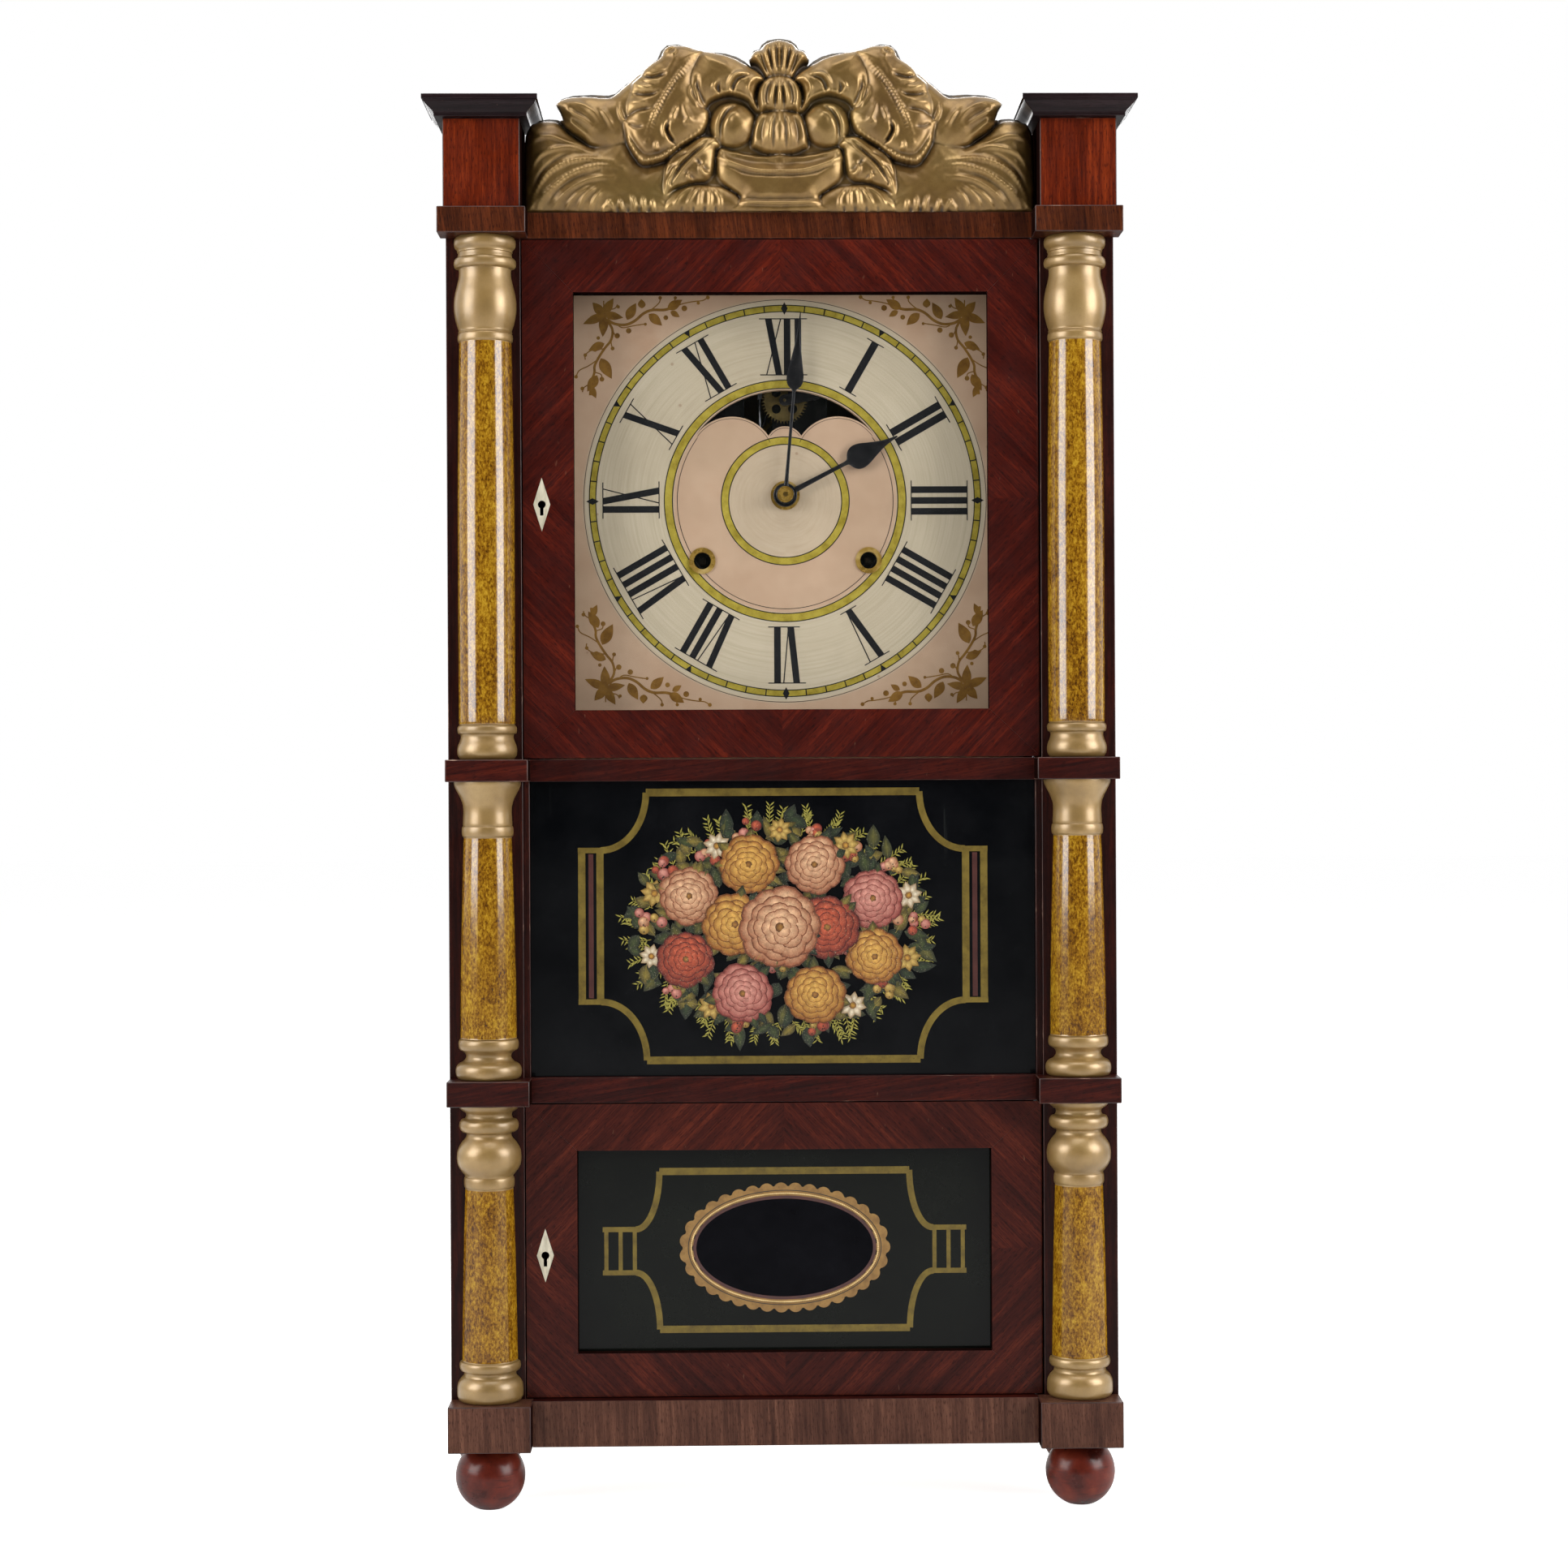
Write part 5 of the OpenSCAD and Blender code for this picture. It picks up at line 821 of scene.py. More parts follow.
crestPieces = [  # lowest first; a ridge is (height, half width, points), a groove's height is negative
    {"name": "fan leaf", "lift": 1, "rise": 6.5, "edge": 17,
     "outline": [(-162, -0.5), (-162, 54), (-157, 56), (-152, 57), (-146, 57.5), (-140, 56),
                 (-136.5, 52.5), (-130.5, 48), (-118, 42), (-97.5, 50), (-85, 31.5), (-70.5, 33.5),
                 (-64.5, 19), (-60.5, -0.5)],
     "ridges": [
         (1.3, 1.49, [(-120, 40.5), (-132.5, 42.5), (-145, 46), (-154, 45), (-160, 40.5)]),
         (1.2, 1.38, [(-119, 36.5), (-132.5, 39.5), (-143.5, 38), (-153, 33.5), (-159, 24)]),
         (1.4, 1.49, [(-105.5, 30.5), (-120, 32.5), (-133.5, 30.5), (-146, 24), (-155, 13),
                      (-158, 3.5)]),
         (1.1, 1.49, [(-99.5, 26.5), (-115, 28), (-129.5, 24), (-141.5, 17), (-151, 8), (-154, 0.5)]),
         (1.3, 1.38, [(-105.5, 21), (-119, 20), (-130.5, 15), (-139.5, 8), (-145, 0.5)]),
         (1.2, 1.15, [(-119, 16), (-127.5, 11), (-133.5, 5.5), (-136.5, 0)]),
         (1.3, 1.03, [(-115, 16), (-123, 10), (-127, 4.5), (-128, 0)]),
         (1.2, 1.03, [(-112, 13), (-117, 8), (-119, 3.5), (-119, 0)]),
         (-2.2, 1.49, [(-118, 39.5), (-132.5, 49), (-139, 55)]),
         (-1.2, 1.26, [(-129.5, 36.5), (-140.5, 32.5), (-151, 24), (-157, 13)]),
         (-1.1, 1.26, [(-114, 25), (-129.5, 20.5), (-140.5, 13), (-150, 2.5)])
     ]},
    {"name": "tip leaf", "lift": 3.6, "rise": 5.5, "edge": 13,
     "outline": [(-143.5, 66.5), (-139, 70), (-132.5, 71.5), (-124, 72), (-117, 71.5), (-109.5, 71),
                 (-106, 72), (-97.5, 79), (-85, 87.5), (-81, 70.5), (-91, 50), (-99.5, 39.5),
                 (-118, 40.5), (-125, 45.5), (-132.5, 50), (-138, 55.5)],
     "ridges": [
         (1.5, 1.61, [(-137.5, 63.5), (-130.5, 59.5), (-123, 56), (-117, 51)]),
         (1.1, 1.72, [(-135.5, 66.5), (-126, 65.5), (-118, 60.5), (-112, 53)]),
         (1.2, 1.38, [(-135.5, 58), (-129.5, 52.5), (-121, 46)]),
         (1, 1.61, [(-114, 63.5), (-109.5, 58), (-105.5, 51)]),
         (1.6, 0.92, [(-101.5, 65.5), (-101, 60.5), (-99, 55.5), (-96, 55.5)]),
         (-1, 1.15, [(-132.5, 62.5), (-124, 58), (-118, 53)])
     ]},
    {"name": "bottom lobe", "lift": 3.6, "rise": 3.4, "edge": 8,
     "outline": [(-114, -0.5), (-114, 5.5), (-112, 10.5), (-105.5, 15.5), (-97.5, 18.5), (-87, 20.5),
                 (-76, 21), (-72.5, 15), (-72.5, -0.5)],
     "ridges": [
         (0.8, 1.15, [(-105.5, -0.5), (-106.5, 3.5), (-109.5, 8)]),
         (1.3, 1.03, [(-99.5, -0.5), (-100.5, 3.5), (-101.5, 8)]),
         (1.3, 1.03, [(-92, -0.5), (-92, 3.5), (-94, 10)]),
         (1.2, 1.03, [(-86.5, -0.5), (-86.5, 3.5), (-86.5, 9)]),
         (1, 1.03, [(-80, -0.5), (-80.5, 3.5), (-81, 8)]),
         (-1.2, 0.92, [(-102.5, -0.5), (-103, 3.5)]),
         (-1.3, 0.92, [(-96, -0.5), (-96.5, 3)]),
         (-1.3, 0.92, [(-89, -0.5), (-89.5, 3)]),
         (-1.2, 0.92, [(-83, -0.5), (-83, 3)]),
         (-0.8, 0.92, [(-109.5, 0), (-105.5, 1)])
     ]},
    {"name": "third leaf", "lift": 5, "rise": 3.2, "edge": 8,
     "outline": [(-73.5, -0.5), (-74, 4.5), (-70.5, 10.5), (-64.5, 14.5), (-56, 17), (-47, 17),
                 (-37.5, 16), (-30.5, 13), (-25, 8), (-27.5, -0.5)],
     "ridges": [
         (0.9, 1.15, [(-54, 16.5), (-62.5, 10.5), (-66.5, 3.5), (-67.5, -0.5)]),
         (1, 1.03, [(-51, 16), (-56, 9), (-59.5, 2.5)]),
         (1.2, 1.03, [(-49, 15.5), (-50.5, 8), (-51, 0)]),
         (1.1, 1.03, [(-45, 15), (-44, 8), (-45, 0)]),
         (1, 1.03, [(-42, 14.5), (-38, 8), (-37.5, 0.5)]),
         (-1.2, 0.92, [(-55, -0.5), (-55, 3.5)]),
         (-1.2, 0.92, [(-48, -0.5), (-47.5, 3.5)]),
         (-1.2, 0.92, [(-41, -0.5), (-40.5, 3.5)]),
         (-1, 0.92, [(-63, 0), (-61.5, 3.5)])
     ]},
    {"name": "bowl", "lift": 6, "rise": 5.2, "edge": 12,
     "outline": [(-41, 32.5), (-38, 39.5), (-29.5, 37.5), (-19, 35.5), (-9, 34.5), (8, 34), (8, -0.5),
                 (-30, -0.5), (-28, 4), (-25.5, 8.5), (-26.5, 10.5), (-32.5, 14.5), (-38, 19),
                 (-40, 23), (-40.5, 29.5)],
     "ridges": [
         (1.4, 1.15, [(-39.5, 33.5), (-30.5, 29.5), (-19, 25.5), (-9, 24), (8, 24)]),
         (-1.7, 2.76, [(-39, 36), (-29.5, 33), (-19, 30.5), (-9, 29.5), (8, 29)]),
         (-1, 1.03, [(-38, 29.5), (-29.5, 26), (-19, 22.5), (8, 21)]),
         (0.8, 0.92, [(-27.5, 5.5), (-9, 4.5), (8, 4.5)]),
         (-1, 0.8, [(-27.5, 3.5), (-9, 3), (8, 2.5)]),
         (-1.4, 1.84, [(-25, 8.5), (-14, 7.5), (8, 7.5)])
     ]},
    {"name": "second leaf", "lift": 7, "rise": 4, "edge": 8,
     "outline": [(-40, 46), (-37.5, 40.5), (-40.5, 38), (-41, 33.5), (-42, 26.5), (-44, 21),
                 (-48, 18.5), (-54, 18), (-60.5, 16), (-67.5, 13.5), (-72.5, 8.5), (-74.5, 13),
                 (-74, 20), (-72, 29.5), (-67, 36), (-59.5, 40.5), (-50, 46)],
     "ridges": [
         (-1.6, 1.03, [(-44, 43.5), (-54, 35.5), (-62.5, 27.5), (-68.5, 18), (-72, 10)]),
         (1, 1.15, [(-46, 44.5), (-56, 36.5), (-65, 28), (-70.5, 18.5)]),
         (1, 1.15, [(-43, 40.5), (-52, 34), (-60.5, 26), (-66.5, 18)]),
         (-1, 1.03, [(-56, 35.5), (-64.5, 33.5), (-70.5, 27.5)]),
         (-1, 1.03, [(-62.5, 28.5), (-68.5, 26.5), (-72.5, 20)]),
         (-1, 1.03, [(-54, 32.5), (-49, 27.5), (-44, 24)]),
         (-1, 1.03, [(-60.5, 24), (-56, 21), (-53, 18.5)]),
         (1.5, 1.15, [(-48, 29.5), (-50, 25.5), (-47.5, 22), (-43.5, 23)]),
         (1.4, 1.03, [(-57, 24), (-58, 20.5), (-55.5, 18.5)]),
         (0.9, 1.03, [(-70, 21), (-71.5, 17), (-69, 13)])
     ]},
    {"name": "apple", "lift": 5.5, "rise": 7.5, "edge": 14,
     "outline": [(-15, 53.5), (-16, 48), (-19.5, 43), (-24.5, 40), (-30, 39), (-36, 40), (-40.5, 43),
                 (-44, 48), (-45, 53.5), (-44, 58.5), (-40.5, 63.5), (-36, 66.5), (-30, 67.5),
                 (-24.5, 66.5), (-19.5, 63.5), (-16, 58.5)],
     "ridges": [
         (-1.8, 1.26, [(-26, 65), (-32.5, 61.5), (-36.5, 54), (-37.5, 47), (-36.5, 40.5)]),
         (1, 1.84, [(-29.5, 65.5), (-36, 61.5), (-40, 54), (-40.5, 48)]),
         (0.9, 1.84, [(-24.5, 60.5), (-30.5, 58), (-33.5, 52)])
     ]},
    {"name": "melon", "lift": 8, "rise": 6.5, "edge": 14,
     "outline": [(-18, 39.5), (-17.5, 46), (-16, 53), (-13.5, 59), (-8, 61), (8, 61.5), (8, 34),
                 (1.5, 34.5), (-9, 36), (-15, 38.5)],
     "ridges": [
         (0.8, 1.49, [(-12, 58), (-15, 50), (-16, 39.5)]),
         (-1.1, 1.03, [(-8, 59.5), (-11, 50), (-11.5, 38)]),
         (0.7, 1.49, [(-4, 60), (-6.5, 50), (-7.5, 37)]),
         (-1.2, 1.03, [(-2.5, 60), (-4, 50), (-4, 36)]),
         (0.8, 1.38, [(0, 60.5), (0, 35.5)])
     ]},
    {"name": "sweeping leaf", "lift": 8, "rise": 6.8, "edge": 15,
     "outline": [(-49, 99), (-39.5, 97.5), (-30.5, 95), (-22, 91), (-15, 86.5), (-9.5, 81),
                 (-13.5, 77), (-15, 71.5), (-14.5, 66.5), (-12.5, 60.5), (-17, 63.5), (-20, 67.5),
                 (-25.5, 70), (-31.5, 71), (-37.5, 70), (-44, 67), (-48, 62), (-56, 60.5), (-60.5, 81)],
     "ridges": [
         (-1.8, 1.26, [(-52, 81), (-51.5, 74.5), (-48, 66.5), (-45, 63.5)]),
         (1.3, 1.03, [(-40, 78), (-42, 74.5), (-38.5, 71.5)]),
         (-1.4, 1.03, [(-37, 70.5), (-39, 74.5), (-37.5, 78.5)]),
         (1.5, 1.15, [(-20.5, 83.5), (-27.5, 82.5), (-31.5, 78), (-32.5, 72.5)]),
         (-1.6, 1.15, [(-19, 82), (-25.5, 80.5), (-29, 76.5), (-29.5, 71.5)]),
         (1.1, 1.15, [(-15, 81), (-19, 77), (-20, 70.5)]),
         (1.2, 1.38, [(-45, 67.5), (-37.5, 71.5), (-30.5, 72.5), (-24.5, 71), (-18, 66.5),
                      (-14, 61.5)]),
         (0.7, 2.3, [(-47, 93.5), (-39.5, 90), (-30.5, 87)])
     ]},
    {"name": "shell", "lift": 5, "rise": 5, "edge": 8,
     "outline": [(-9, 81.5), (-11, 87), (-15, 91.5), (-19, 93), (-18.5, 96.5), (-16, 99.5),
                 (-12, 100.5), (-9.5, 103.5), (-4.5, 105.5), (0, 106.5), (8, 106.5), (8, 81.5)],
     "ridges": [
         (1.4, 1.03, [(-8, 82.5), (-12, 89.5), (-16.5, 96.5)]),
         (-1.4, 0.92, [(-6, 83), (-10, 92), (-12.5, 99.5)]),
         (1.3, 1.03, [(-5, 83), (-8, 93.5), (-10, 100.5)]),
         (-1.4, 0.92, [(-3.5, 83), (-6, 94.5), (-7, 103.5)]),
         (1.3, 1.03, [(-2, 83), (-3.5, 94.5), (-4, 103.5)]),
         (-1.3, 0.92, [(-1, 83), (-1.5, 94.5), (-1.5, 104.5)]),
         (1, 1.03, [(0.5, 83), (0.5, 105.5)])
     ]},
    {"name": "pomegranate", "lift": 8.6, "rise": 6, "edge": 11,
     "outline": [(-12.5, 60), (-14.5, 66.5), (-14, 72.5), (-11.5, 78), (-7.5, 81.5), (-2.5, 83),
                 (8, 83.5), (8, 60.5), (-6.5, 61)],
     "ridges": [
         (1.1, 1.26, [(-6.5, 81), (-11, 73.5), (-11, 63.5)]),
         (-1.4, 1.03, [(-4, 81), (-7.5, 72.5), (-8.5, 62.5)]),
         (1, 1.15, [(-2.5, 81), (-4.5, 71.5), (-5.5, 62.5)]),
         (-1.6, 1.03, [(-1.5, 78), (-2.5, 70.5), (-3, 61.5)]),
         (1.2, 1.38, [(0.5, 81), (0.5, 61.5)]),
         (0.8, 1.03, [(-12, 62.5), (-9, 64.5), (-6.5, 62.5)])
     ]},
    {"name": "big leaf", "lift": 9, "rise": 5.6, "edge": 13,
     "outline": [(-74.5, 96), (-73.5, 99.5), (-70, 101.5), (-64.5, 102), (-58, 101.5), (-52, 99.5),
                 (-48, 98.5), (-51, 91), (-53, 81), (-52, 72.5), (-49, 65.5), (-45, 60.5),
                 (-45.5, 54), (-49, 48), (-56, 43), (-63, 39), (-67.5, 35), (-73.5, 31.5),
                 (-81, 29.5), (-87.5, 29), (-92, 34), (-96, 40.5), (-98, 48), (-99.5, 54),
                 (-97.5, 57), (-97.5, 63.5), (-96, 69.5), (-94.5, 73.5), (-93.5, 78), (-90.5, 81),
                 (-87.5, 83.5), (-86, 87), (-82, 90.5), (-77, 93.5)],
     "ridges": [
         (1.5, 0.86, [(-54, 92), (-60.5, 84), (-68.5, 73.5), (-76, 60.5), (-81, 49), (-84.5, 40.5)]),
         (-1.5, 1.03, [(-57, 87.5), (-64.5, 79), (-71.5, 68.5), (-78, 56), (-82.5, 45)]),
         (1.4, 0.86, [(-56, 92), (-64.5, 82), (-72.5, 70.5), (-79.5, 58), (-84, 46)]),
         (-1.9, 1.15, [(-87.5, 83), (-82, 81), (-76, 82), (-70.5, 84)]),
         (1.1, 1.38, [(-87, 81), (-81, 78.5), (-74.5, 78)]),
         (-1.8, 1.15, [(-94, 72.5), (-88, 70.5), (-81, 70.5), (-76, 72.5)]),
         (0.9, 1.61, [(-92, 77), (-85, 74.5), (-79, 74.5)]),
         (-1.7, 1.15, [(-97.5, 57), (-91, 60.5), (-85, 61.5), (-80, 62.5)]),
         (1, 1.61, [(-95.5, 66.5), (-89, 65.5), (-82, 66.5)]),
         (-1.2, 1.15, [(-96.5, 54), (-91, 51), (-85, 51)]),
         (-2.6, 1.03, [(-53, 80), (-54.5, 74.5), (-52, 68.5), (-49, 63)]),
         (1.2, 1.03, [(-55, 78), (-56.5, 71.5), (-54, 66.5), (-50.5, 61.5)]),
         (-2.6, 1.03, [(-70, 54), (-71.5, 49), (-69, 44), (-66, 40.5)]),
         (1.1, 1.03, [(-72.5, 53), (-73.5, 48), (-71.5, 43)]),
         (1.3, 1.03, [(-78, 42), (-78.5, 38), (-76, 36.5)]),
         (1, 1.72, [(-60.5, 67.5), (-59.5, 60.5), (-56, 54), (-52, 54)]),
         (1.1, 1.38, [(-64.5, 63.5), (-67.5, 56), (-65.5, 54)]),
         (1, 1.15, [(-57, 55.5), (-59.5, 53), (-56, 51)]),
         (1.6, 1.03, [(-99, 54), (-97, 45), (-92, 35.5), (-87, 30), (-74.5, 32.5), (-67.5, 37),
                      (-57, 43.5), (-50, 49), (-46, 55.5)]),
         (-1.2, 1.26, [(-96, 51), (-93.5, 44), (-88, 36.5), (-84, 34), (-76, 35.5), (-68.5, 39.5)]),
         (1, 1.15, [(-72, 97.5), (-69, 99.5), (-65.5, 98.5), (-67, 95.5), (-71, 95)]),
         (1, 2.53, [(-72.5, 81), (-67.5, 90), (-64.5, 96.5)])
     ]},
]


def insideLoop(points, loop):
    hit = np.zeros(len(points), bool)
    for a, b in zip(loop, np.roll(loop, -1, 0)):
        crosses = (a[1] > points[:, 1]) != (b[1] > points[:, 1])
        with np.errstate(divide="ignore", invalid="ignore"):
            at = a[0] + (points[:, 1] - a[1]) * (b[0] - a[0]) / (b[1] - a[1])
        hit ^= crosses & (points[:, 0] < at)
    return hit


def carve(points, height, piece):
    # a rounded form over what lies under it, with ridges and grooves that fade out at their ends
    loop = smoothPath(piece["outline"] + piece["outline"][:1], 7 * len(piece["outline"]))
    within = insideLoop(points, loop[:-1])
    near = points[within]
    rim = distanceToLine(near, loop)
    made = piece["lift"] + piece["rise"] * (1 - (1 - np.clip(rim / piece["edge"], 0, 1)) ** 2.1)
    faint, fade = knife["faint"], knife["fade"]
    for tall, wide, line in piece["ridges"]:
        path = smoothPath(line, knife["steps"])
        gaps = np.linalg.norm(near[:, None, :] - path[None, :, :], axis=2)
        away, along = gaps.min(1), gaps.argmin(1) / (knife["steps"] - 1)
        ends = np.clip(along * fade, faint, 1) * np.clip((1 - along) * fade, faint, 1)
        made += knife["tall"] * tall * ends * np.exp(-(away / wide) ** 2) * np.clip(rim / 1.2, faint, 1)
    made -= knife["groove"] * np.exp(-(rim / knife["grooveWide"]) ** 2)
    height[within] = np.maximum(height[within], made)
    return height


def distanceToLine(points, line):
    best = np.full(len(points), 1e9)
    for a, b in zip(line, line[1:]):
        span = b - a
        t = np.clip(((points - a) @ span) / (span @ span), 0, 1)
        best = np.minimum(best, np.linalg.norm(points - a - t[:, None] * span, axis=1))
    return best


def crestEdge(line, gap):
    # the sawn outline with points at even steps
    edge = [line[0]]
    for a, b in zip(line, np.roll(line, -1, 0)):
        count = max(1, int(round(np.linalg.norm(b - a) / gap)))
        edge += [a + (b - a) * (i + 1) / count for i in range(count)]
    return np.array(edge[:-1])


def crestGrid(line, spec):
    # rows of points in a pattern of triangles, clear of the outline
    gap = spec["spacing"]
    rows = []
    for j, z in enumerate(np.arange(gap * 0.8, spec["top"], gap * 0.866)):
        rows += [(x, z) for x in np.arange(spec["left"], -gap * 0.5, gap) + (gap / 2 if j % 2 else 0)]
    grid = np.array(rows)
    inside = insideLoop(grid, line)
    closed = np.vstack([line, line[:1]])
    inside &= distanceToLine(grid, closed) > gap * 0.55
    return grid[inside & (grid[:, 0] < -gap * 0.4)]


def crestHeight(points, line, spec):
    # how far each point stands out of the board, in millimetres
    x, z = points[:, 0], points[:, 1]
    middlePart = np.clip((x + 88) / 24, 0, 1) * np.clip((z - 6) / 10, 0, 1) * np.clip((98 - z) / 14, 0, 1)
    height = -2.0 + 5.5 * middlePart
    for piece in crestPieces:
        height = carve(points, height, piece)
    height += 0.16 * np.sin(x * 0.61 + 0.8 * np.sin(z * 0.43)) * np.sin(z * 0.57)
    # everything rolls back towards the sawn outline
    rim = distanceToLine(points, line[2:])
    height -= spec["roll"] * (1 - np.clip(rim / 6.0, 0, 1) ** 0.45)
    return height


def neighbours(faces):
    links = set()
    for face in faces:
        for a, b in zip(face, face[1:] + face[:1]):
            links.add((min(a, b), max(a, b)))
    return np.array(sorted(links))


def blurred(values, links, times):
    for _ in range(times):
        total = np.zeros(len(values))
        number = np.zeros(len(values))
        for a, b in ((0, 1), (1, 0)):
            np.add.at(total, links[:, a], values[links[:, b]])
            np.add.at(number, links[:, a], 1)
        values = 0.45 * values + 0.55 * total / np.maximum(number, 1)
    return values


def crestPiece(spec):
    line = np.array(crestOutline, float)
    edge = crestEdge(line, spec["spacing"])
    points = np.vstack([edge, crestGrid(line, spec)])
    ring = [list(range(len(edge)))]
    verts, _, faces, _, _, _ = delaunay_2d_cdt([Vector(p) for p in points], [], ring, 1, 1e-5)
    points = np.array([tuple(v) for v in verts])
    links = neighbours(faces)
    height = blurred(crestHeight(points, line, spec), links, 2)
    hollow = np.clip(0.5 + (blurred(height, links, 18) - height) * 0.38, 0, 1)
    bm = bmesh.new()
    layer = bm.verts.layers.float.new("hollow")
    for side in (1, -1):
        # the knife never does both sides quite alike
        wobble = 0.22 * np.sin(points[:, 0] * 0.19 * (1 if side > 0 else 1.13))
        wobble *= np.sin(points[:, 1] * 0.16 + side) * np.clip(-points[:, 0] / 20, 0, 1)
        depth = (spec["front"] - height - wobble) / 1000
        rise = (spec["bottom"] + points[:, 1] * spec["tall"]) / 1000
        front = [bm.verts.new((side * x / 1000, y, z)) for x, y, z in zip(points[:, 0], depth, rise)]
        for vert, value in zip(front, hollow):
            vert[layer] = value
        for face in faces:
            bm.faces.new([front[i] for i in face])
    bmesh.ops.remove_doubles(bm, verts=bm.verts, dist=0.00004)
    loose = [e for e in bm.edges if e.is_boundary]
    made = bmesh.ops.extrude_edge_only(bm, edges=loose)["geom"]
    for vert in (g for g in made if isinstance(g, bmesh.types.BMVert)):
        vert.co.y = spec["back"] / 1000
        vert[layer] = 0.6
    loose = [e for e in bm.edges if e.is_boundary]
    for face in bmesh.ops.holes_fill(bm, edges=loose, sides=0)["faces"]:
        face.material_index = 1
    return meshFromBm("carved_crest", bm, merge=None)


carvedCrest = addPiece("carved_crest", crestPiece(crestSpec), [crestGold, pine], "case", ("crest_splat",),
                       "gilt_wood", sharp=70)
print("stage: crest carved,", len(carvedCrest.data.polygons), "faces")


# Painted work
class Paint:
    # thin closed patches on one face; later patches lie over earlier ones
    def __init__(self, face, base=0.02):
        self.face, self.base, self.bm = face, base, bmesh.new()
        self.tint = self.bm.verts.layers.float_color.new("tint")

    def vert(self, x, z, rise, colour):
        made = self.bm.verts.new((x / 1000, (self.face - rise) / 1000, z / 1000))
        made[self.tint] = colour
        return made

    def patch(self, loop, rise, rim=(0, 0, 0, 1), heart=None, centre=None):
        # a filled outline; with a heart colour it is shaded from the middle out
        top = [self.vert(x, z, rise, rim) for x, z in loop]
        low = [self.vert(x, z, -self.base, rim) for x, z in loop]
        if heart is None:
            self.bm.faces.new(top)
        else:
            cx, cz = centre or tuple(np.mean(loop, 0))
            middle = self.vert(cx, cz, rise + 0.012, heart)
            for a, b in zip(top, top[1:] + top[:1]):
                self.bm.faces.new((a, b, middle))
        self.bm.faces.new(low[::-1])
        for i in range(len(loop)):
            j = (i + 1) % len(loop)
            self.bm.faces.new((top[i], low[i], low[j], top[j]))

    def band(self, line, width, rise, colour=(0, 0, 0, 1), closed=False):
        # a brushed line of even width along a path
        line = np.array(line, float)
        if closed:
            before, after = np.roll(line, 1, 0), np.roll(line, -1, 0)
        else:
            before = np.vstack([2 * line[0] - line[1], line[:-1]])
            after = np.vstack([line[1:], 2 * line[-1] - line[-2]])
        into = (line - before) / np.linalg.norm(line - before, axis=1)[:, None]
        out = (after - line) / np.linalg.norm(after - line, axis=1)[:, None]
        normal = np.stack([-(into + out)[:, 1], (into + out)[:, 0]], 1)
        normal /= np.linalg.norm(normal, axis=1)[:, None]
        slope = np.abs(normal[:, 0] * -into[:, 1] + normal[:, 1] * into[:, 0])
        shift = normal * (width / 2 / np.clip(slope, 0.5, 1))[:, None]
        rails = []
        for sign in (1, -1):
            edge = line + sign * shift
            top = [self.vert(x, z, rise, colour) for x, z in edge]
            low = [self.vert(x, z, -self.base, colour) for x, z in edge]
            rails.append((top, low))
        (aTop, aLow), (bTop, bLow) = rails
        count = len(line)
        for i in range(count if closed else count - 1):
            j = (i + 1) % count
            for four in ((aTop[i], aTop[j], bTop[j], bTop[i]), (aLow[j], aLow[i], bLow[i], bLow[j]),
                         (aTop[j], aTop[i], aLow[i], aLow[j]), (bTop[i], bTop[j], bLow[j], bLow[i])):
                self.bm.faces.new(four)
        if not closed:
            for i in (0, count - 1):
                self.bm.faces.new((aTop[i], bTop[i], bLow[i], aLow[i]))

    def piece(self, name, material, body, slot):
        return addPiece(name, meshFromBm(name, self.bm, merge=None), [material], body, (), slot, sharp=None)


def ovalPath(centre, halfWide, halfHigh, count=160, start=0.0, sweep=math.tau):
    whole = abs(sweep - math.tau) < 1e-6
    steps = count if whole else count + 1
    return [(centre[0] + halfWide * math.sin(start + sweep * i / count),
             centre[1] + halfHigh * math.cos(start + sweep * i / count)) for i in range(steps)]


def leafLoop(root, angle, length, width, count=9, bend=0.0):
    # outline of a pointed leaf; angle in degrees clockwise from upright
    a = math.radians(angle)
    along, across = np.array((math.sin(a), math.cos(a))), np.array((math.cos(a), -math.sin(a)))
    sides = []
    for sign in (1, -1):
        row = []
        for i in range(count + 1):
            t = i / count
            row.append(np.array(root) + along * length * t
                       + across * (sign * width / 2 * math.sin(math.pi * t ** 0.8) + bend * length * t * t))
        sides.append(row)
    loop = sides[0] + sides[1][-2:0:-1]
    return [tuple(p) for p in loop]


def disc(x, z, radius, count):
    return [(x + radius * math.cos(k * math.tau / count), z + radius * math.sin(k * math.tau / count))
            for k in range(count)]


# Dial
dialRings = {"outerLine": (129.9, 0.35), "band": (124.3, 3.9), "inner": (75.4, 5.0),
             "innerLine": (70.9, 0.4), "small": (38.9, 4.6), "numerals": (81.4, 117.6)}
dialAt = dialSpec["centre"]
dialFace = dialSpec["face"]


def ring(paint, radius, width, rise, start=0.0, sweep=math.tau):
    whole = abs(sweep - math.tau) < 1e-6
    line = ovalPath(dialAt, radius, radius, 240 if whole else 120, start, sweep)
    paint.band(line, width, rise, closed=whole)


gold = Paint(dialFace)
for name in ("band", "inner", "small"):
    ring(gold, *dialRings[name], 0.04)
gold.piece("dial_gold_rings", dialGold, "case", "dial_paint")

lines = Paint(dialFace)
ring(lines, *dialRings["outerLine"], 0.05)
for radius, width in (dialRings["band"], dialRings["inner"], dialRings["small"]):
    for sign in (-1, 1):
        ring(lines, radius + sign * (width / 2 + 0.12), 0.62, 0.07)
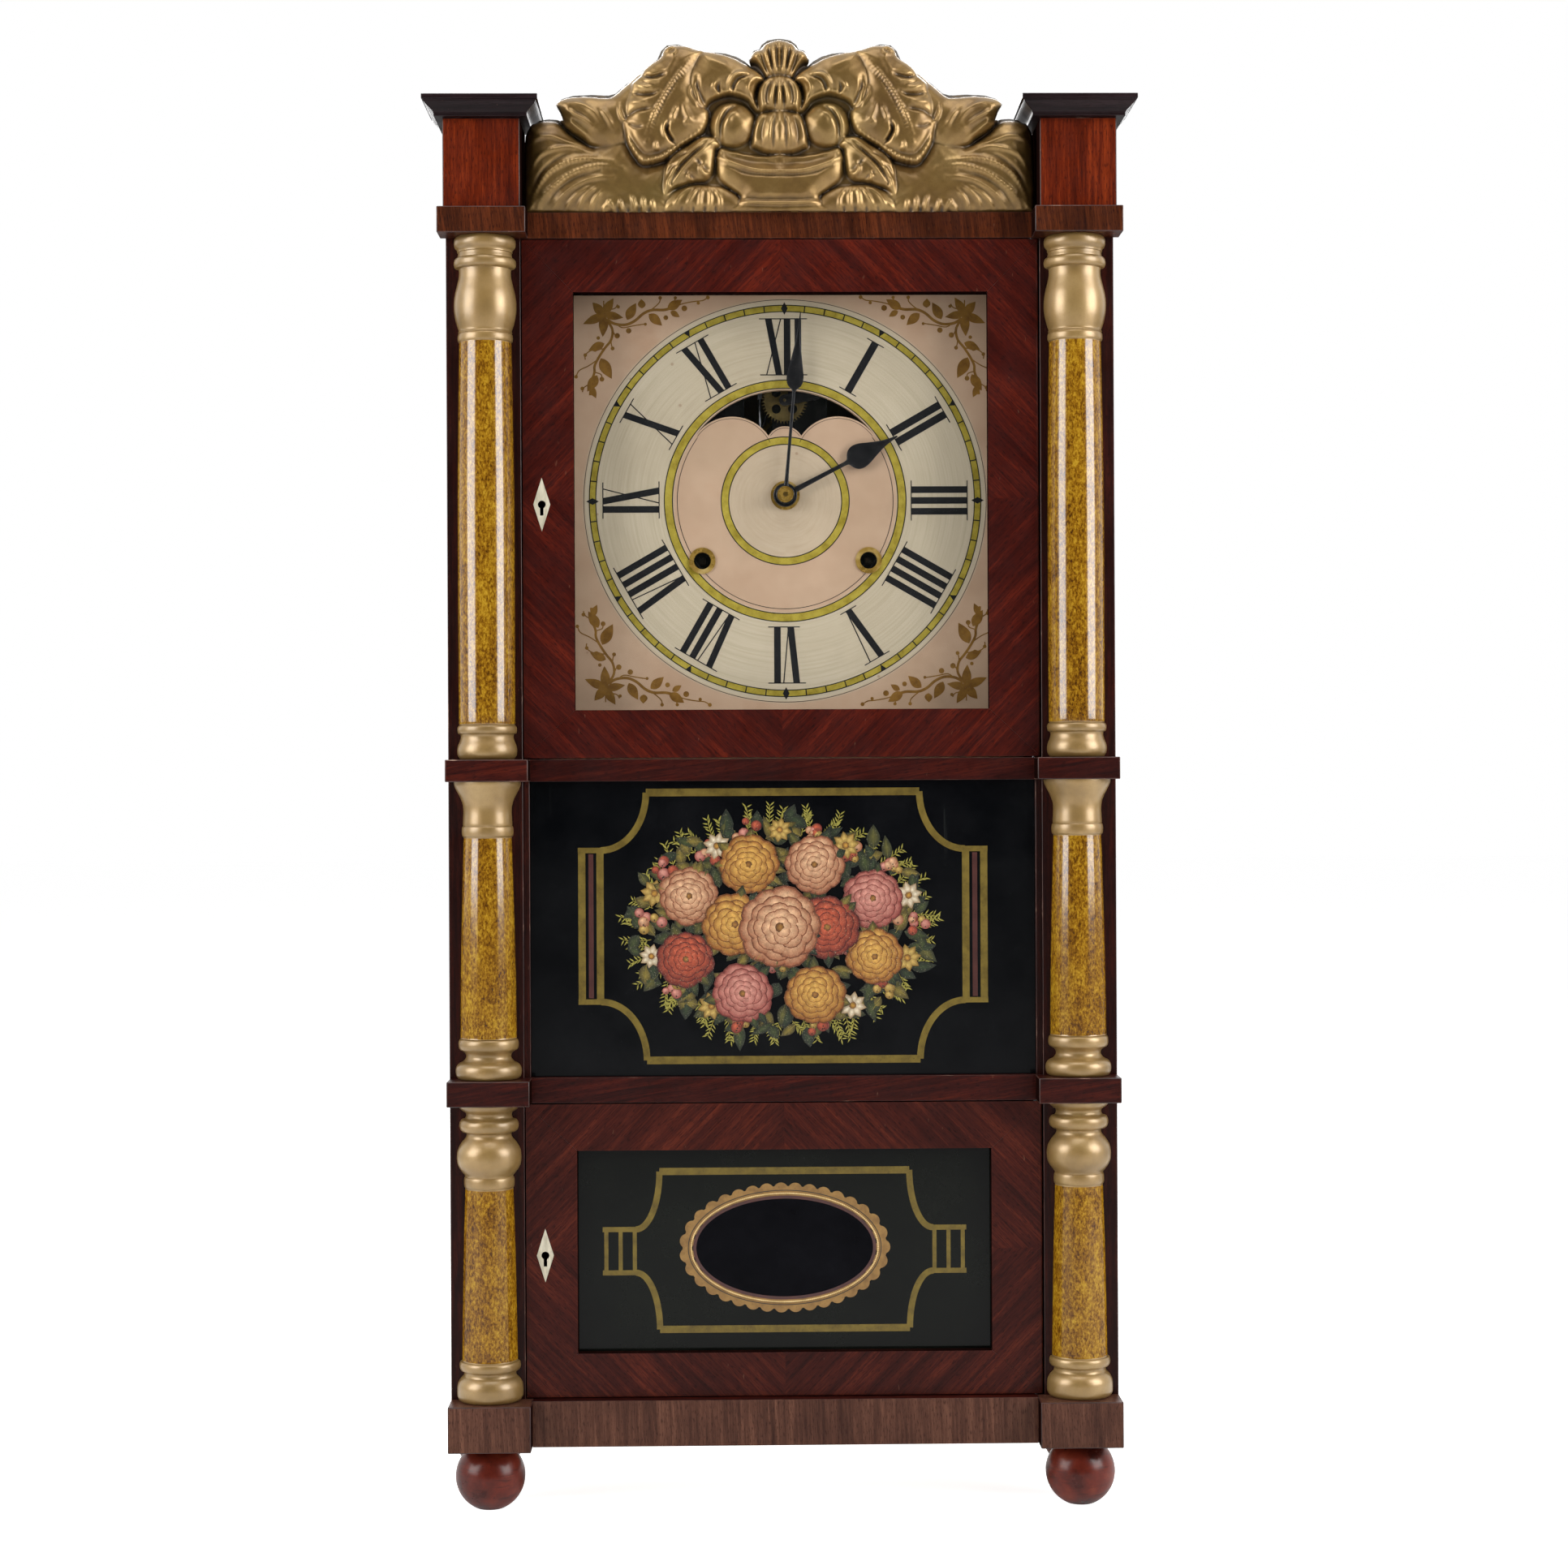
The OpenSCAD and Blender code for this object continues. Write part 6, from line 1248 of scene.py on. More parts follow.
# the thin line inside the inner ring stops at the arched opening, and goes on round its humps
openingHalf = math.radians(54)
ring(lines, dialRings["innerLine"][0] - 1.2, dialRings["innerLine"][1], 0.06, openingHalf,
     math.tau - 2 * openingHalf)
humps = {"across": 34.2, "up": 25.8, "radius": 28.7, "inset": 1.3, "middleUp": 36.0,
         "middleRadius": 12.2, "middleInset": 1.1}


def humpArc(side, across, up, radius, angles):
    return [(dialAt[0] + side * (across + radius * math.sin(a)), dialAt[1] + up + radius * math.cos(a))
            for a in angles]


for side in (-1, 1):
    arc = humpArc(side, humps["across"], humps["up"], humps["radius"] - humps["inset"],
                  np.linspace(-1.12, 0.95, 40))
    lines.band(arc, 0.3, 0.05)
arc = humpArc(1, 0, humps["middleUp"], humps["middleRadius"] - humps["middleInset"],
              np.linspace(-1.0, 1.0, 24))
lines.band(arc, 0.3, 0.054)


def strokes(text):
    # thick and thin strokes of a Roman numeral, as (x at the foot, x at the top, width)
    step = {"I": 7.0, "V": 11.0, "X": 10.4}
    thick = 4.9 if set(text) == {"I"} and len(text) < 3 else 4.3
    x = -sum(step[c] for c in text) / 2
    parts = []
    for letter in text:
        mid = x + step[letter] / 2
        if letter == "I":
            parts.append((mid, mid, thick))
        elif letter == "V":
            parts += [(mid + 0.4, mid - 3.4, thick), (mid + 1.8, mid + 5.0, 0.75)]
        else:
            parts += [(mid + 3.4, mid - 3.4, thick), (mid - 4.6, mid + 4.6, 0.75)]
        x += step[letter]
    return parts


serif = {"reach": 3.8, "half": 0.32}


def numeral(paint, hour, text):
    a = math.radians(hour * 30)
    out, right = np.array((math.sin(a), math.cos(a))), np.array((math.cos(a), -math.sin(a)))
    low, high = dialRings["numerals"]

    def spot(x, v):
        return tuple(np.array(dialAt) + out * v + right * x)

    parts = strokes(text)
    for i, (foot, top, width) in enumerate(parts):
        paint.patch([spot(foot - width / 2, low), spot(foot + width / 2, low),
                     spot(top + width / 2, high), spot(top - width / 2, high)], 0.05 + 0.004 * i)
    for v, ends in ((low, [(f, w) for f, t, w in parts]), (high, [(t, w) for f, t, w in parts])):
        first = min(x - w / 2 for x, w in ends) - serif["reach"]
        last = max(x + w / 2 for x, w in ends) + serif["reach"]
        under, over = v - serif["half"], v + serif["half"]
        paint.patch([spot(first, under), spot(last, under), spot(last, over), spot(first, over)], 0.09)


for hour, text in enumerate(("XII", "I", "II", "III", "IIII", "V", "VI", "VII", "VIII", "IX", "X", "XI")):
    numeral(lines, hour, text)
lines.piece("dial_numerals_and_lines", ink, "case", "dial_paint")


def flatPiece(name, loop, thick):
    # a small loose shape for the ring tree, its face towards the viewer
    bm = bmesh.new()
    top = [bm.verts.new((x / 1000, -thick / 1000, z / 1000)) for x, z in loop]
    low = [bm.verts.new((x / 1000, 0.00002, z / 1000)) for x, z in loop]
    bm.faces.new(top)
    bm.faces.new(low[::-1])
    for i in range(len(loop)):
        j = (i + 1) % len(loop)
        bm.faces.new((top[i], low[i], low[j], top[j]))
    return linked(name, meshFromBm(name, bm, merge=None))


def setRound(name, piece, count, skip, size, centre, face, material, body, slot, sharp=None):
    # a small piece set round an oval of the given half width and half height
    values = {"Piece": piece, "Count": count, "Skip": skip, "Half width": size[0] / 1000,
              "Half height": size[1] / 1000, "Place": [centre[0] / 1000, face / 1000, centre[1] / 1000],
              "Material": material}
    mesh = runTree(ringOf, name, values)
    bpy.data.objects.remove(piece)
    return addPiece(name, mesh, [material], body, (), slot, sharp=sharp)


dialMarks = {  # outline, thickness, how many, and 3 where every third place stays empty
    "minute": ([(-0.38, -2.1), (0.38, -2.1), (0.38, 2.1), (-0.38, 2.1)], 0.09, 60, 0),
    "hour": ([(0, -2.0), (2.1, 2.2), (-2.1, 2.2)], 0.1, 12, 3),
    "quarter": ([(0, -4.1), (2.2, 0), (0, 4.1), (-2.2, 0)], 0.11, 4, 0),
}
for name, (loop, thick, count, skip) in dialMarks.items():
    setRound("dial_" + name + "_marks", flatPiece(name + "Mark", loop, thick), count, skip,
             [dialRings["band"][0]] * 2, dialAt, dialFace, ink, "case", "dial_paint")

spandrels = Paint(dialFace)
# the top left corner's spray, in millimetres from the flower; the other corners mirror it
spray = {
    "flower": (116.5, 120.5),
    "petals": [(-45, 10.7, 5.2), (28, 12.4, 5.0), (96, 12.8, 4.6), (180, 14.4, 5.4), (243, 14.6, 5.0)],
    "stems": [
        [(2, -3), (7, -5.9), (14, -6.5), (20, -4), (25.5, 0.6), (31, 2.9), (38.6, 3), (43, 4)],
        [(3, -4.6), (5.6, -10), (4.6, -16.4), (0.6, -21.6), (-3.3, -27.5), (-6, -33), (-6.2, -37.3),
         (-8, -43), (-9, -52)]],
    "tendrils": [
        [(43, 4), (51, 7), (59, 8.5), (64, 9), (67, 11)], [(29, 2), (33, 5), (36, 8), (36.4, 10.5)],
        [(43, 4.4), (45.5, 7.4), (46, 10.4)], [(8, -6), (12, -8.4), (19, -7.2), (26.6, -6)],
        [(5.6, -10), (7, -13)], [(4.6, -17), (5, -20), (6, -22)],
        [(0, -22), (-8, -23), (-12, -26), (-12, -29)], [(-4, -29), (-10, -33), (-16, -36), (-18, -40)],
        [(-6.2, -37), (-2, -38.5), (-1.4, -41)], [(1.4, 3), (7, 4), (9, 6.6)], [(0, 2), (0, 9)],
        [(-8, -44), (-13, -47), (-14, -50)]],
    "leaves": [
        (15, -3.4, 25, 11.5, 5.2), (24.6, 4, 0, 5.6, 4.2), (29, 0.4, 128, 10.6, 5.0),
        (41, 3.6, 62, 10.5, 5.0), (43, 2, 118, 6.5, 3.2), (0.4, -18.6, 250, 10.4, 4.6),
        (-5.4, -24, 350, 4.4, 3.8), (-2, -28, 156, 14, 6.2), (-4.4, -39, 208, 11.5, 5.4),
        (-8.6, -46, 160, 8, 3.6)],
    "dots": [
        (36.4, 10.8, 1.2), (46.2, 10.8, 1.1), (61, 7.4, 1.1), (67.2, 11, 1.3), (52, 4, 1.9),
        (40, -2, 1.6), (26.8, -6.2, 1.0), (16, -10.4, 1.8), (8.6, -13.6, 1.8), (5.6, -21.8, 1.3),
        (-3.6, -15, 1.2), (-12, -26, 1.2), (-18, -40, 1.2), (-1.4, -41.6, 1.6), (9.4, 5, 1.1),
        (-14, -47.6, 1.3)],
}


def cornerSpray(paint, sx, sz):
    flower = np.array((dialAt[0] + sx * spray["flower"][0], dialAt[1] + sz * spray["flower"][1]))

    def swing(p):
        return tuple(flower + np.array((-sx * p[0], sz * p[1])))

    def turned(loop):
        # mirrored outlines run the other way round
        loop = [swing(p) for p in loop]
        return loop if sx * sz < 0 else loop[::-1]

    for k, stem in enumerate(spray["stems"]):
        paint.band([swing(p) for p in smoothPath(stem, 44)], 1.8 - 0.2 * k, 0.05 + 0.006 * k)
    for k, tendril in enumerate(spray["tendrils"]):
        paint.band([swing(p) for p in smoothPath(tendril, 14)], 0.75, 0.04 + 0.0007 * k)
    for k, (x, z, angle, length, width) in enumerate(spray["leaves"]):
        leaf = leafLoop((x, z), angle, length * 1.08, width * 1.2, bend=0.06 * (-1) ** k)
        paint.patch(turned(leaf), 0.065 + 0.002 * k)
    for k, (x, z, r) in enumerate(spray["dots"]):
        paint.patch(turned(disc(x, z, r, 10)), 0.058 + 0.0005 * k)
    for k, (angle, length, width) in enumerate(spray["petals"]):
        paint.patch(turned(leafLoop((0, 0), angle, length, width * 1.15, bend=0.05)), 0.09 + 0.003 * k)


for sx in (-1, 1):
    for sz in (-1, 1):
        cornerSpray(spandrels, sx, sz)
spandrels.piece("dial_corner_sprays", spandrelGold, "case", "dial_paint")

# Hands: (distance from the arbor, half width), blued black with a swelling towards the tip
handSpecs = {
    "minute_hand": {"body": "minute_arbor", "turn": 5.0, "hub": 6.0, "bore": 2.6, "front": -23.4,
                    "back": -22.4, "outline": [
        (5.6, 1.5), (12, 1.2), (30, 1.05), (60, 0.95), (66.6, 1.1), (68.2, 2.0), (69.6, 3.8),
        (71.6, 4.9), (74, 5.4), (77, 5.4), (80, 4.9), (84.3, 4.1), (90, 3.1), (97, 1.95),
        (104.4, 1.1), (111.6, 0.6), (117.6, 0.25)]},
    "hour_hand": {"body": "hour_pipe", "turn": 62.5, "hub": 7.6, "bore": 5.3, "front": -20.0,
                  "back": -19.0, "outline": [
        (7.2, 1.8), (20, 1.5), (38, 1.3), (44.6, 1.4), (46.0, 2.4), (47.2, 4.6), (49, 6.6),
        (51.6, 7.8), (54.4, 8.0), (58, 7.2), (62.8, 5.3), (67, 3.7), (71, 2.4), (76, 1.3),
        (81.6, 0.5)]},
}
arborAt = (3.0, 644.0)


def bladeRows(spec, vert):
    # a flat blade with a low crown, seven points across the front and two at the back
    rows = []
    for d, w in smoothPath(spec["outline"], 70):
        w = max(w, 0.2)
        crown = min(0.22, w * 0.1)
        front = []
        for k in (-1, -0.86, -0.45, 0, 0.45, 0.86, 1):
            y = spec["front"] + 0.25 - (0.12 + crown * (1 - k * k)) + 0.25 * abs(k) ** 6
            front.append(vert(d, w * k, y))
        rows.append(front + [vert(d, w, spec["back"]), vert(d, -w, spec["back"])])
    return rows


def washerRows(spec, bm, count=64):
    # the ring at the hand's foot, round the pipe
    bore, hub, front, back = (spec[key] for key in ("bore", "hub", "front", "back"))
    profile = [(bore, back), (bore, front + 0.15), (bore + 0.3, front - 0.02), (hub - 0.5, front - 0.05),
               (hub, front + 0.3), (hub, back)]
    rows = []
    for k in range(count):
        t = k * math.tau / count
        rows.append([bm.verts.new(((arborAt[0] + r * math.sin(t)) / 1000, y / 1000,
                                   (arborAt[1] + r * math.cos(t)) / 1000)) for r, y in profile])
    return rows


def clockHand(name, spec):
    a = math.radians(spec["turn"])
    along, across = np.array((math.sin(a), math.cos(a))), np.array((math.cos(a), -math.sin(a)))
    bm = bmesh.new()

    def vert(d, w, y):
        x, z = np.array(arborAt) + along * d + across * w
        return bm.verts.new((x / 1000, y / 1000, z / 1000))

    blade = bladeRows(spec, vert)
    for r0, r1 in zip(blade, blade[1:]):
        for k in range(9):
            bm.faces.new((r0[k], r1[k], r1[(k + 1) % 9], r0[(k + 1) % 9]))
    bm.faces.new(blade[0])
    bm.faces.new(blade[-1][::-1])
    washer = washerRows(spec, bm)
    for r0, r1 in zip(washer, washer[1:] + washer[:1]):
        for j in range(6):
            bm.faces.new((r0[j], r1[j], r1[(j + 1) % 6], r0[(j + 1) % 6]))
    mesh = meshFromBm(name + "_blade", bm, merge=None)
    addPiece(name + "_blade", mesh, [metals["blackSteel"]], spec["body"], (name,), "black_steel", sharp=35)


for name, spec in handSpecs.items():
    clockHand(name, spec)
print("stage: dial painted")


# Middle tablet
tabletSpec = {"face": frontFace + 6.0, "half": 128.1, "top": 452.7, "bottom": 282.1, "line": 4.9,
              "cut": 41.0, "sideTop": 416.0, "sideBottom": 319.5, "sideWide": 11.6}


def steppedFrame(paint, s, red=None):
    # top and bottom lines joined by hollow corners to double bars at the sides
    half, line, cut = s["half"], s["line"], s["cut"]
    sideTop, sideBottom = s["sideTop"], s["sideBottom"]
    inner = half - s["sideWide"]
    for side, level in ((sideTop, s["top"]), (sideBottom, s["bottom"])):
        paint.band([(-half + cut, level), (half - cut, level)], line, 0.05)
        for sx in (-1, 1):
            arc = [(sx * (inner - 0.5 + (half - cut - inner + 0.5) * math.sin(a)),
                    side + (level - side) * (1 - math.cos(a))) for a in np.linspace(0, math.pi / 2, 18)]
            paint.band(arc, line * 0.86, 0.056)
            paint.band([(sx * (half + line / 2), side), (sx * (inner - line / 2), side)], line * 0.7, 0.061)
    for sx in (-1, 1):
        for k, x in enumerate(s.get("bars", (half, inner))):
            width = s.get("bar", line * 0.94)
            paint.band([(sx * x, sideBottom), (sx * x, sideTop)], width, 0.066 + 0.002 * k)
        if red:
            x = sx * (half + inner) / 2
            red.band([(x, sideBottom + 2.4), (x, sideTop - 2.4)], 3.2, 0.045)


frameGold, frameRed = Paint(tabletSpec["face"]), Paint(tabletSpec["face"])
steppedFrame(frameGold, tabletSpec, frameRed)
frameGold.piece("middle_tablet_gold_lines", tabletGold, "case", "painted_glass")
frameRed.piece("middle_tablet_red_lines", tabletRed, "case", "painted_glass")

# a garland of round rosettes, berries and sprigs, laid in a long oval; places are from its centre
garlandSpec = {
    "centre": (-2.0, 366.5), "half": (92.0, 66.0), "seed": 11, "sprigs": 74,
    "leafRings": ((1.0, 84), (0.84, 60), (0.62, 44), (0.36, 26)),
    "berries": ((-84, 4), (84, 2), (-70, 38), (70, 38), (-66, -36), (66, -38), (-22, 60), (24, 60),
                (-26, -60), (24, -60), (0, 20), (-30, 2), (30, 0), (-48, -14), (50, -14), (0, -22),
                (-44, 48), (46, 46)),
    "daisies": ((-80, 22, 9, "gold"), (82, 20, 9, "cream"), (-82, -18, 8, "cream"), (81, -20, 9, "gold"),
                (-40, 52, 9, "cream"), (42, 52, 9, "gold"), (-44, -50, 9, "gold"), (46, -50, 9, "cream"),
                (0, 62, 8, "gold")),
    "rosettes": ((-58, 20, 17, "peach"), (59, 18, 17, "rose"), (-60, -20, 16, "red"),
                 (60, -19, 16, "amber"), (-20, 40, 17, "amber"), (22, 40, 17, "peach"),
                 (-24, -42, 17, "rose"), (22, -43, 17, "amber"), (-29, 2, 18, "amber"),
                 (30, 0, 18, "red"), (0, 0, 23, "peach")),
}
petalTones = {
    "peach": (tone(150, 84, 52), tone(236, 190, 146)),
    "rose": (tone(140, 58, 50), tone(226, 158, 140)),
    "amber": (tone(140, 78, 20), tone(228, 178, 86)),
    "red": (tone(104, 30, 22), tone(206, 96, 62)),
    "gold": (tone(126, 92, 24), tone(216, 182, 98)),
    "cream": (tone(150, 120, 80), tone(240, 226, 196)),
}
leafTones = [(tone(16, 24, 12), tone(66, 76, 34)), (tone(26, 32, 14), tone(100, 96, 40)),
             (tone(60, 52, 16), tone(140, 122, 48)), (tone(14, 22, 14), tone(48, 62, 34))]


class Garland:
    # flowers and leaves laid one over the other, each a hair higher than the last
    def __init__(self, paint, spec):
        self.paint, self.spec = paint, spec
        self.random = random.Random(spec["seed"])
        self.level = 0.06

    def lift(self, step):
        self.level += step
        return self.level

    def leaf(self, x, z, angle, length, width):
        dark, light = self.random.choice(leafTones)
        loop = leafLoop((x, z), angle, length, width, 9, self.random.uniform(-0.1, 0.1))
        self.paint.patch(loop, self.lift(0.0014), dark, light)
        a = math.radians(angle)
        tip = (x + math.sin(a) * length * 0.8, z + math.cos(a) * length * 0.8)
        self.paint.band([(x, z), tip], 0.35, self.level + 0.014, light)

    def sprig(self, x, z, angle, length):
        # thin gold stem with paired needles
        a = math.radians(angle)
        bend = self.random.uniform(-0.25, 0.25)
        path = [(x + length * t * math.sin(a + bend * t), z + length * t * math.cos(a + bend * t))
                for t in np.linspace(0, 1, 8)]
        self.paint.band(path, 0.45, self.lift(0.0008), tone(150, 136, 48))
        for root in path[1:]:
            for sign in (-1, 1):
                loop = leafLoop(root, angle + sign * self.random.uniform(32, 58), 4.2, 1.0, 3)
                rise = self.level + 0.003 + 0.0004 * sign
                self.paint.patch(loop, rise, tone(128, 124, 44), tone(176, 164, 70))

    def berry(self, x, z, r, shade):
        rim, heart = petalTones[shade]
        self.paint.patch(disc(x, z, r, 16), self.lift(0.002), rim, heart, (x - r * 0.3, z + r * 0.35))
        eye = [(x + r * 0.2 * math.cos(a), z - r * 0.55 + r * 0.2 * math.sin(a))
               for a in (0, 1.57, 3.14, 4.71)]
        self.paint.patch(eye, self.level + 0.016, tone(60, 34, 20))

    def petal(self, x, z, middle, size, n, shade):
        # one petal of ring n: a dark edge, and the shaded petal on it
        rim, heart = petalTones[shade]
        turns = [q * math.tau / 12 for q in range(12)]
        loop = [(x + size * math.cos(a), z + size * 0.94 * math.sin(a)) for a in turns]
        wide = [(x + (p[0] - x) * 1.1, z + (p[1] - z) * 1.1) for p in loop]
        self.paint.patch(wide, self.lift(0.0009), [c * (0.55 + 0.09 * n) for c in rim[:3]] + [1])
        blend = [c * (1 - 0.12 * n) + d * 0.12 * n for c, d in zip(rim, heart)]
        glow = (x + (x - middle[0]) * 0.16, z + (z - middle[1]) * 0.16 + size * 0.25)
        self.paint.patch(loop, self.lift(0.0009), blend, heart, glow)

    def rosette(self, x, z, r, shade, rings=5):
        lean = self.random.uniform(0, 360)
        for n in range(rings):
            share = 1 - n / rings
            count = 10 - n
            for k in range(count):
                a = math.radians(lean + (k + 0.5 * (n % 2)) * 360 / count + 11 * n)
                reach = r * 0.66 * share
                size = r * (0.36 * share + 0.10) * self.random.uniform(0.9, 1.1)
                self.petal(x + reach * math.sin(a), z + reach * math.cos(a), (x, z), size, n, shade)
        self.paint.patch(disc(x, z, r * 0.14, 10), self.lift(0.004), tone(84, 40, 18), tone(176, 124, 52))

    def daisy(self, x, z, r, shade):
        rim, heart = petalTones[shade]
        lean = self.random.uniform(0, 360)
        for k in range(8):
            loop = leafLoop((x, z), lean + k * 45, r, r * 0.62, 6)
            self.paint.patch(loop, self.lift(0.001), rim, heart)
        self.paint.patch(disc(x, z, r * 0.26, 12), self.lift(0.003), tone(96, 50, 20), tone(214, 160, 60))

    def around(self, t, share):
        # a place on the oval, and the way that looks outwards there
        (cx, cz), (wide, high) = self.spec["centre"], self.spec["half"]
        out = math.degrees(math.atan2(math.sin(t) * high, math.cos(t) * wide))
        return cx + wide * share * math.sin(t), cz + high * share * math.cos(t), out

    def lay(self):
        cx, cz = self.spec["centre"]
        pick = self.random
        sprigs = self.spec["sprigs"]
        for k in range(sprigs):
            x, z, out = self.around(k / sprigs * math.tau, 0.9)
            self.sprig(x, z, out + pick.uniform(-38, 38), pick.uniform(11, 19))
        for share, number in self.spec["leafRings"]:
            for k in range(number):
                turn = k / number * math.tau + pick.uniform(-0.06, 0.06)
                x, z, out = self.around(turn, share * pick.uniform(0.86, 1.0))
                self.leaf(x, z, out + pick.uniform(-80, 80), pick.uniform(10, 18), pick.uniform(5.5, 9))
        for x, z in self.spec["berries"]:
            for k in range(8):
                a, d = pick.uniform(0, math.tau), pick.uniform(0, 9.5)
                self.berry(cx + x + d * math.cos(a), cz + z + d * 0.8 * math.sin(a),
                           pick.uniform(2.2, 3.8), pick.choice(("rose", "red", "red", "gold", "peach")))
        for x, z, r, shade in self.spec["daisies"]:
            self.daisy(cx + x, cz + z, r, shade)
        for x, z, r, shade in self.spec["rosettes"]:
            for k in range(6):
                angle = pick.uniform(0, 360)
                a = math.radians(angle)
                self.leaf(cx + x + 0.7 * r * math.sin(a), cz + z + 0.7 * r * math.cos(a), angle,
                          pick.uniform(10, 14), pick.uniform(6, 8))
            self.rosette(cx + x, cz + z, r, shade)


garlandPaint = Paint(tabletSpec["face"])
Garland(garlandPaint, garlandSpec).lay()
garlandPaint.piece("middle_tablet_garland", ornamentPaint, "case", "painted_glass")
print("stage: middle tablet painted")


# Lower tablet
lowerSpec = {"face": frontFace + 8.0, "half": 113.7, "top": 211.0, "bottom": 110.3, "line": 4.6,
             "cut": 34.0, "sideTop": 174.2, "sideBottom": 146.6, "sideWide": 18.4,
             "bars": (113.7, 104.6, 95.6), "bar": 2.6}
ovalSpec = {"centre": (0.0, 162.0), "glass": (56.4, 31.2), "beads": (59.6, 34.6), "border": (62.7, 36.8),
            "scallop": 4.7, "scallops": 35, "beadCount": 250}
lowerGold = Paint(lowerSpec["face"])
steppedFrame(lowerGold, lowerSpec)
lowerGold.piece("lower_tablet_gold_lines", tabletGold, "lower_door", "painted_glass")


def ovalBand(name, size, outset, width, rise, material):
    # a painted line round the oval, some way out from the given half width and half height
    paint = Paint(lowerSpec["face"])
    line = ovalPath(ovalSpec["centre"], size[0] + outset, size[1] + outset, 200)
    paint.band(line, width, rise, closed=True)
    paint.piece(name, material, "lower_door", "painted_glass")


ovalBand("lower_tablet_oval_border", ovalSpec["border"], -0.6, 6.0, 0.10, ovalGold)
scallop = [(ovalSpec["scallop"] * math.sin(a), ovalSpec["scallop"] * math.cos(a))
           for a in np.linspace(0, math.tau, 25)[:-1]]
setRound("lower_tablet_scallops", flatPiece("scallop", scallop[::-1], 0.085), ovalSpec["scallops"], 0,
         ovalSpec["border"], ovalSpec["centre"], lowerSpec["face"], ovalGold, "lower_door",
         "painted_glass")
ovalBand("lower_tablet_oval_line", ovalSpec["beads"], 1.9, 0.5, 0.13, ink)
ovalBand("lower_tablet_oval_edge", ovalSpec["glass"], 0.9, 2.2, 0.12, tabletRed)
# the oval is clear glass with the dark inside of the case behind it; a near-black patch is laid over it as
# painted shade
ovalShadePatch = Paint(lowerSpec["face"])
ovalShadePatch.patch(ovalPath(ovalSpec["centre"], *ovalSpec["glass"], 120), 0.15, tone(8, 8, 12))
ovalShadePatch.piece("lower_tablet_oval_glass", ovalDark, "lower_door", "painted_glass")


def smallBead(name, radius):
    bm = bmesh.new()
    bmesh.ops.create_uvsphere(bm, u_segments=8, v_segments=5, radius=radius / 1000)
    return linked(name, meshFromBm(name, bm))


setRound("lower_tablet_bead_ring", smallBead("bead", 0.6), ovalSpec["beadCount"], 0, ovalSpec["beads"],
         ovalSpec["centre"], lowerSpec["face"] - 0.25, beadGold, "lower_door", "painted_glass", sharp=80)
print("stage: lower tablet painted")


# Finishes of the CAD pieces that stay
dressing = (
    (pine, ("back_board", "end_boards", "case_cleats")),
    (middleBlack, ("middle_tablet",)),
    (lowerBlack, ("lower_door_glass",)),
    (doorGlass, ("upper_door_glass",)),
    (dialCream, ("dial_plate",)),
    (metals["plainSteel"], ("door_pins", "pendulum_rod", "hammer", "upper_bolt", "lower_bolt")),
    (metals["blackSteel"], ("minute_hand", "hour_hand", "verge", "front_plate")),
    (metals["castIron"], ("gong", "pulley_brackets", "time_weight", "strike_weight", "time_drum",
                          "strike_drum", "upper_lock", "lower_lock")),
    (metals["polishedBrass"], ("dial_grommets", "hand_nut")),
    (metals["dullBrass"], ("escape_wheel", "back_plate")),
    (cordFinish, ("cord_runs", "time_cord_fall", "strike_cord_fall")),
)
finishOf = {node: finish for finish, nodes in dressing for node in nodes}
for node in cadNodes:
    if not cadNodes[node].hide_render:
        dress(node, finishOf.get(node, metals["agedBrass"]))
print("stage: CAD pieces finished")


# Cords of the weights
fallSpec = {"strands": 3, "lay": 14.0, "relief": 0.12, "step": 2.4, "around": 12}


def fallingCord(name, spec):
    # three strands laid round each other, from the weight's hook up to the pulley
    low, high = (Vector(corner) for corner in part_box(name))
    middle, radius = (low + high) / 2, (high.x - low.x) / 2
    rows = int((high.z - low.z) * 1000 / spec["step"])
    bm = bmesh.new()
    loops = []
    for i in range(rows + 1):
        z = low.z + (high.z - low.z) * i / rows
        turn = z * 1000 / spec["lay"] * math.tau
        loop = []
        for k in range(spec["around"]):
            a = k * math.tau / spec["around"]
            r = radius * (1 - spec["relief"] * (1 - math.cos(spec["strands"] * a - turn)))
            loop.append(bm.verts.new((middle.x + r * math.cos(a), middle.y + r * math.sin(a), z)))
        loops.append(loop)
    for lower, upper in zip(loops, loops[1:]):
        for k in range(spec["around"]):
            n = (k + 1) % spec["around"]
            bm.faces.new((lower[k], lower[n], upper[n], upper[k]))
    bm.faces.new(loops[0][::-1])
    bm.faces.new(loops[-1])
    mesh = meshFromBm(name + "_laid", bm, merge=None)
    cord = addPiece(name + "_laid", mesh, [cordFinish], "case", (name,), "cord", sharp=60)
    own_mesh(cord)


fallingCord("time_cord_fall", fallSpec)
fallingCord("strike_cord_fall", fallSpec)
print("stage: cords laid")


# Floor, world and lights
stageSpec = {"white": 1.0, "behindCamera": 0.03, "ambient": 0.16, "floorTone": 0.86, "floorGlow": 0.84,
             "floorHalf": 14}


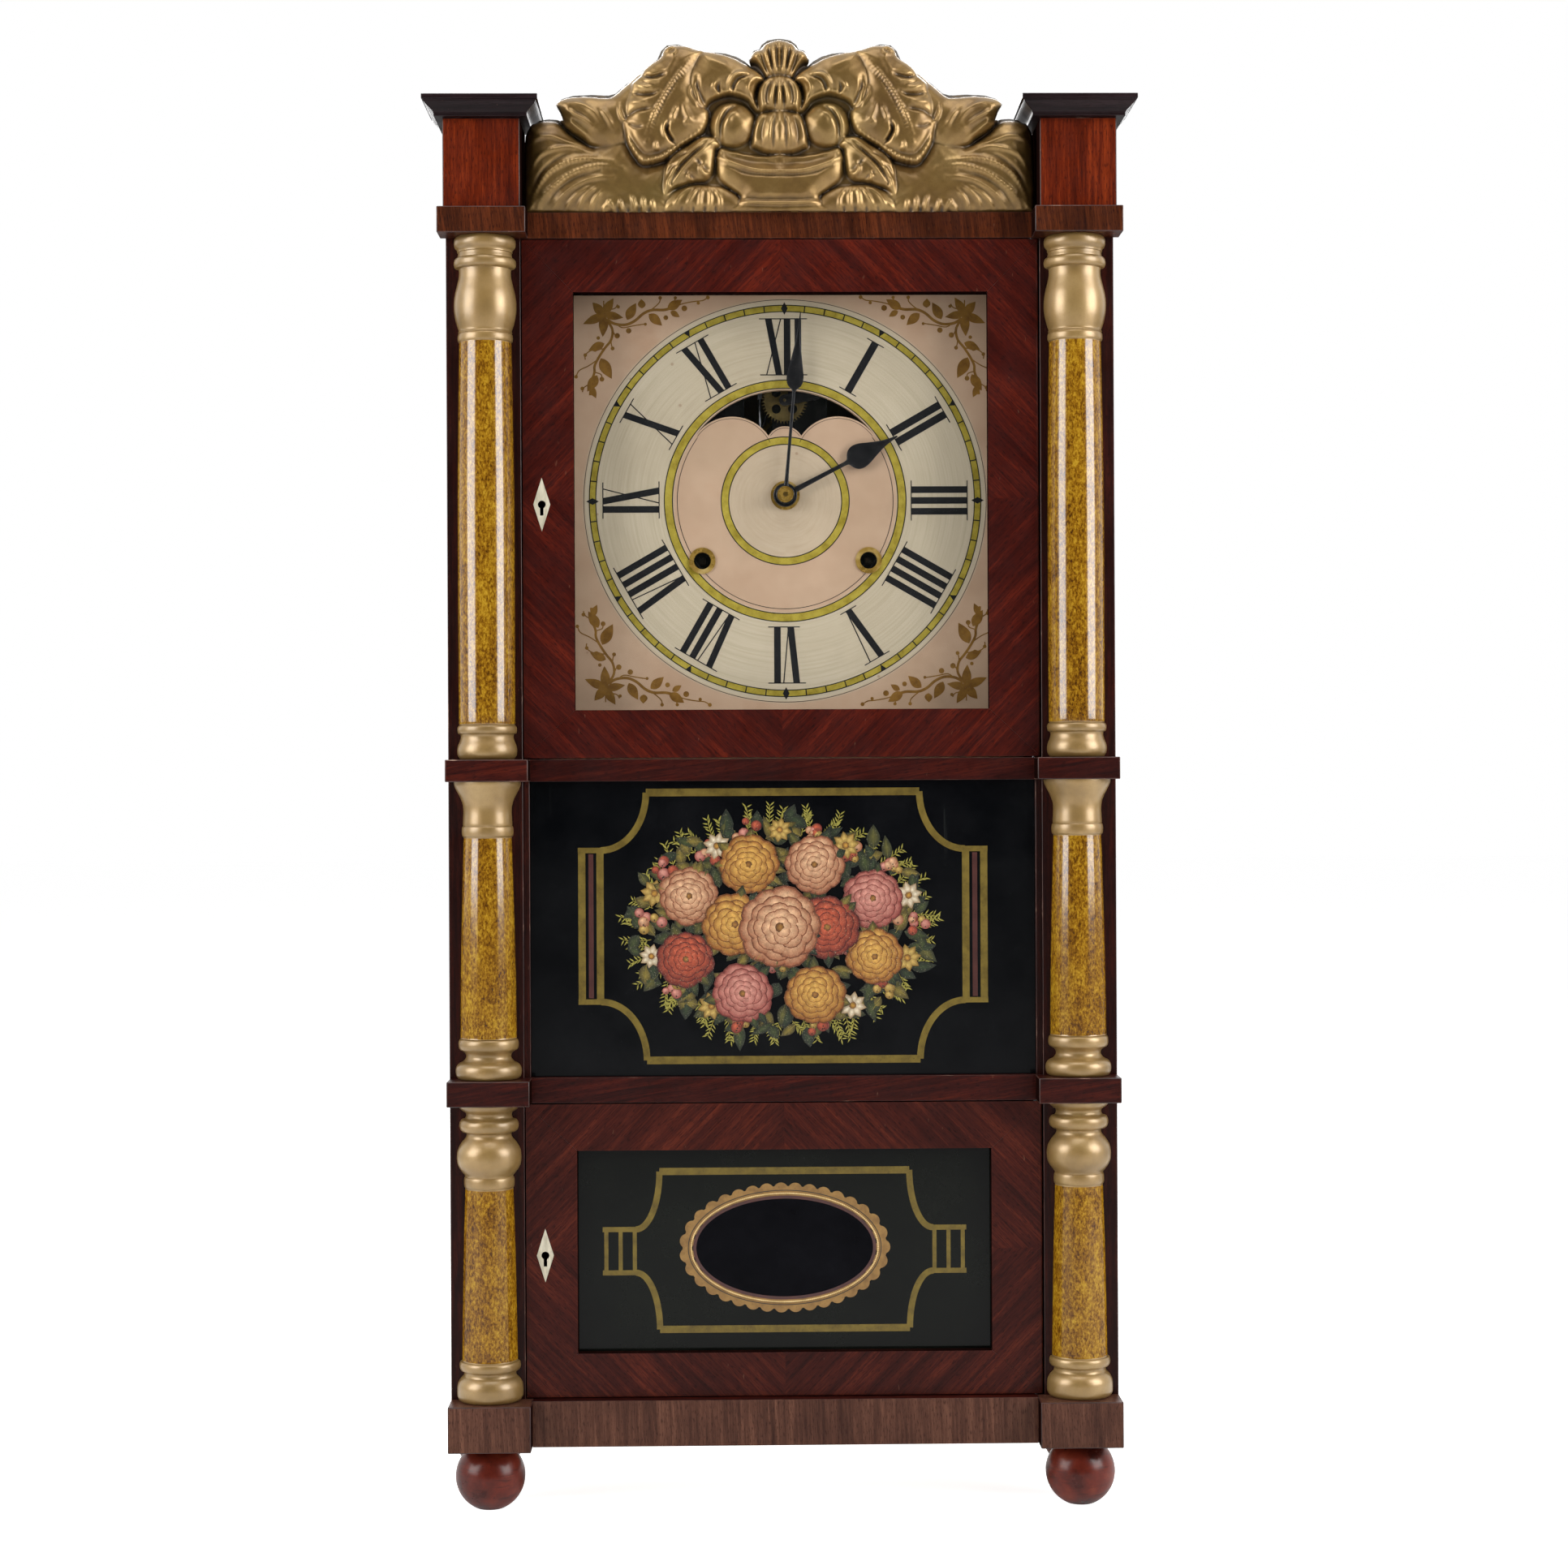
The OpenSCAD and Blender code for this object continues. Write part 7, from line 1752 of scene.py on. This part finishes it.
def makeFloor(spec):
    bm = bmesh.new()
    bmesh.ops.create_grid(bm, x_segments=1, y_segments=1, size=spec["floorHalf"])
    floor = linked("paleFloor", meshFromBm("paleFloor", bm, outward=False))
    f = Finish("paleFloor", Roughness=0.9, Specular_IOR_Level=0.1)
    f.put(f.shader.inputs["Base Color"], (*[spec["floorTone"]] * 3, 1))
    # it glows for the camera alone, so it looks white and doesn't light the clock
    seen = f.step("ShaderNodeLightPath").outputs["Is Camera Ray"]
    strength = f.sum("MULTIPLY", seen, spec["floorGlow"])
    glow = f.step("ShaderNodeEmission", {"Color": (1, 1, 1, 1), "Strength": strength}).outputs[0]
    both = f.step("ShaderNodeAddShader", {0: f.shader.outputs[0], 1: glow}).outputs[0]
    f.put(f.tree.nodes["Material Output"].inputs["Surface"], both)
    floor.data.materials.append(f.material)


def makeWorld(spec):
    # white to the camera and through glass, dim as a light, and dark in what the varnish mirrors in front
    world = bpy.data.worlds.new("studio")
    scene.world = world
    world.use_nodes = True
    world.node_tree.nodes.clear()
    w = Nodes(world.node_tree)
    path = w.step("ShaderNodeLightPath").outputs
    seen = w.sum("MAXIMUM", path["Is Camera Ray"], path["Is Transmission Ray"])
    way = w.split(w.step("ShaderNodeTexCoord").outputs["Generated"])
    mirrored = w.spread(way["Y"], -0.55, 0.35, spec["behindCamera"], 0.9)
    unseen = w.step("ShaderNodeMix", {0: path["Is Glossy Ray"], 2: spec["ambient"], 3: mirrored})
    level = w.step("ShaderNodeMix", {0: seen, 2: unseen.outputs[0], 3: spec["white"]})
    back = w.step("ShaderNodeBackground", {"Color": (1, 1, 1, 1), "Strength": level.outputs[0]})
    w.put(w.step("ShaderNodeOutputWorld").inputs["Surface"], back.outputs[0])


lamps = {
    "leftBox": {"at": (-1.72, -0.95, 1.1), "size": (1.2, 1.5), "power": 36},
    "rightBox": {"at": (1.76, -1.0, 1.12), "size": (1.25, 1.5), "power": 42},
    "overhead": {"at": (0.0, -0.7, 2.3), "size": (1.4, 0.9), "power": 12},
    "behind": {"at": (0.0, 2.0, 1.5), "size": (1.6, 1.2), "power": 34},
}


def makeLamp(name, spec):
    data = bpy.data.lights.new(name, "AREA")
    data.shape, data.size, data.size_y = "RECTANGLE", *spec["size"]
    data.energy = spec["power"]
    lamp = linked(name, data)
    lamp.location = spec["at"]
    aim = Vector((0, 0, 0.48)) - Vector(spec["at"])
    lamp.rotation_euler = aim.to_track_quat("-Z", "Y").to_euler()


makeFloor(stageSpec)
makeWorld(stageSpec)
for name, spec in lamps.items():
    makeLamp(name, spec)
scene.view_settings.view_transform = "Standard"
print("stage: studio ready")
